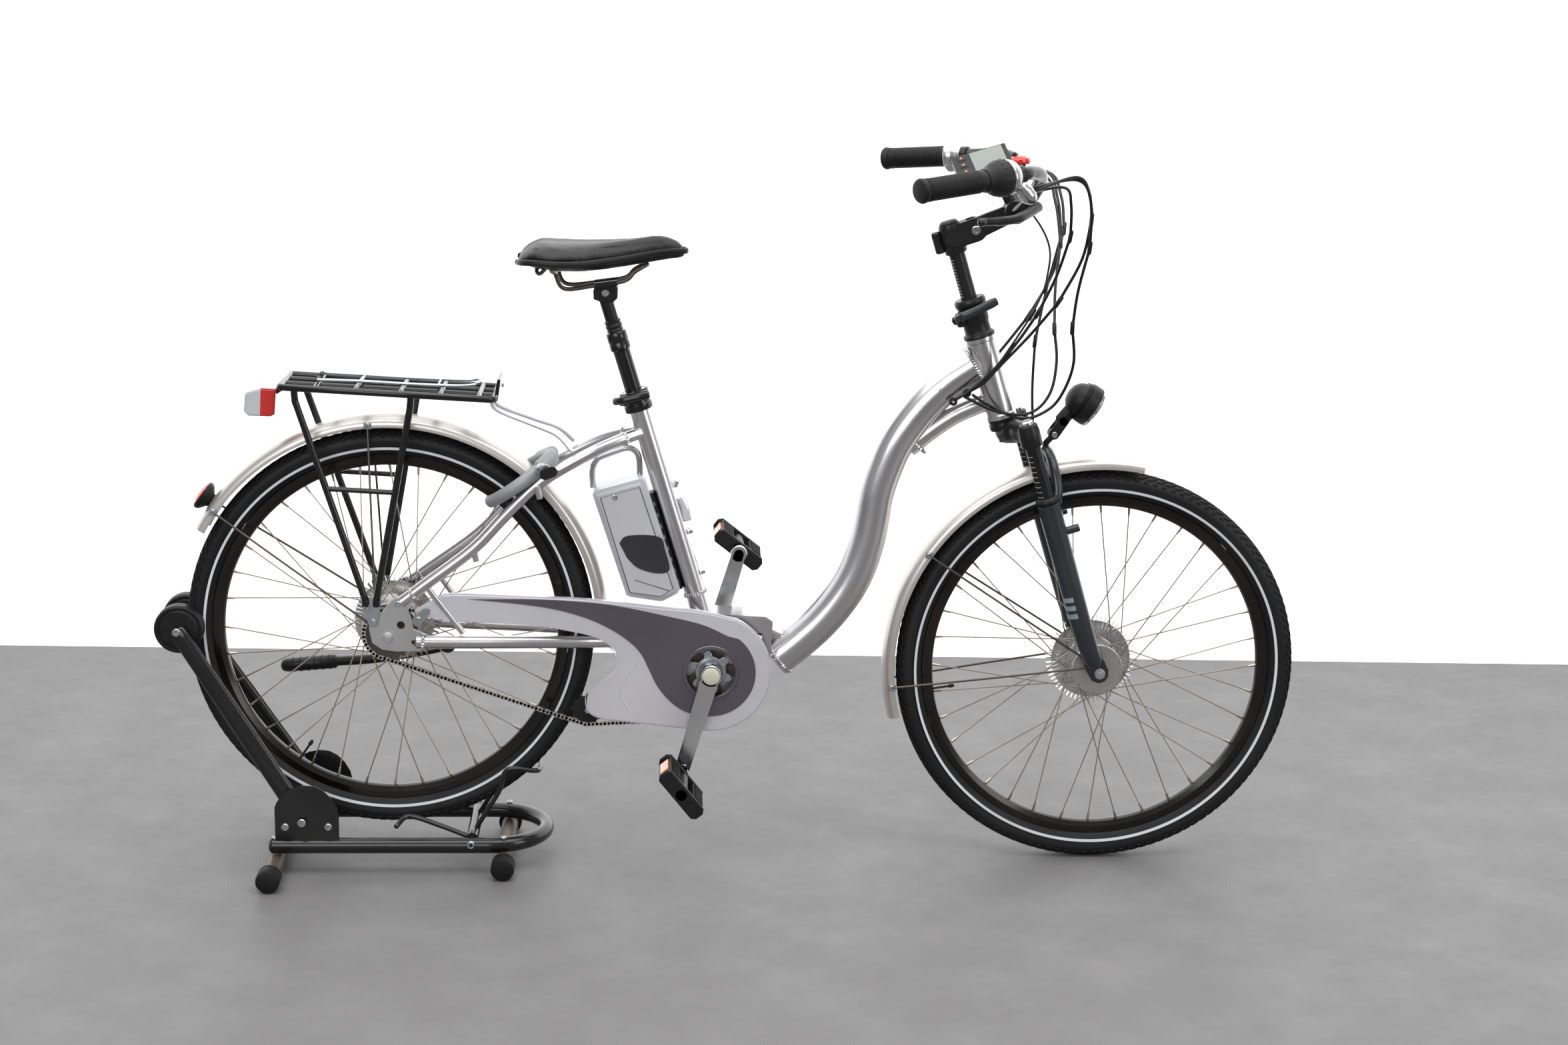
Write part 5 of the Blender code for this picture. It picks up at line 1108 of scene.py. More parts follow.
def chain_path():
    """(x, z) points along the pitch line, from tangent to tangent round the three wheels."""
    wheels = [(Vector((0, 0)), pitch_radius(20)), (Vector((0.322, -0.108)), pitch_radius(12)),
              (Vector((BB.x, BB.z)), pitch_radius(40))]
    leave = []
    for i in range(3):
        (a, ra), (b, rb) = wheels[i], wheels[(i + 1) % 3]
        line = b - a
        leave.append(atan2(line.y, line.x) - pi / 2 - asin((rb - ra) / line.length))
    out = []
    for i, (c, r) in enumerate(wheels):
        first, last = leave[i - 1], leave[i]
        while last < first:
            last += 2 * pi
        out += [Vector((c.x + r * cos(a), c.y + r * sin(a))) for a in (first + (last - first) * k / 40 for k in range(41))]
    return out


def link_marks():
    path = chain_path()
    path.append(path[0])
    lengths = [(b - a).length for a, b in zip(path, path[1:])]
    whole = sum(lengths)
    count = round(whole / PITCH / 2) * 2
    marks, walked, i = [], 0.0, 0
    for n in range(count):
        target = (n + 0.5) * whole / count
        while walked + lengths[i] < target:
            walked += lengths[i]
            i += 1
        share = (target - walked) / lengths[i]
        spot, way = path[i].lerp(path[i + 1], share), path[i + 1] - path[i]
        marks.append((at(spot.x, spot.y, CHAIN_Y), (0, -atan2(way.y, way.x), 0)))
    return marks


def chain_pieces():
    def link(y):
        waist = []
        for a, b in (((-PITCH / 2, 0), (0, 0)), ((0, 0), (PITCH / 2, 0))):
            waist.append(plate(capsule(a, b, 0.0038 if a[0] < 0 else 0.0026, 0.0026 if a[0] < 0 else 0.0038, 3), y,
                y + 0.0008))
        return waist

    def group(offsets):
        bm = bmesh.new()
        for y in offsets:
            for part in link(y):
                bm.from_mesh(part)
        for x in (-PITCH / 2, PITCH / 2):
            bm.from_mesh(tube([at(x, 0, offsets[0]), at(x, 0, offsets[1] + 0.0008)], 0.0022, 8))
        mesh = bpy.data.meshes.new("link")
        bm.to_mesh(mesh)
        bm.free()
        return mesh

    marks = link_marks()
    print("chain links:", len(marks))
    outer = copies(group((-0.0032, 0.0024)), marks[::2], chain_metal)
    inner = copies(group((-0.0022, 0.0014)), marks[1::2], chain_metal)
    piece("chain_links", [outer, inner], chain_metal, "frame", "chain_steel", "chain")
    piece("rear_teeth", toothed(20, 0.0182), dark_steel, "rear_sprocket", "chain_steel", "rear_sprocket")
    pulley = toothed(12, 0.004, 0.003)
    pulley.transform(Matrix.Translation((0.322, 0, -0.108)))
    piece("tensioner_teeth", [pulley, tube([at(0.322, -0.108, -0.0525), at(0.322, -0.108, -0.0415)], 0.005, 16)],
        moulded, "tensioner", "black_plastic", "tensioner_pulley")
    arm = [plate(capsule((0.322, -0.108), (0.36, -0.098), 0.009, 0.011), -0.0405, -0.038, 0.0006),
           bolt((0.322, -0.053, -0.108), (0, -1, 0), 0.0045, 0.003)]
    piece("tensioner_arm", arm, zinc, "frame", "zinc_steel")


chain_pieces()

# %% [markdown]
# Each crank is a forged arm with a hollowed face.  A ring of lobes locks the chainring to the
# right one, and a cap closes the spindle's hole.


# %% Cranks, chainring and caps
CRANK_LEAN = radians(13.1)


def pedal_eye(side):
    way = -1 if side < 0 else 1
    return BB + at(way * sin(CRANK_LEAN) * 0.17, way * cos(CRANK_LEAN) * 0.17)


def crank(name, side):
    end = pedal_eye(side)
    face, back = side * 0.088, side * 0.0732
    outline = capsule((BB.x, BB.z), (end.x, end.z), 0.015, 0.0115, 14)
    arm = plate(outline, *sorted((face, back)), 0.0035)
    near, far = BB.lerp(end, 0.17), BB.lerp(end, 0.88)
    groove = plate(capsule((near.x, near.z), (far.x, far.z), 0.0068, 0.005, 8),
        *sorted((face + side * 0.01, face - side * 0.0026)))
    arm = cut(arm, [groove])
    boss = lathe([(0, back), (0.018, back), (0.019, back + side * 0.003), (0.0182, face - side * 0.002),
                  (0.0168, face), (0, face)], BB, steps=56)
    eye = lathe([(0, back), (0.0128, back), (0.0138, back + side * 0.002), (0.013, face - side * 0.0015),
        (0.0118, face), (0.0074, face), (0.007, face - side * 0.002), (0, face - side * 0.002)], end, steps=48)
    piece(name + "_arm", [arm, boss, eye], polished, "crank", "cast_alloy", name)
    cap = lathe([(0, face), (0.014, face), (0.0138, face + side * 0.0006), (0.012, face + side * 0.0014),
                 (0.006, face + side * 0.0018), (0, face + side * 0.0018)], BB, steps=40)
    piece(name + "_cap", cap, cream, "crank", "silver_cover")


crank("crank_right", -1)
crank("crank_left", 1)


def chainring():
    ring = toothed(40, 0.064)
    ring.transform(Matrix.Translation(BB))
    arms = copies(plate([(0.014, -0.01), (0.066, -0.0065), (0.066, 0.0065), (0.014, 0.01)], CHAIN_Y - 0.0016,
        CHAIN_Y + 0.0016), round_marks(5, BB), dark_steel)
    spindle = tube([BB + Vector((0, -0.0726, 0)), BB + Vector((0, 0.0726, 0))], 0.0098, 32)
    lobes = copies(plate(capsule((0.0, 0.0), (0.0295, 0.0), 0.0105, 0.0062, 6), -0.0612, -0.059, 0.0004),
                   round_marks(6, BB, 0.3), zinc)
    plate_ = lathe([(0.01, -0.0625), (0.024, -0.0625), (0.0255, -0.0605), (0.0255, -0.0585), (0.01, -0.0585)], BB,
        steps=48)
    nut = lathe([(0.01, -0.07), (0.0165, -0.07), (0.0175, -0.069), (0.0175, -0.062), (0.01, -0.062)], BB, steps=6)
    piece("chainring_teeth", [ring, arms, spindle], dark_steel, "crank", "chain_steel", "chainring")
    piece("lock_plate", [lobes, plate_, nut], zinc, "crank", "zinc_steel", (), bevel=0.0003)


chainring()

# %% [markdown]
# ## Pedals
#
# A pedal is two ribbed rubber treads in a cage, with amber reflectors front and back.  It is drawn
# level about its own axle and then tipped to the angle at which it hangs.


# %% Pedals
def pedal(name, side, tip):
    y0 = 0.1032
    y1 = y0 + 0.0918

    def span(a, b):
        return sorted((side * a, side * b))

    cage = [plate([(-0.046, -0.0065), (-0.04, -0.013), (0.04, -0.013), (0.046, -0.0065), (0.046, 0.0065),
                   (0.04, 0.013), (-0.04, 0.013), (-0.046, 0.0065)], *span(a, b), 0.0015)
            for a, b in ((y0, y0 + 0.0085), (y1 - 0.0085, y1))]
    cage.append(tube([(0, side * 0.0885, 0), (0, side * (y0 + 0.002), 0)], 0.006, 20))
    cage.append(tube([(0, side * y0, 0), (0, side * y1, 0)], [0.012, 0.0095], 24))
    treads = []
    for x in (-0.0285, 0.0285):
        treads.append(plate([(x - 0.0115, -0.0115), (x + 0.0115, -0.0115), (x + 0.0115, 0.0115), (x - 0.0115, 0.0115)],
                            *span(y0 + 0.004, y1 - 0.004), 0.0025))
        ridge = plate([(x - 0.009, -0.014), (x + 0.009, -0.014), (x + 0.009, 0.014), (x - 0.009, 0.014)], -0.0022,
            0.0022, 0.001)
        treads.append(copies(ridge, [(Vector((0, side * (y0 + 0.014 + 0.0092 * i), 0)), (0, 0, 0)) for i in range(8)],
            grip_black))
    glints = [box((x - 0.0016, min(span(y0 + 0.022, y1 - 0.022)), -0.0075),
        (x + 0.0016, max(span(y0 + 0.022, y1 - 0.022)), 0.0075), 0.001) for x in (-0.0415, 0.0415)]
    place = BIKE @ Matrix.Translation(pedal_eye(side)) @ Matrix.Rotation(radians(tip), 4, "Y")
    piece(f"{name}_cage", cage, moulded, name, "black_plastic", name, place, 0.0005)
    piece(f"{name}_treads", treads, grip_black, name, "grip_rubber", (), place)
    piece(f"{name}_reflectors", glints, amber, name, "lamp_lens", (), place)


pedal("pedal_right", -1, 48)
pedal("pedal_left", 1, 35)

# %% [markdown]
# ## Battery
#
# The battery is one moulded case with a crowned face.  The dark label and the fine line round the
# face are separate skins a fraction of a millimetre proud, which is how printed panels catch light.


# %% Battery case, label and rail
def battery():
    outline = [(0.374, 0.081), (0.38, 0.079), (0.425, 0.0745), (0.433, 0.075), (0.456, 0.089), (0.459, 0.096),
               (0.3935, 0.268), (0.388, 0.2735), (0.38, 0.2712), (0.315, 0.249), (0.3108, 0.243)]
    case = plate(outline, -0.04, 0.04, 0.0075)
    piece("battery_case", case, battery_silver, "battery", "silver_cover", "battery", angle=50)
    marks = []
    for side in (-1, 1):
        y = side * 0.0401
        line = [(0.3795, 0.088), (0.429, 0.084), (0.448, 0.098), (0.385, 0.261), (0.324, 0.24), (0.3795, 0.088)]
        marks.append(tube([at(x, z, y) for x, z in line], 0.0007, 6))
        marks.append(tube([at(0.386, 0.109, y), at(0.442, 0.0945, y)], 0.0006, 6))
    piece("battery_contour", marks, label_dark, "battery", "silver_cover")
    label = []
    for side in (-1, 1):
        lens = flat_curve([(0.358, 0.168), (0.368, 0.18), (0.4, 0.184), (0.424, 0.18), (0.431, 0.162),
                           (0.44, 0.129), (0.42, 0.122), (0.39, 0.129), (0.372, 0.144)], 5)
        label.append(plate(lens, *sorted((side * 0.0398, side * 0.0407)), 0.0002))
    piece("battery_label", label, label_dark, "battery", "silver_cover")
    lock = [bolt(at(0.347, 0.242, side * 0.0402), (0, side, 0), 0.0042, 0.0012, 24) for side in (-1, 1)]
    piece("battery_lock", lock, polished, "battery", "zinc_steel")
    grip = tube(curve([at(0.3107, 0.248), at(0.3085, 0.276), at(0.315, 0.294), at(0.33, 0.303), at(0.36, 0.315),
                       at(0.3745, 0.312), at(0.3815, 0.3), at(0.3845, 0.274)], 6), 0.0052, 20)
    piece("battery_grip", grip, polished, "battery", "cast_alloy", "battery_handle")


def battery_rail():
    """The rail between the seat tube and the battery: alternate light and dark slots."""
    back = plate([(-0.0035, 0.0), (0.0035, 0.0), (0.0035, 0.165), (-0.0035, 0.165)], -0.014, 0.014, 0.001)
    place = Matrix.Translation(seat(-0.33, -0.0205)) @ Matrix.Rotation(-SEAT_LEAN, 4, "Y")
    rail_place = BIKE @ place
    piece("battery_rail", back, moulded, "frame", "black_plastic", (), rail_place)
    slots = [box((-0.0015, -0.0145, 0.01 + 0.019 * i), (0.0015, 0.0145, 0.018 + 0.019 * i), 0.0006) for i in range(8)]
    piece("rail_slots", slots, zinc, "frame", "zinc_steel", (), rail_place)


SEAT_LEAN = radians(20)
battery()
battery_rail()

# %% [markdown]
# ## Seat
#
# The post telescopes: a fixed collar, a slimmer sprung tube in it, and the head that clamps the
# saddle's rails.  The rails are one bent steel wire.


# %% Seat post, clamp and rails
def seat_parts():
    ring = lathe([(0.0175, 0), (0.0222, 0), (0.023, 0.002), (0.023, 0.01), (0.0215, 0.012), (0.0215, 0.02),
        (0.023, 0.022), (0.023, 0.031), (0.0222, 0.033), (0.0175, 0.033)], seat(-0.032), STEER_UP, 48)
    lug = plate([(0.345, 0.386), (0.347, 0.384), (0.36, 0.384), (0.362, 0.387), (0.361, 0.4), (0.345, 0.401)], -0.011,
        0.011, 0.0015)
    piece("seat_clamp_ring", [ring, lug], gloss_black, "frame", "black_enamel", "seat_clamp", bevel=0.0004)
    lever = tube(curve([at(0.3395, 0.3925, -0.011), at(0.3395, 0.3925, -0.018), at(0.35, 0.3965, -0.0285),
                        at(0.372, 0.404, -0.031), at(0.392, 0.41, -0.029)], 6),
                 [0.0046] * 12 + [0.005] * 6 + [0.0055] * 6 + [0.0048], 16, flat=1.35, soft_end=True)
    piece("seat_quick_lever", lever, gloss_black, "seat_clamp_lever", "black_enamel", "seat_clamp_lever")
    sleeve = lathe([(0.0113, 0), (0.0136, 0), (0.0136, 0.254), (0.014, 0.258), (0.0165, 0.2605), (0.0165, 0.27),
        (0.0158, 0.2712), (0.0158, 0.2725), (0.0165, 0.2737), (0.0165, 0.2865), (0.015, 0.289), (0.0113, 0.289)],
        seat(-0.19), STEER_UP, 48)
    piece("seat_post_sleeve", sleeve, gloss_black, "seatpost", "black_enamel", "seatpost")
    post = tube([seat(-0.06), seat(0.158)], 0.0108, 32)
    boot = lathe([(0.0112, 0.0), (0.0138, 0.0), (0.0122, 0.004), (0.0138, 0.008), (0.0122, 0.012), (0.0138, 0.016),
        (0.0112, 0.018)], seat(0.1005), STEER_UP, 40)
    head = plate([(0.296, 0.552), (0.306, 0.549), (0.327, 0.549), (0.3335, 0.556), (0.333, 0.572), (0.329, 0.578),
                  (0.299, 0.5735), (0.2945, 0.565)], -0.015, 0.015, 0.0025)
    jaws = [plate([(0.296, 0.57), (0.333, 0.5775), (0.3325, 0.586), (0.2955, 0.579)],
        *sorted((side * 0.015, side * 0.027)), 0.002) for side in (-1, 1)]
    piece("seat_head", [post, boot, head, *jaws], satin_black, "saddle", "black_enamel", "seatpost_top", bevel=0.0004)
    pins = [bolt(at(0.314, 0.564, side * 0.015), (0, side, 0), 0.006, 0.004) for side in (-1, 1)]
    piece("seat_head_bolts", pins, zinc, "saddle", "zinc_steel")
    half = [(0.236, 0.59, 0.042), (0.244, 0.573, 0.036), (0.258, 0.568, 0.03), (0.292, 0.574, 0.0222),
            (0.342, 0.585, 0.0222), (0.358, 0.6, 0.02), (0.372, 0.609, 0.013), (0.3775, 0.611, 0.0)]
    wire = [(x, -y, z) for x, z, y in half] + [(x, y, z) for x, z, y in half[:-1]][::-1]
    piece("saddle_wire", tube(curve(wire, 5), 0.0035, 16), dark_steel, "saddle", "black_enamel", "saddle_rails")
    bars = [tube(curve([at(0.23, 0.5985, -0.058), at(0.233, 0.5925, -0.03), at(0.234, 0.5915, 0.0),
        at(0.233, 0.5925, 0.03), at(0.23, 0.5985, 0.058)], 5), 0.0042, 12)]
    bars += [tube(curve([at(0.224, 0.606, s * 0.055), at(0.212, 0.592, s * 0.05), at(0.206, 0.596, s * 0.044),
                         at(0.21, 0.61, s * 0.04)], 5), 0.0032, 10) for s in (-1, 1)]
    piece("saddle_bridge", bars, dark_steel, "saddle", "black_enamel")


seat_parts()

# %% [markdown]
# The saddle starts as a slightly slim form, swells under a little air pressure as a cloth, and is
# then subdivided.  The seam and the moulded skirt come after, because the cloth step would erase them.


# %% Padded saddle by cloth simulation
def saddle_form(shrink=1.0):
    stations = [(0.1715, 0.612, 0.04, 0.012), (0.176, 0.623, 0.059, 0.02), (0.186, 0.6315, 0.076, 0.028),
        (0.205, 0.637, 0.088, 0.036), (0.24, 0.6375, 0.092, 0.038), (0.275, 0.639, 0.082, 0.038),
        (0.31, 0.6425, 0.062, 0.037), (0.345, 0.6475, 0.042, 0.036), (0.385, 0.654, 0.027, 0.034),
        (0.415, 0.6565, 0.0205, 0.03), (0.432, 0.6515, 0.015, 0.024), (0.4395, 0.64, 0.007, 0.012)]
    bm = bmesh.new()
    rings, count = [], 36
    for x, top, half, depth in stations:
        ring = []
        for j in range(count):
            a = 2 * pi * j / count
            across, up = sin(a), cos(a)
            crown = up if up > 0 else max(-1.0, up * 1.25)
            dip = 0.0035 * max(0.0, 1 - (across / 0.35) ** 2) * max(0.0, up) * (half > 0.03)
            y = half * across * (1.0 if up > -0.2 else 0.93)
            z = top - depth / 2 + depth / 2 * crown - dip
            middle_x = 0.305
            ring.append(bm.verts.new((middle_x + (x - middle_x) * (0.5 + shrink / 2), y * shrink,
                0.62 + (z - 0.62) * shrink)))
        rings.append(ring)
    skin(bm, rings, False)
    bm.faces.new(rings[0])
    bm.faces.new(rings[-1])
    return closed_mesh(bm)


def swell(mesh, cap):
    """Blow the form up as a cloth for twenty frames; no point may move further than cap."""
    thing = bpy.data.objects.new("swelling", mesh)
    bpy.context.scene.collection.objects.link(thing)
    remesh = thing.modifiers.new("even", "REMESH")
    remesh.mode, remesh.voxel_size = "VOXEL", 0.0045
    bpy.context.view_layer.update()
    even = bpy.data.meshes.new_from_object(thing.evaluated_get(bpy.context.evaluated_depsgraph_get()))
    thing.modifiers.clear()
    thing.data = even
    start = [v.co.copy() for v in even.vertices]
    cloth = thing.modifiers.new("cloth", "CLOTH")
    cloth.settings.use_pressure = True
    cloth.settings.uniform_pressure_force = 4.0
    cloth.settings.quality = 6
    cloth.settings.mass = 0.3
    cloth.settings.effector_weights.gravity = 0.0
    cloth.point_cache.frame_start, cloth.point_cache.frame_end = 1, 20
    scene = bpy.context.scene
    for step in range(1, 21):
        scene.frame_set(step)
    puffed = bpy.data.meshes.new_from_object(thing.evaluated_get(bpy.context.evaluated_depsgraph_get()))
    for v, was in zip(puffed.vertices, start):
        move = v.co - was
        if move.length > cap:
            v.co = was + move.normalized() * cap
    scene.frame_set(1)
    bpy.data.objects.remove(thing)
    return puffed


def saddle():
    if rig.quick():
        form = saddle_form()
    else:
        form = swell(saddle_form(0.972), 0.004)
        relaxed = bmesh.new()
        relaxed.from_mesh(form)
        for _ in range(3):
            bmesh.ops.smooth_vert(relaxed, verts=relaxed.verts, factor=0.5, use_axis_x=True, use_axis_y=True,
                use_axis_z=True)
        relaxed.to_mesh(form)
        relaxed.free()
    pad = piece("saddle_pad", form, leather, "saddle", "saddle_leather", "saddle", angle=180, smooth=1)
    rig.padded(pad, fill=0.85)
    rim = [(0.174, 0.607, 0.04), (0.183, 0.6095, 0.069), (0.205, 0.612, 0.086), (0.24, 0.612, 0.09),
        (0.275, 0.614, 0.0805), (0.31, 0.618, 0.061), (0.345, 0.6235, 0.0415), (0.385, 0.6315, 0.0265),
        (0.415, 0.636, 0.02), (0.432, 0.637, 0.013), (0.438, 0.6365, 0.0)]
    loop = [(x, -y, z) for x, z, y in rim] + [(x, y, z) for x, z, y in rim[:-1]][::-1]
    piece("saddle_skirt", tube(curve(loop, 5), 0.003, 10, flat=1.6), moulded, "saddle", "black_plastic")
    stitches = []
    for side in (-1, 1):
        seam = curve([at(0.198, 0.631, side * 0.062), at(0.24, 0.633, side * 0.066), at(0.28, 0.635, side * 0.054),
                      at(0.32, 0.64, side * 0.036), at(0.36, 0.6462, side * 0.023), at(0.4, 0.652, side * 0.015)], 9)
        for i in range(0, len(seam) - 1, 1):
            a, b = seam[i], seam[i + 1]
            stitches.append((a.lerp(b, 0.5), (0, -atan2(b.z - a.z, (b - a).length), atan2(b.y - a.y, b.x - a.x))))
    shells = tube([at(-0.0017, 0.0), at(0.0017, 0.0)], 0.0006, 6, soft_end=True)
    piece("saddle_stitching", copies(shells, stitches, satin_black), satin_black, "saddle", "saddle_leather")


saddle()

# %% [markdown]
# ## Carrier, lamp and reflector
#
# The carrier is welded from bent tube.  Its spring clip is a wire bail in a bright finish.


# %% Carrier of tube and wire
def carrier():
    z = 0.3915
    ring = []
    for x, y in ((-0.18, -0.064), (0.144, -0.064), (0.15, -0.058), (0.15, 0.058), (0.144, 0.064), (-0.18, 0.064),
                 (-0.1815, 0.0625), (-0.1815, -0.0625)):
        ring.append(at(x, z, y))
    parts = [tube(ring, 0.0055, 18, loop=True)]
    parts += [tube([at(-0.18, z, y), at(0.15, z, y)], 0.0042, 14) for y in (-0.022, 0.022)]
    parts += [tube([at(x, z + 0.0005, -0.063), at(x, z + 0.0005, 0.063)], 0.0048, 14) for x in (-0.128, -0.066, 0.004,
        0.066, 0.126)]
    parts.append(plate([(0.148, 0.386), (0.155, 0.386), (0.1575, 0.4195), (0.1525, 0.4195)], -0.038, 0.038, 0.0015))
    links = []
    for side in (-1, 1):
        for top, foot in ((-0.16, -0.037), (0.021, -0.019)):
            parts.append(tube(curve([at(top, z, side * 0.064), at(top * 0.98 + foot * 0.02, 0.372, side * 0.064),
                at(top * 0.9 + foot * 0.1, 0.345, side * 0.0645), at(foot * 0.9 + top * 0.1, 0.095, side * 0.078),
                at(foot, 0.062, side * 0.079), at(foot, 0.052, side * 0.079)], 4), 0.0056, 18))
        parts.append(tube([at(-0.104, 0.236, side * 0.071), at(0.004, 0.236, side * 0.071)], 0.0042, 12))
        links.append(tube(curve([at(0.145, 0.388, side * 0.018), at(0.152, 0.369, side * 0.02),
            at(0.211, 0.349, side * 0.026), at(0.25, 0.336, side * 0.034), at(0.275, 0.314, side * 0.046)], 5),
            0.0036, 12))
    piece("carrier_frame", parts, gloss_black, "frame", "black_enamel", "carrier", angle=50)
    piece("carrier_links", links, guard_silver, "frame", "silver_cover")
    tabs, screws = [], [bolt(at(0.158, 0.406, 0), (1, 0, 0), 0.0045, 0.0035)]
    for side in (-1, 1):
        tabs.append(plate([(-0.043, 0.066), (-0.041, 0.046), (-0.029, 0.018), (-0.017, 0.018), (-0.013, 0.046),
                           (-0.012, 0.066)], *sorted((side * 0.0726, side * 0.0768)), 0.0008))
        screws += [bolt(at(x, zz, side * 0.0768), (0, side, 0), 0.0046, 0.0036) for x,
            zz in ((-0.0345, 0.056), (-0.0205, 0.056), (-0.023, 0.026))]
    piece("carrier_tabs", tabs, zinc, "frame", "zinc_steel")
    piece("carrier_screws", screws, zinc, "frame", "zinc_steel")
    side = [(-0.128, 0.402, 0.036), (-0.06, 0.403, 0.031), (0.02, 0.403, 0.03), (0.1, 0.405, 0.029),
        (0.122, 0.409, 0.018)]
    loop = [(x, -y, zz) for x, zz, y in side] + [(x, y, zz) for x, zz, y in side][::-1]
    wires = [tube(curve(loop, 5), 0.0024, 12)]
    wires += [tube([at(x, 0.4032, -y), at(x, 0.4032, y)], 0.0018, 8) for x, y in ((-0.06, 0.031), (0.06, 0.0295))]
    piece("clip_wire", wires, zinc, "carrier_clip", "zinc_steel", "carrier_clip")
    coils = [lathe([(0.0032 + 0.001 * (i % 2), -0.0085 + 0.0017 * i) for i in range(11)] + [(0.0012, 0.0085),
        (0.0012, -0.0085)], at(-0.128, 0.4015, s * 0.023), (0, 1, 0), 18) for s in (-1, 1)]
    piece("clip_springs", coils, dark_steel, "carrier_clip", "zinc_steel")


def rear_lights():
    shell = plate([(-0.2395, 0.346), (-0.2325, 0.3395), (-0.198, 0.3405), (-0.1915, 0.344), (-0.1905, 0.383),
        (-0.192, 0.3845), (-0.213, 0.3845), (-0.235, 0.377), (-0.2385, 0.374)], -0.045, 0.045, 0.004)
    front = cut(shell, [box((-0.214, -0.06, 0.33), (-0.18, 0.06, 0.39))])
    rear = cut(shell, [box((-0.25, -0.06, 0.33), (-0.214, 0.06, 0.39))])
    piece("lamp_lens_shell", front, lens_clear, "frame", "lamp_lens", "rear_lamp")
    piece("lamp_housing", rear, lens_red, "frame", "lamp_lens")
    bars = [tube([at(-0.2375, 0.348 + 0.0052 * i, -0.04), at(-0.2375, 0.348 + 0.0052 * i, 0.04)], 0.0012,
        8) for i in range(5)]
    piece("lamp_ribs", bars, lens_red, "frame", "lamp_lens")
    back = plate([(-0.196, 0.37), (-0.178, 0.384), (-0.178, 0.388), (-0.196, 0.38)], -0.03, 0.03, 0.001)
    piece("lamp_bracket", back, satin_black, "frame", "black_enamel")
    spot = Vector((-0.313, 0, 0.2038)).normalized()
    dish = lathe([(0, 0.0), (0.01, 0.0), (0.012, 0.004), (0.0205, 0.01), (0.0235, 0.014), (0.024, 0.018),
        (0.0225, 0.02), (0, 0.02)], spot * 0.348, spot, 48)
    glass = lathe([(0, 0.018), (0.0218, 0.018), (0.0218, 0.021), (0.015, 0.0245), (0, 0.0255)], spot * 0.348, spot, 48)
    piece("reflector_dish", dish, moulded, "frame", "black_plastic")
    piece("reflector_glass", glass, lens_red, "frame", "lamp_lens")


carrier()
rear_lights()

# %% [markdown]
# ## Mudguards, lock and side stand
#
# A mudguard's section is drawn once and turned part of a circle about its axle.


# %% Mudguards and their stays
def guard_section():
    half = 0.03
    outer = [(0.3312, half), (0.335, half), (0.34, half - 0.0008), (0.344, half * 0.86), (0.347, half * 0.66),
             (0.349, half * 0.42), (0.35, half * 0.15)]
    outer = outer + [(r, -y) for r, y in outer][::-1]
    inner = [(r - 0.0012, y * 0.955) for r, y in outer]
    inner[0], inner[-1] = (0.3312, half - 0.0015), (0.3312, -half + 0.0015)
    return outer + inner[::-1]


def mudguard(name, centre, first, last, body, node):
    shell = lathe(guard_section(), centre, (0, 1, 0), 110, radians(first), radians(last - first))
    piece(name, shell, champagne, body, "mudguard_silver", node, angle=50)


def wire_stay(body, name, bolt_at, ends):
    stays, small = [], []
    for side in (-1, 1):
        hook = Vector((bolt_at[0], side * 0.0308, bolt_at[1]))
        foot = Vector((ends[0], side * ends[2], ends[1]))
        stays.append(tube([foot, foot.lerp(hook, 0.5) + Vector((0, side * 0.002, 0)), hook], 0.0018, 8))
        small.append(bolt(hook, (0, side, 0), 0.0048, 0.0034))
        small.append(plate([(hook.x - 0.006, hook.z - 0.005), (hook.x + 0.006, hook.z - 0.005),
            (hook.x + 0.006, hook.z + 0.005), (hook.x - 0.006, hook.z + 0.005)],
            *sorted((side * 0.03, side * 0.0316)), 0.0004))
    piece(name, stays, dark_steel, body, "zinc_steel")
    piece(name + "_bolts", small, zinc, body, "zinc_steel")


FRONT_AXLE = Vector((1.145, 0, 0))
mudguard("rear_mudguard_shell", (0, 0, 0), 3, 154.5, "frame", "rear_mudguard")
mudguard("front_mudguard_shell", FRONT_AXLE, 82, 197.5, "fork_lowers", "front_mudguard")
wire_stay("frame", "rear_stay_low", (-0.286, 0.179), (-0.03, 0.023, 0.074))
wire_stay("frame", "rear_stay_high", (-0.048, 0.332), (-0.02, 0.04, 0.074))
wire_stay("fork_lowers", "front_stay_high", (0.856, 0.174), (1.133, 0.015, 0.059))
wire_stay("fork_lowers", "front_stay_low", (0.813, -0.05), (1.133, 0.011, 0.059))


# %% Ring lock
LOCK_CENTRE = at(0.1928, 0.2563)
LOCK_ALONG = Vector((cos(radians(38.5)), 0, sin(radians(38.5))))


def on_lock(radius, first, last, steps):
    out = []
    for i in range(steps + 1):
        a = radians(first + (last - first) * i / steps)
        out.append(LOCK_CENTRE + LOCK_ALONG * (radius * cos(a)) + Vector((0, radius * sin(a), 0)))
    return out


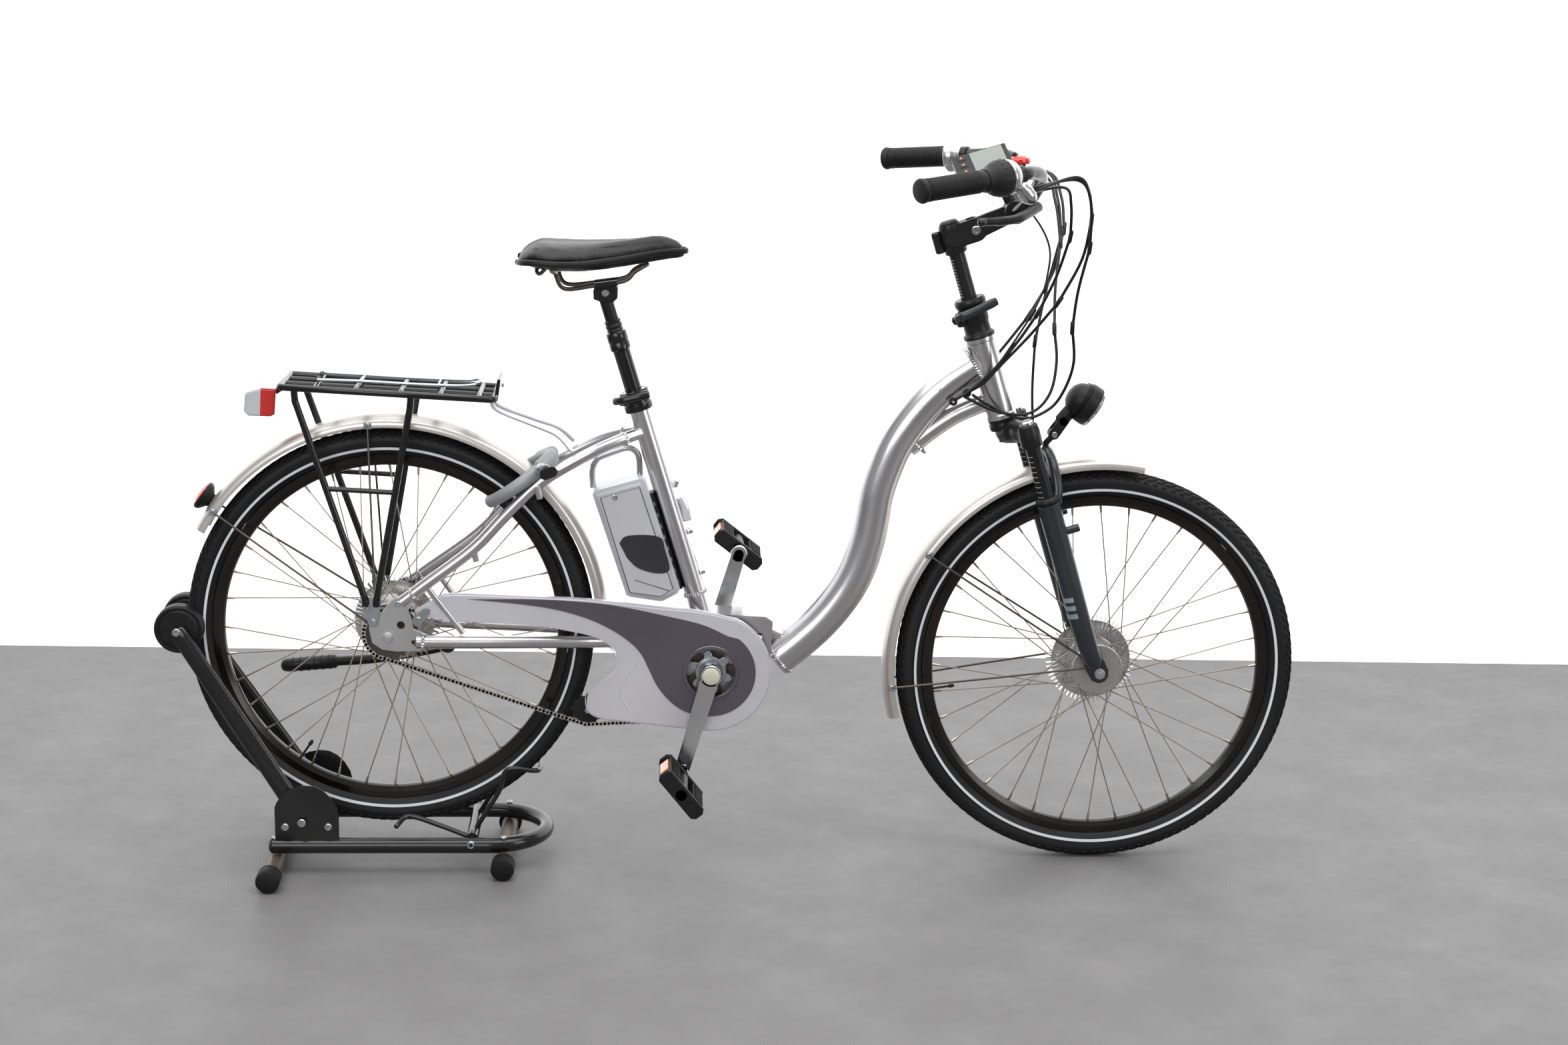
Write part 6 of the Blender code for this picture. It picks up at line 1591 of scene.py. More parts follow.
def ring_lock():
    shell = tube(on_lock(0.064, -148, 148, 60), 0.0092, 24, flat=1.12)
    block_ = tube(on_lock(0.0655, -52, -8, 12), 0.0108, 20, flat=1.2, soft_end=True)
    other = tube(on_lock(0.0655, 12, 58, 12), 0.0104, 20, flat=1.2, soft_end=True)
    piece("lock_shell", [shell, block_, other], lock_grey, "frame", "lock_grey", "ring_lock", angle=50)
    piece("lock_bow", tube(on_lock(0.064, 62, 150, 30), 0.0038, 16, soft_end=True), polished, "lock_shackle",
        "zinc_steel", "lock_shackle")
    barrel = lathe([(0, 0), (0.01, 0), (0.0105, 0.002), (0.0105, 0.018), (0.009, 0.021), (0, 0.021)],
                   LOCK_CENTRE + LOCK_ALONG * 0.046 + Vector((0, -0.062, 0)), (0.35, -1, 0.1), 32)
    key = [plate(capsule((0.236, 0.281), (0.247, 0.287), 0.0075, 0.0085, 8), -0.0895, -0.0865, 0.0008),
           tube([at(0.23, 0.276, -0.078), at(0.235, 0.279, -0.088)], 0.0026, 10)]
    piece("lock_barrel", barrel, zinc, "frame", "zinc_steel")
    piece("lock_key", key, moulded, "frame", "black_plastic")
    knob = [tube(curve([LOCK_CENTRE + LOCK_ALONG * 0.02 + Vector((0, 0.068, 0)),
        LOCK_CENTRE + LOCK_ALONG * 0.02 + Vector((0, 0.08, 0))], 2), [0.0065, 0.008, 0.0085], 20, soft_end=True)]
    piece("lock_knob", knob, moulded, "lock_shackle", "black_plastic")


ring_lock()


# %% Side stand
def kickstand():
    leg = tube(curve([(0.085, 0.086, -0.048), (0.06, 0.087, -0.058), (-0.032, 0.095, -0.081),
        (-0.098, 0.107, -0.093)], 6), 0.008, 24)
    sleeve = tube([(-0.096, 0.1064, -0.0927), (-0.101, 0.1076, -0.0936), (-0.18, 0.1188, -0.1074),
        (-0.19, 0.12, -0.109)], [0.0095, 0.0115, 0.0115, 0.01], 24, soft_end=True)
    boss = lathe([(0, -0.01), (0.0118, -0.01), (0.013, -0.008), (0.013, 0.0075), (0.012, 0.009), (0, 0.009)],
                 (0.085, 0.086, -0.048), (0, 1, 0), 40)
    rings = [lathe([(0.0112, -0.0012), (0.0124, -0.0008), (0.0124, 0.0008), (0.0112, 0.0012)],
        (-0.11 - 0.012 * i, 0.1089 + 0.0017 * i, -0.0952 - 0.0021 * i), (-0.97, 0.14, -0.17), 28) for i in range(6)]
    piece("side_stand_leg", [leg, sleeve, boss], satin_black, "kickstand", "black_enamel", "kickstand", angle=50)
    piece("side_stand_rings", rings, moulded, "kickstand", "black_plastic")
    piece("side_stand_pin", bolt((0.085, 0.0955, -0.048), (0, 1, 0), 0.006, 0.004), zinc, "kickstand", "zinc_steel")


kickstand()

# %% [markdown]
# ## Fork and headlight
#
# The fork's bright-edged lowers slide on black stanchions.  The brace over the tyre belongs to the
# lowers, and so does the lamp on it, so both travel when the fork is pressed down.


# %% Fork crown, legs and brace
LEG_Y = 0.066
LEG_T = 0.03


def fork():
    crown = tube(curve([steer(-0.162, LEG_T, -LEG_Y), steer(-0.159, 0.018, -0.034), steer(-0.159, 0.004, 0),
        steer(-0.159, 0.018, 0.034), steer(-0.162, LEG_T, LEG_Y)], 6),
        [0.015] * 4 + [0.0165] * 4 + [0.0195] * 3 + [0.0212] * 3 + [0.0195] * 3 + [0.0165] * 4 + [0.015] * 4, 28)
    race = lathe([(0.01, 0), (0.0225, 0), (0.0235, 0.003), (0.0235, 0.009), (0.0222, 0.0115), (0.0222, 0.0135),
        (0.0232, 0.015), (0.0232, 0.0178), (0.01, 0.0178)], steer(-0.1535, 0), STEER_UP, 56)
    steerer = tube([steer(-0.174, 0), steer(0.0, 0)], 0.0143, 32)
    parts = [crown, race, steerer]
    for side in (-1, 1):
        parts.append(tube([steer(-0.4, LEG_T, side * LEG_Y), steer(-0.15, LEG_T, side * LEG_Y)], 0.0125, 32))
        parts.append(lathe([(0, 0), (0.0168, 0), (0.0175, 0.0015), (0.0175, 0.026), (0.0165, 0.03), (0.0165, 0.0345),
            (0.014, 0.0365), (0, 0.037)], steer(-0.182, LEG_T, side * LEG_Y), STEER_UP, 40))
    piece("fork_crown_body", parts, satin_black, "fork", "black_enamel", "fork_crown", angle=50)
    dials = [lathe([(0, 0), (0.0118, 0), (0.0118, 0.004), (0.0095, 0.006), (0, 0.0065)],
        steer(-0.145, LEG_T, side * LEG_Y), STEER_UP, 24) for side in (-1, 1)]
    piece("fork_dials", dials, polished, "fork", "zinc_steel")
    lines = []
    for side in (-1, 1):
        for i in range(9):
            lines.append(lathe([(0.0124, -0.0003), (0.0127, -0.0003), (0.0127, 0.0003), (0.0124, 0.0003)],
                steer(-0.196 - 0.0085 * i, LEG_T, side * LEG_Y), STEER_UP, 28, 3.6, 1.6 if i % 2 else 2.4))
    piece("stanchion_scale", lines, stripe_white, "fork", "silver_cover")
    seals = [lathe([(0.0128, 0), (0.0192, 0), (0.0196, 0.002), (0.019, 0.005), (0.0165, 0.0075), (0.015, 0.009),
        (0.0128, 0.009)], steer(-0.2765, LEG_T, side * LEG_Y), STEER_UP, 40) for side in (-1, 1)]
    piece("fork_seals", seals, moulded, "fork_lowers", "black_plastic")


def fork_lowers():
    parts, holes = [], []
    tab = [steer(-0.577 + ds, 0.039 + dt) for ds, dt in ((0.056, -0.016), (0.056, -0.002), (0.03, 0.008),
        (0.016, 0.013), (0.002, 0.015), (-0.01, 0.0115), (-0.0155, 0.004), (-0.0155, -0.006), (-0.008, -0.0155),
        (0.016, -0.021))]
    outline = [(p.x, p.z) for p in tab]
    for side in (-1, 1):
        y = side * LEG_Y
        parts.append(tube([steer(-0.275, LEG_T, y), steer(-0.28, LEG_T, y), steer(-0.3, LEG_T, y),
            steer(-0.385, LEG_T, y), steer(-0.47, LEG_T, y), steer(-0.52, LEG_T + 0.001, y),
            steer(-0.552, LEG_T + 0.004, y * 0.985), steer(-0.562, LEG_T + 0.006, y * 0.96)],
            [0.0184, 0.019, 0.0184, 0.0178, 0.0172, 0.016, 0.014, 0.0105], 36, soft_end=True))
        parts.append(plate(outline, *sorted((side * 0.0515, side * 0.0575)), 0.0015))
        parts.append(tube([steer(-0.33, LEG_T + 0.01, y), steer(-0.33, LEG_T + 0.036, y),
            steer(-0.33, LEG_T + 0.038, y)], [0.0065, 0.0065, 0.0055], 20))
    arch = tube(curve([steer(-0.286, LEG_T + 0.008, -LEG_Y + 0.004), steer(-0.262, LEG_T + 0.021, -0.06),
        steer(-0.222, LEG_T + 0.026, -0.04), steer(-0.2083, LEG_T + 0.0262, 0.0), steer(-0.222, LEG_T + 0.026, 0.04),
        steer(-0.262, LEG_T + 0.021, 0.06), steer(-0.286, LEG_T + 0.008, LEG_Y - 0.004)], 6),
        [0.0085] * 4 + [0.0072] * 29 + [0.0085] * 4, 20, flat=1.15)
    parts.append(arch)
    piece("fork_legs", parts, fork_grey, "fork_lowers", "fork_grey", "fork_lowers", angle=45)
    arm = tube(curve([steer(-0.2083, LEG_T + 0.0262), at(1.0325, 0.3625), at(1.0395, 0.3725), at(1.0431, 0.3797)], 5),
        0.0052, 18)
    eye = turned_to(lathe([(0.003, -0.008), (0.0075, -0.008), (0.008, -0.007), (0.008, 0.007), (0.0075, 0.008),
        (0.003, 0.008)], steps=32), (0, 1, 0), at(1.0431, 0.3797))
    piece("lamp_arm", [arm, eye], satin_black, "fork_lowers", "black_enamel")
    motif = []
    for side in (-1, 1):
        for i in range(3):
            motif.append(lathe([(0.0171 + 0.0002, -0.004), (0.0176 + 0.0002, -0.004), (0.0176 + 0.0002, 0.004),
                (0.0171 + 0.0002, 0.004)], steer(-0.438 - 0.014 * i, LEG_T, side * LEG_Y), STEER_UP, 28,
                3.3 if side < 0 else 0.2, 1.1 + 0.35 * i))
    piece("leg_motif", motif, fork_motif, "fork_lowers", "fork_grey")
    bolts = [bolt(steer(-0.213, LEG_T + 0.033, 0), STEER_FWD, 0.0045, 0.003)]
    for side in (-1, 1):
        bolts.append(bolt(steer(-0.532, 0.033, side * 0.058), (0, side, 0), 0.004, 0.003))
    piece("fork_screws", bolts, zinc, "fork_lowers", "zinc_steel")
    cable = tube(curve([steer(-0.262, LEG_T - 0.002, 0.04), steer(-0.33, LEG_T - 0.01, 0.048),
        steer(-0.42, LEG_T - 0.004, 0.046), steer(-0.5, LEG_T + 0.01, 0.04)], 8), 0.0022, 12)
    piece("brake_line_on_leg", cable, cable_black, "fork_lowers", "grip_rubber")


fork()
fork_lowers()


# %% Headlight
def headlight():
    centre = at(1.088, 0.434)
    aim = Vector((cos(radians(-30)), 0, sin(radians(-30))))
    bowl = lathe([(0, -0.03), (0.0075, -0.0294), (0.015, -0.027), (0.0215, -0.022), (0.0255, -0.016), (0.028, -0.009),
        (0.029, -0.003), (0.033, -0.002), (0.0335, 0.002), (0.0335, 0.015), (0.0325, 0.0172), (0.03, 0.0175),
        (0, 0.015)], centre, aim, 56)
    stalk = tube(curve([at(1.048, 0.393), at(1.056, 0.404), at(1.065, 0.416), at(1.074, 0.427)], 4),
        [0.0072] * 3 + [0.01] * 7 + [0.0092] * 3, 24, flat=1.15, soft_end=True)
    cheeks = [plate(capsule((1.0431, 0.3797), (1.056, 0.401), 0.0085, 0.0082, 8),
        *sorted((side * 0.0084, side * 0.0118)), 0.0008) for side in (-1, 1)]
    yoke = tube([at(1.0575, 0.403, -0.0118), at(1.0575, 0.403, 0.0118)], 0.008, 20)
    fins = [lathe([(0.028, -0.0008), (0.0306, -0.0006), (0.0306, 0.0006), (0.028, 0.0008)],
        centre + aim * (-0.0055 - 0.003 * i), aim, 48) for i in range(2)]
    piece("lamp_body", [bowl, stalk, *cheeks, yoke, *fins], moulded, "headlight", "black_plastic", "headlight",
        angle=40)
    trim = lathe([(0.0302, 0.013), (0.033, 0.015), (0.0332, 0.0195), (0.0318, 0.0212), (0.0296, 0.02)], centre, aim, 56)
    piece("lamp_trim", trim, polished, "headlight", "silver_cover")
    glass = lathe([(0, 0.017), (0.03, 0.017), (0.03, 0.0195), (0.024, 0.0222), (0.014, 0.0236), (0, 0.024)], centre,
        aim, 56)
    piece("lamp_glass", glass, lens_clear, "headlight", "lamp_lens")
    piece("lamp_pivot", [bolt(at(1.0431, 0.3797, side * 0.0118), (0, side, 0), 0.0048, 0.0022, 24) for side in (-1,
        1)], zinc, "headlight", "zinc_steel")


headlight()

# %% [markdown]
# ## Steering column
#
# The bar post telescopes in a clamp above the head tube.  White marks on it show how far it is out.


# %% Height clamp, post and stem
STEM_PIVOT = at(0.889, 0.699)
BAR_CLAMP = at(0.9503, 0.7309)


def column():
    profile = [(0.0134, 0), (0.024, 0), (0.0255, 0.001), (0.0255, 0.0045), (0.024, 0.006), (0.0215, 0.008),
        (0.0212, 0.01), (0.0212, 0.022), (0.0222, 0.026), (0.023, 0.029), (0.023, 0.049), (0.024, 0.052),
        (0.0255, 0.0535), (0.0255, 0.06), (0.0232, 0.064), (0.0134, 0.064)]
    collar = lathe(profile, steer(0.0004, 0), STEER_UP, 56)
    lug = tube([steer(0.025, -0.0225, -0.012), steer(0.048, -0.0225, -0.012)], 0.0082, 24, soft_end=True)
    ears = [plate(capsule((steer(0.035, -0.012).x, steer(0.035, -0.012).z),
        (steer(0.035, -0.03).x, steer(0.035, -0.03).z), 0.009, 0.006, 6), *sorted((s * 0.004, s * 0.0085)),
        0.001) for s in (-1, 1)]
    piece("height_collar", [collar, lug, *ears], satin_black, "fork", "black_enamel", "height_clamp", angle=45)
    piece("height_bolt", [bolt(steer(0.035, -0.027, side * 0.0085), (0, side, 0), 0.0042, 0.003) for side in (-1, 1)],
        polished, "fork", "zinc_steel")
    lever = tube(curve([steer(0.042, -0.026, -0.026), steer(0.044, -0.012, -0.0305), steer(0.048, 0.015, -0.0305),
        steer(0.0521, 0.04, -0.029)], 6), [0.0048] * 3 + [0.0056] * 14 + [0.005] * 2, 20, flat=1.35, soft_end=True)
    hub_ = tube([steer(0.042, -0.026, -0.022), steer(0.042, -0.026, -0.031)], 0.0062, 20, soft_end=True)
    piece("height_quick_lever", [lever, hub_], fork_grey, "height_lever", "black_enamel", "height_lever")
    post = tube([steer(-0.1, 0), steer(0.14, 0)], 0.013, 36)
    sleeve = lathe([(0, 0), (0.0165, 0), (0.018, 0.002), (0.018, 0.044), (0.017, 0.0475), (0.012, 0.049),
        (0, 0.0495)], steer(0.139, 0), STEER_UP, 44)
    block_ = plate(capsule((STEM_PIVOT.x, STEM_PIVOT.z), (0.856, 0.685), 0.0188, 0.0178, 12), -0.0188, 0.0188, 0.003)
    block_ = cut(block_, [plate(capsule((STEM_PIVOT.x, STEM_PIVOT.z), (0.93, 0.72), 0.0205, 0.02, 10), -0.0105,
        0.0105)])
    lug = tube([steer(0.145, -0.024), steer(0.18, -0.024)], 0.0078, 20, soft_end=True)
    piece("stem_socket", [post, sleeve, block_, lug], satin_black, "bar_post", "black_enamel", "bar_post", angle=40)
    marks = []
    for i in range(13):
        marks.append(lathe([(0.0128, -0.00035), (0.0132, -0.00035), (0.0132, 0.00035), (0.0128, 0.00035)],
            steer(0.07 + 0.005 * i, 0), STEER_UP, 24, 3.9, 1.5 if i % 4 == 0 else 0.8))
    piece("height_marks", marks, stripe_white, "bar_post", "silver_cover")
    heads = [bolt(at(x, z), (-0.93, 0, -0.36), 0.0044, 0.003) for x, z in ((0.8372, 0.689), (0.8425, 0.6712))]
    heads += [bolt(at(STEM_PIVOT.x, STEM_PIVOT.z, side * 0.0188), (0, side, 0), 0.0072, 0.003, 20) for side in (-1, 1)]
    piece("stem_bolts", heads, polished, "bar_post", "zinc_steel")
    cap = lathe([(0, 0), (0.015, 0), (0.0152, 0.002), (0.012, 0.005), (0, 0.006)], steer(0.187, 0), STEER_UP, 36)
    piece("post_cap", cap, moulded, "bar_post", "black_plastic")
    arm = plate(capsule((STEM_PIVOT.x, STEM_PIVOT.z), (BAR_CLAMP.x, BAR_CLAMP.z), 0.0168, 0.0138, 12), -0.0098,
        0.0098, 0.003)
    clamp = lathe([(0.0113, -0.021), (0.0175, -0.021), (0.0185, -0.0195), (0.0185, 0.0195), (0.0175, 0.021),
        (0.0113, 0.021)], BAR_CLAMP, (0, 1, 0), 44)
    piece("stem_forging", [arm, clamp], satin_black, "handlebar", "black_enamel", "stem_arm", angle=40)
    ring = lathe([(0.0182, -0.0016), (0.0189, -0.0016), (0.0189, 0.0016), (0.0182, 0.0016)],
        BAR_CLAMP + Vector((0, -0.015, 0)), (0, 1, 0), 44)
    face = [bolt(BAR_CLAMP + Vector((0.0165, s * 0.0125, 0.005)), (0.93, 0, 0.36), 0.0034, 0.0026) for s in (-1, 1)]
    piece("stem_face", [ring, *face], polished, "handlebar", "zinc_steel")


column()

# %% [markdown]
# ## Handlebar and its fittings
#
# The grips, shifter and levers are turned shapes on the bar's own line, so they stay true to it.


# %% Bar, grips and shifter
GRIP_AIM = Vector((0.83, 0.54, 0.13)).normalized()
BAR_END = Vector((0.765, -0.303, 0.778))


def along_grip(distance, side):
    p = BAR_END + GRIP_AIM * distance
    return Vector((p.x, -side * p.y, p.z))


def grip_axis(side):
    return Vector((GRIP_AIM.x, -side * GRIP_AIM.y, GRIP_AIM.z))


def ribs(first, last, count, low, high, width=0.5):
    """A profile of (radius, place) pairs with a rounded rib for each step."""
    out = []
    for i in range(count):
        a = first + (last - first) * i / count
        step = (last - first) / count
        out += [(low, a), (low, a + step * (1 - width) * 0.5), (high, a + step * (1 - width) * 0.5 + step * 0.1),
                (high, a + step * (1 + width) * 0.5 - step * 0.1), (low, a + step * (1 + width) * 0.5)]
    return out


def bar_and_grips():
    half = [along_grip(0.004, -1), along_grip(0.1, -1), along_grip(0.19, -1), Vector((0.944, -0.176, 0.806)),
        Vector((0.964, -0.14, 0.801)), Vector((0.969, -0.105, 0.783)), Vector((0.962, -0.07, 0.756)),
        Vector((0.953, -0.04, 0.736)), BAR_CLAMP + Vector((0, -0.02, 0))]
    left = [Vector((p.x, -p.y, p.z)) for p in half]
    piece("bar_tube", tube(curve(half + left[::-1], 6), 0.0111, 28), gloss_black, "handlebar", "black_enamel",
        "handlebar")
    for name, side in (("grip_right", -1), ("grip_left", 1)):
        profile = [(0, 0.0), (0.014, 0.0), (0.0172, 0.0012), (0.0188, 0.004), (0.0186, 0.0075), (0.0172, 0.0095)]
        profile += ribs(0.011, 0.019, 2, 0.0166, 0.0176)
        profile += ribs(0.021, 0.112, 20, 0.0164, 0.0173, 0.62)
        profile += [(0.016, 0.113), (0.0163, 0.115), (0.0166, 0.1215), (0.0116, 0.122), (0.0116, 0.0035), (0, 0.0035)]
        piece(name + "_rubber", lathe(profile, along_grip(0, side), grip_axis(side), 44), grip_black, "handlebar",
            "grip_rubber", name, angle=50)
    near = 0.1224
    profile = [(0.0116, near), (0.0176, near), (0.018, near + 0.002), (0.018, near + 0.006), (0.0198, near + 0.0105),
        (0.0235, near + 0.015), (0.0258, near + 0.02), (0.0272, near + 0.027), (0.028, near + 0.03),
        (0.028, near + 0.0385), (0.0272, near + 0.04), (0.0116, near + 0.04)]
    piece("shifter_bell", lathe(profile, along_grip(0, -1), GRIP_AIM, 56), grip_black, "twist_shifter", "grip_rubber",
        "twist_shifter")
    side_axis = GRIP_AIM.orthogonal().normalized()
    ridges = []
    for i in range(18):
        spin = Matrix.Rotation(2 * pi * i / 18, 3, GRIP_AIM) @ side_axis
        ridges.append(tube([along_grip(near + 0.0225, -1) + spin * 0.0262,
            along_grip(near + 0.038, -1) + spin * 0.0278], [0.001, 0.0014], 8, soft_end=True))
    piece("shifter_ridges", ridges, grip_black, "twist_shifter", "grip_rubber")


def levers():
    near = 0.1224
    for name, side, start in (("right", -1, near + 0.0404), ("left", 1, near)):
        axis, low = grip_axis(side), along_grip(start, side)
        drum = lathe([(0.0116, 0), (0.0258, 0), (0.027, 0.0012), (0.027, 0.004), (0.0262, 0.009), (0.0245, 0.014),
            (0.0195, 0.019), (0.0158, 0.0225), (0.015, 0.024), (0.0116, 0.024)], low, axis, 56)
        mid = along_grip(start + 0.011, side)
        nose = tube(curve([mid + Vector((0.014, 0, -0.011)), mid + Vector((0.024, -side * 0.004, -0.02)),
            mid + Vector((0.032, -side * 0.007, -0.028)), mid + Vector((0.041, -side * 0.01, -0.035))], 5),
            [0.0118] * 5 + [0.013] * 6 + [0.012, 0.011, 0.0095, 0.008, 0.007], 24, soft_end=True)
        piece(name + "_lever_housing", [drum, nose], tube_silver, "handlebar", "silver_cover", name + "_lever_mount",
            angle=45)
        screw = [bolt(mid + Vector((0.03, -side * 0.02, -0.018)), (0.2, -side * 1.0, 0.35), 0.0046, 0.0024, 24)]
        clamp = lathe([(0.0112, 0.0235), (0.0146, 0.0235), (0.015, 0.025), (0.015, 0.033), (0.0146, 0.0345),
            (0.0112, 0.0345)], low, axis, 40)
        piece(name + "_lever_clamp", [clamp, *screw], satin_black, "handlebar", "black_enamel")
        root = mid + Vector((0.05, -side * 0.012, -0.042))
        tip = Vector((0.862, side * 0.262 if side > 0 else -0.29, 0.738))
        middle_ = root.lerp(tip, 0.5) + Vector((0.008, side * 0.006, -0.006))
        blade = tube(curve([root, middle_, tip], 9),
            [0.0062] * 4 + [0.0058] * 5 + [0.0053] * 6 + [0.0048] * 3 + [0.005], 20, flat=1.25, soft_end=True)
        ball = bmesh.new()
        bmesh.ops.create_uvsphere(ball, u_segments=20, v_segments=12, radius=0.0066)
        bmesh.ops.translate(ball, verts=ball.verts, vec=tip)
        piece(name + "_lever_blade", [blade, closed_mesh(ball)], gloss_black, name + "_brake_lever", "black_enamel",
            name + "_brake_lever", angle=60)
        nut = tube([mid + Vector((0.038, -side * 0.012, -0.02)), mid + Vector((0.052, -side * 0.019, -0.016))],
            [0.0042, 0.0034], 16)
        piece(name + "_cable_nut", nut, zinc, "handlebar", "zinc_steel")


def display():
    tilt = BIKE @ Matrix.Translation(at(0.893, 0.801)) @ Matrix.Rotation(radians(-20), 4,
        "Y") @ Matrix.Rotation(radians(28), 4, "X")
    top = 0.0085
    piece("display_case", box((-0.044, -0.034, -0.009), (0.044, 0.034, top), 0.0055), moulded, "handlebar",
        "black_plastic", "display", tilt)
    piece("display_glass", box((-0.015, -0.0265, top - 0.001), (0.037, 0.0265, top + 0.0006), 0.0004), screen,
        "handlebar", "black_plastic", (), tilt)
    keys = [box((-0.035, -0.026 + 0.019 * i, top - 0.001), (-0.023, -0.012 + 0.019 * i, top + 0.0009),
        0.0008) for i in range(3)]
    piece("display_keys", keys, satin_black, "handlebar", "black_plastic", (), tilt)
    dots = [box((-0.031, -0.021 + 0.019 * i, top + 0.0005),
        (-0.028, -0.017 + 0.019 * i, top + 0.0012)) for i in range(3)]
    piece("display_marks", dots, amber, "handlebar", "lamp_lens", (), tilt)
    arm = tube(curve([at(0.909, 0.808), at(0.918, 0.79), at(0.93, 0.766), at(0.941, 0.746)], 5),
        [0.0085] * 5 + [0.0075] * 6 + [0.007] * 5, 20, flat=1.3)
    piece("display_arm", arm, moulded, "handlebar", "black_plastic")
    bell = lathe([(0, 0), (0.019, 0), (0.0205, 0.003), (0.02, 0.0075), (0.016, 0.012), (0.009, 0.0148), (0, 0.0155)],
                 (0.964, 0.101, 0.796), (-0.2, 0.15, 0.97), 40)
    piece("bell_cover", bell, bell_red, "handlebar", "lamp_lens")
    foot = [lathe([(0.0111, -0.006), (0.0135, -0.006), (0.0135, 0.006), (0.0111, 0.006)], (0.969, 0.105, 0.783),
        (-0.1, 0.55, 0.82), 32), tube([(0.968, 0.104, 0.786), (0.964, 0.101, 0.797)], 0.005, 16),
        tube([(0.956, 0.099, 0.811), (0.9545, 0.0985, 0.816)], [0.005, 0.004], 16, soft_end=True)]
    piece("bell_foot", foot, moulded, "handlebar", "black_plastic")


bar_and_grips()
levers()
display()

# %% [markdown]
# ## Cables
#
# Each control cable runs from the bar to the frame, across three joints: the stem's tilt, the post's
# height and the steering.  One piece can bend over one joint only, so a cable is cut where sleeves
# join it, and each part blends between the two bodies on either side of its joint.


# %% Cables that bend with the steering
def world(p):
    return tuple(BIKE @ Vector(p))


def cable(name, route, radius, start, end, stands_for=()):
    """start and end are (body, place) at the two ends of the bend."""
    mesh = tube(curve(route, 6), radius, 12)
    mesh.transform(BIKE)
    mesh.materials.clear()
    mesh.materials.append(cable_black)
    mesh.shade_smooth()
    thing = bpy.data.objects.new(name, mesh)
    bpy.context.scene.collection.objects.link(thing)
    if start[0] == end[0]:
        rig.ride(thing, start[0])
    else:
        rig.blend(thing, start[0], end[0], world(start[1]), world(end[1]))
    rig.slot(thing, "grip_rubber")
    if stands_for:
        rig.replaces(thing, *stands_for)
    made.append(thing)


def run_of_cable(name, route, cuts, radius=0.0025, stands_for=(), last="frame"):
    """A route from the bar down; cuts are the two points where the sleeves join it."""
    top, middle_, low = route[:cuts[0] + 1], route[cuts[0]:cuts[1] + 1], route[cuts[1]:]
    cable(name + "_upper", top, radius, ("handlebar", top[0]), ("bar_post", top[-1]), stands_for)
    cable(name + "_middle", middle_, radius, ("bar_post", middle_[0]), ("fork", middle_[-1]))
    cable(name + "_lower", low, radius, ("fork", low[0]), (last, low[-1]))
    for i, n in enumerate(cuts):
        way = (Vector(route[n + 1]) - Vector(route[n - 1])).normalized()
        body = ("bar_post", "fork")[i]
        p = Vector(route[n])
        piece(f"{name}_sleeve_{i}", tube([p - way * 0.011, p - way * 0.009, p + way * 0.009, p + way * 0.011],
            [radius, radius + 0.0012, radius + 0.0012, radius], 14), satin_black, body, "grip_rubber")


GEAR_RUN = [(0.945, -0.201, 0.78), (1.015, -0.165, 0.803), (1.043, -0.13, 0.78), (1.056, -0.1, 0.735),
    (1.05, -0.08, 0.67), (1.022, -0.065, 0.6), (0.985, -0.052, 0.545), (0.942, -0.042, 0.49), (0.918, -0.037, 0.46),
    (0.896, -0.031, 0.443)]
BRAKE_RUN = [(0.915, 0.22, 0.776), (1.018, 0.16, 0.785), (1.04, 0.12, 0.75), (1.045, 0.09, 0.7), (1.03, 0.07, 0.63),
             (0.995, 0.056, 0.56), (0.955, 0.045, 0.505), (0.92, 0.038, 0.46), (0.896, 0.031, 0.443)]
SECOND = [(0.94, -0.198, 0.778), (1.002, -0.15, 0.785), (1.02, -0.115, 0.755), (1.028, -0.085, 0.705),
    (1.015, -0.065, 0.64), (0.993, -0.055, 0.58), (0.965, -0.048, 0.53), (0.93, -0.04, 0.48), (0.9, -0.035, 0.448),
    (0.875, -0.03, 0.428)]
LAMP_RUN = [(0.93, 0.01, 0.76), (0.975, -0.02, 0.73), (1.005, -0.035, 0.68), (1.003, -0.042, 0.62),
    (0.985, -0.045, 0.575), (0.955, -0.043, 0.52), (0.925, -0.038, 0.47), (0.9, -0.032, 0.448)]
run_of_cable("gear_line", GEAR_RUN, (3, 5), 0.0025, ("gear_cable",))
run_of_cable("brake_line", BRAKE_RUN, (3, 5), 0.0025, ("brake_cable",))
run_of_cable("second_line", SECOND, (3, 5), 0.0025)
run_of_cable("lamp_line", LAMP_RUN, (3, 4), 0.0018)
LOOP_RUN = [(0.942, -0.203, 0.785), (1.02, -0.156, 0.798), (1.05, -0.118, 0.76), (1.059, -0.09, 0.69),
    (1.05, -0.072, 0.62), (1.048, -0.062, 0.56), (1.056, -0.056, 0.505), (1.045, -0.052, 0.458),
    (1.024, -0.048, 0.426), (0.983, -0.043, 0.408), (0.929, -0.035, 0.426), (0.903, -0.031, 0.44)]
SHORT_LOOP = [(0.914, 0.218, 0.774), (1.01, 0.15, 0.78), (1.03, 0.11, 0.74), (1.038, 0.07, 0.68), (1.03, 0.03, 0.61),
    (1.028, -0.01, 0.55), (1.033, -0.03, 0.5), (1.024, -0.045, 0.45), (0.995, -0.045, 0.418), (0.945, -0.038, 0.416),
    (0.89, -0.031, 0.436)]
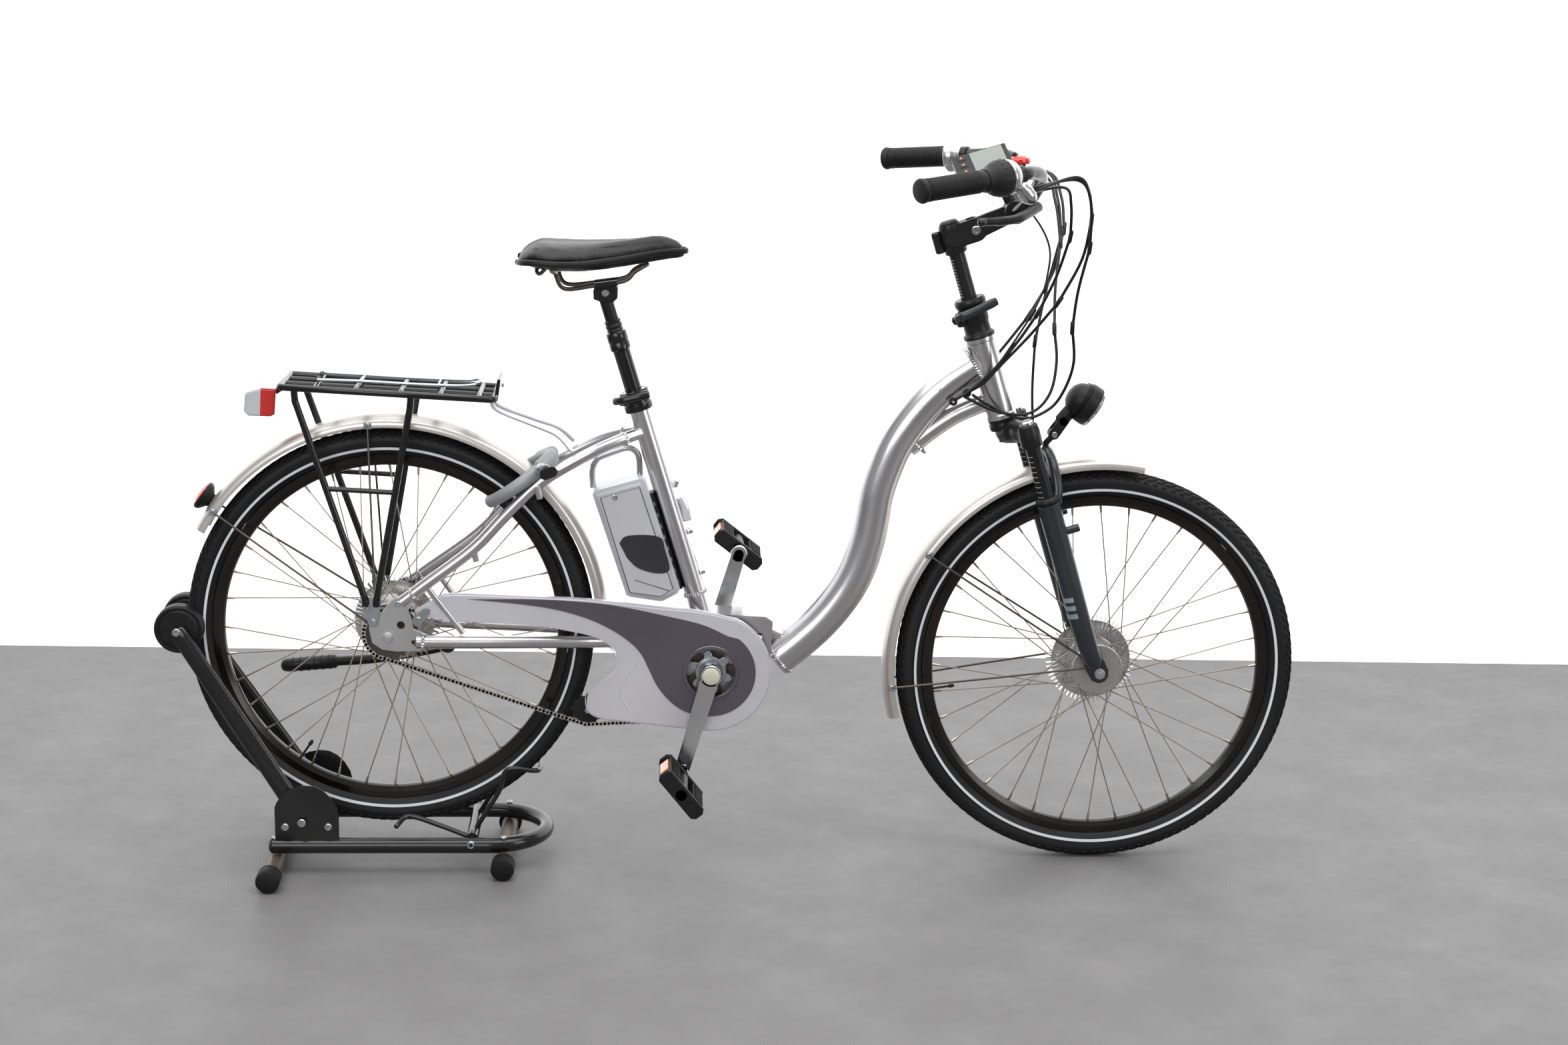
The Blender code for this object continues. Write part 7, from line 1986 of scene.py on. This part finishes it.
FRONT_BRAKE_RUN = [(0.916, 0.222, 0.778), (1.014, 0.154, 0.786), (1.034, 0.112, 0.745), (1.04, 0.082, 0.69),
    (1.02, 0.06, 0.6), (1.008, 0.05, 0.52), (1.01, 0.046, 0.44), (1.018, 0.044, 0.37), (1.03, 0.044, 0.3)]
run_of_cable("motor_line", LOOP_RUN, (3, 5), 0.0025)
run_of_cable("rear_line", SHORT_LOOP, (3, 5), 0.0025)
run_of_cable("front_brake_line", FRONT_BRAKE_RUN, (3, 5), 0.0023, last="fork_lowers")

# %% [markdown]
# ## Floor stand
#
# One tube is bent into the stand's two rails.  Two cross tubes with rubber caps carry it.  The arms
# that reach up to the rollers are flattened tubes, and wires cradle the wheel's foot.


# %% Stand base
RAIL_Y = 0.09
RAIL_Z = 0.046


def stand_base():
    rail = [Vector((-0.759, -RAIL_Y, RAIL_Z)), Vector((-0.6, -RAIL_Y, RAIL_Z)), Vector((-0.45, -RAIL_Y, RAIL_Z))]
    for i in range(25):
        a = -pi / 2 + pi * i / 24
        rail.append(Vector((-0.415 + RAIL_Y * cos(a), RAIL_Y * sin(a), RAIL_Z)))
    rail += [Vector((-0.45, RAIL_Y, RAIL_Z)), Vector((-0.6, RAIL_Y, RAIL_Z)), Vector((-0.759, RAIL_Y, RAIL_Z))]
    parts = [tube(rail, 0.0125, 32)]
    outline = [(-0.754, 0.048), (-0.652, 0.048), (-0.652, 0.098), (-0.655, 0.112), (-0.664, 0.128), (-0.676, 0.14),
        (-0.69, 0.1475), (-0.706, 0.149), (-0.722, 0.146), (-0.735, 0.14), (-0.744, 0.13), (-0.751, 0.12),
        (-0.754, 0.112)]
    for side in (-1, 1):
        parts.append(plate(outline, *sorted((side * 0.094, side * 0.097)), 0.001))
    piece("stand_rails", parts, gloss_black, "stand", "black_enamel", "stand_base", FLOOR, angle=40)
    fixings, caps = [], []
    for side in (-1, 1):
        for x, z in ((-0.7375, 0.08), (-0.669, 0.08)):
            fixings.append(bolt((x, side * 0.097, z), (0, side, 0), 0.0062, 0.0036))
        fixings.append(bolt((-0.7104, side * 0.1015, 0.0884), (0, side, 0), 0.007, 0.0042))
        fixings.append(bolt((-0.4414, side * 0.103, 0.052), (0, side, 0), 0.0065, 0.0042))
        for x in (-0.755, -0.39):
            fixings.append(bolt((x, side * RAIL_Y, RAIL_Z + 0.012), (0, 0, 1), 0.0052, 0.0034))
        caps.append(tube([(-0.756, side * RAIL_Y, RAIL_Z), (-0.76, side * RAIL_Y, RAIL_Z),
            (-0.764, side * RAIL_Y, RAIL_Z)], [0.0128, 0.0132, 0.012], 28, soft_end=True))
    piece("stand_fixings", fixings, zinc, "stand", "zinc_steel", (), FLOOR)
    piece("rail_plugs", caps, moulded, "stand", "black_plastic", (), FLOOR)
    for name, x, half in (("rear", -0.755, 0.19), ("front", -0.39, 0.135)):
        piece(f"{name}_cross_tube", tube([(x, -half + 0.01, 0.019), (x, half - 0.01, 0.019)], 0.0135, 32), worn_brown,
            "stand", "worn_stand_tube", f"stand_{name}_foot", FLOOR)
        ends = []
        for side in (-1, 1):
            ends.append(lathe([(0, side * half), (0.015, side * half), (0.0175, side * (half - 0.0015)),
                (0.019, side * (half - 0.005)), (0.019, side * (half - 0.024)), (0.018, side * (half - 0.026)),
                (0.018, side * (half - 0.029)), (0.019, side * (half - 0.031)), (0.0178, side * (half - 0.033)),
                (0.0136, side * (half - 0.033)), (0, side * (half - 0.033))], (x, 0, 0.019), (0, 1, 0), 40))
        piece(f"{name}_foot_caps", ends, rubber, "stand", "grip_rubber", (), FLOOR)


# %% Arms, rollers and cradle
def stand_arms():
    parts = []
    for side in (-1, 1):
        foot, top = Vector((-0.7104, side * 0.083, 0.0884)), Vector((-0.905, side * 0.059, 0.393))
        path = [foot.lerp(top, t) for t in (-0.015, 0.0, 0.06, 0.12, 0.2, 0.5, 0.8, 0.9, 0.96, 1.0, 1.012)]
        parts.append(tube(path, [0.006, 0.0075, 0.0078, 0.008, 0.008, 0.0078, 0.0075, 0.0075, 0.0072, 0.007, 0.0058],
            24, flat=1.9, soft_end=True))
        parts.append(tube([(-0.7104, side * 0.083, 0.0884), (-0.7104, side * 0.1005, 0.0884)], 0.005, 16))
        parts.append(tube([(-0.7114, side * 0.079, 0.0884), (-0.72, side * 0.073, 0.069)], 0.006, 16))
        parts.append(tube([(-0.905, side * 0.0235, 0.393), (-0.905, side * 0.067, 0.393)], 0.004, 16))
    parts.append(tube([(-0.72, -0.074, 0.069), (-0.72, 0.074, 0.069)], 0.005, 16))
    piece("roller_arms", parts, gloss_black, "stand_arms", "black_enamel", "stand_arms", FLOOR, angle=50)
    nuts = [bolt((-0.905, side * 0.0655, 0.393), (0, side, 0), 0.0066, 0.0035) for side in (-1, 1)]
    piece("roller_nuts", nuts, zinc, "stand_arms", "zinc_steel", (), FLOOR)
    for name, side in (("right", -1), ("left", 1)):
        profile = [(0.0046, -0.01175), (0.029, -0.01175), (0.031, -0.01), (0.033, -0.01), (0.035, -0.01175),
            (0.0375, -0.011), (0.039, -0.0085)]
        profile += [(0.0386, -0.003), (0.038, 0.0), (0.0386, 0.003)]
        profile += [(r, -y) for r, y in profile[:7]][::-1]
        roller = lathe(profile, (-0.905, side * 0.03825, 0.393), (0, 1, 0), 72)
        spokes_ = copies(box((0.012, -0.0125, -0.0022), (0.029, 0.0125, 0.0022), 0.001),
            round_marks(6, (-0.905, side * 0.03825, 0.393)), moulded)
        piece(f"{name}_roller", [roller, spokes_], moulded, f"roller_{name}", "black_plastic", f"stand_roller_{name}",
            FLOOR, angle=40)


def wheel_cradle():
    x, z = -0.4414, 0.052
    parts = [tube([(x, -0.0755, z), (x, 0.0755, z)], 0.01, 28), tube([(x, -0.1055, z), (x, 0.1055, z)], 0.005, 20)]
    half = [(x, 0.04, z), (-0.43, 0.038, 0.07), (-0.4, 0.037, 0.12), (-0.386, 0.038, 0.157), (-0.345, 0.036, 0.155),
        (-0.335, 0.022, 0.1525)]
    hoop = [(a, -b, c) for a, b, c in half] + half[::-1]
    parts.append(tube(curve(hoop, 7), 0.004, 18))
    for side in (-1, 1):
        parts.append(tube(curve([(x, side * 0.07, z), (-0.495, side * 0.056, 0.0685), (-0.545, side * 0.045, 0.08),
            (-0.565, side * 0.07, 0.07)], 5), 0.004, 18, soft_end=True))
    piece("cradle_wires", parts, gloss_black, "wheel_cradle", "black_enamel", "wheel_cradle", FLOOR, angle=50)


stand_base()
stand_arms()
wheel_cradle()

# %% Record the size
import json

final_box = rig.bounds()
with open("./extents.json", "w") as out:
    json.dump({"frame": [list(c) for c in frame_box], "looks": [list(c) for c in final_box]}, out)
print("frame", [round(c, 4) for corner in frame_box for c in corner])
print("looks", [round(c, 4) for corner in final_box for c in corner])
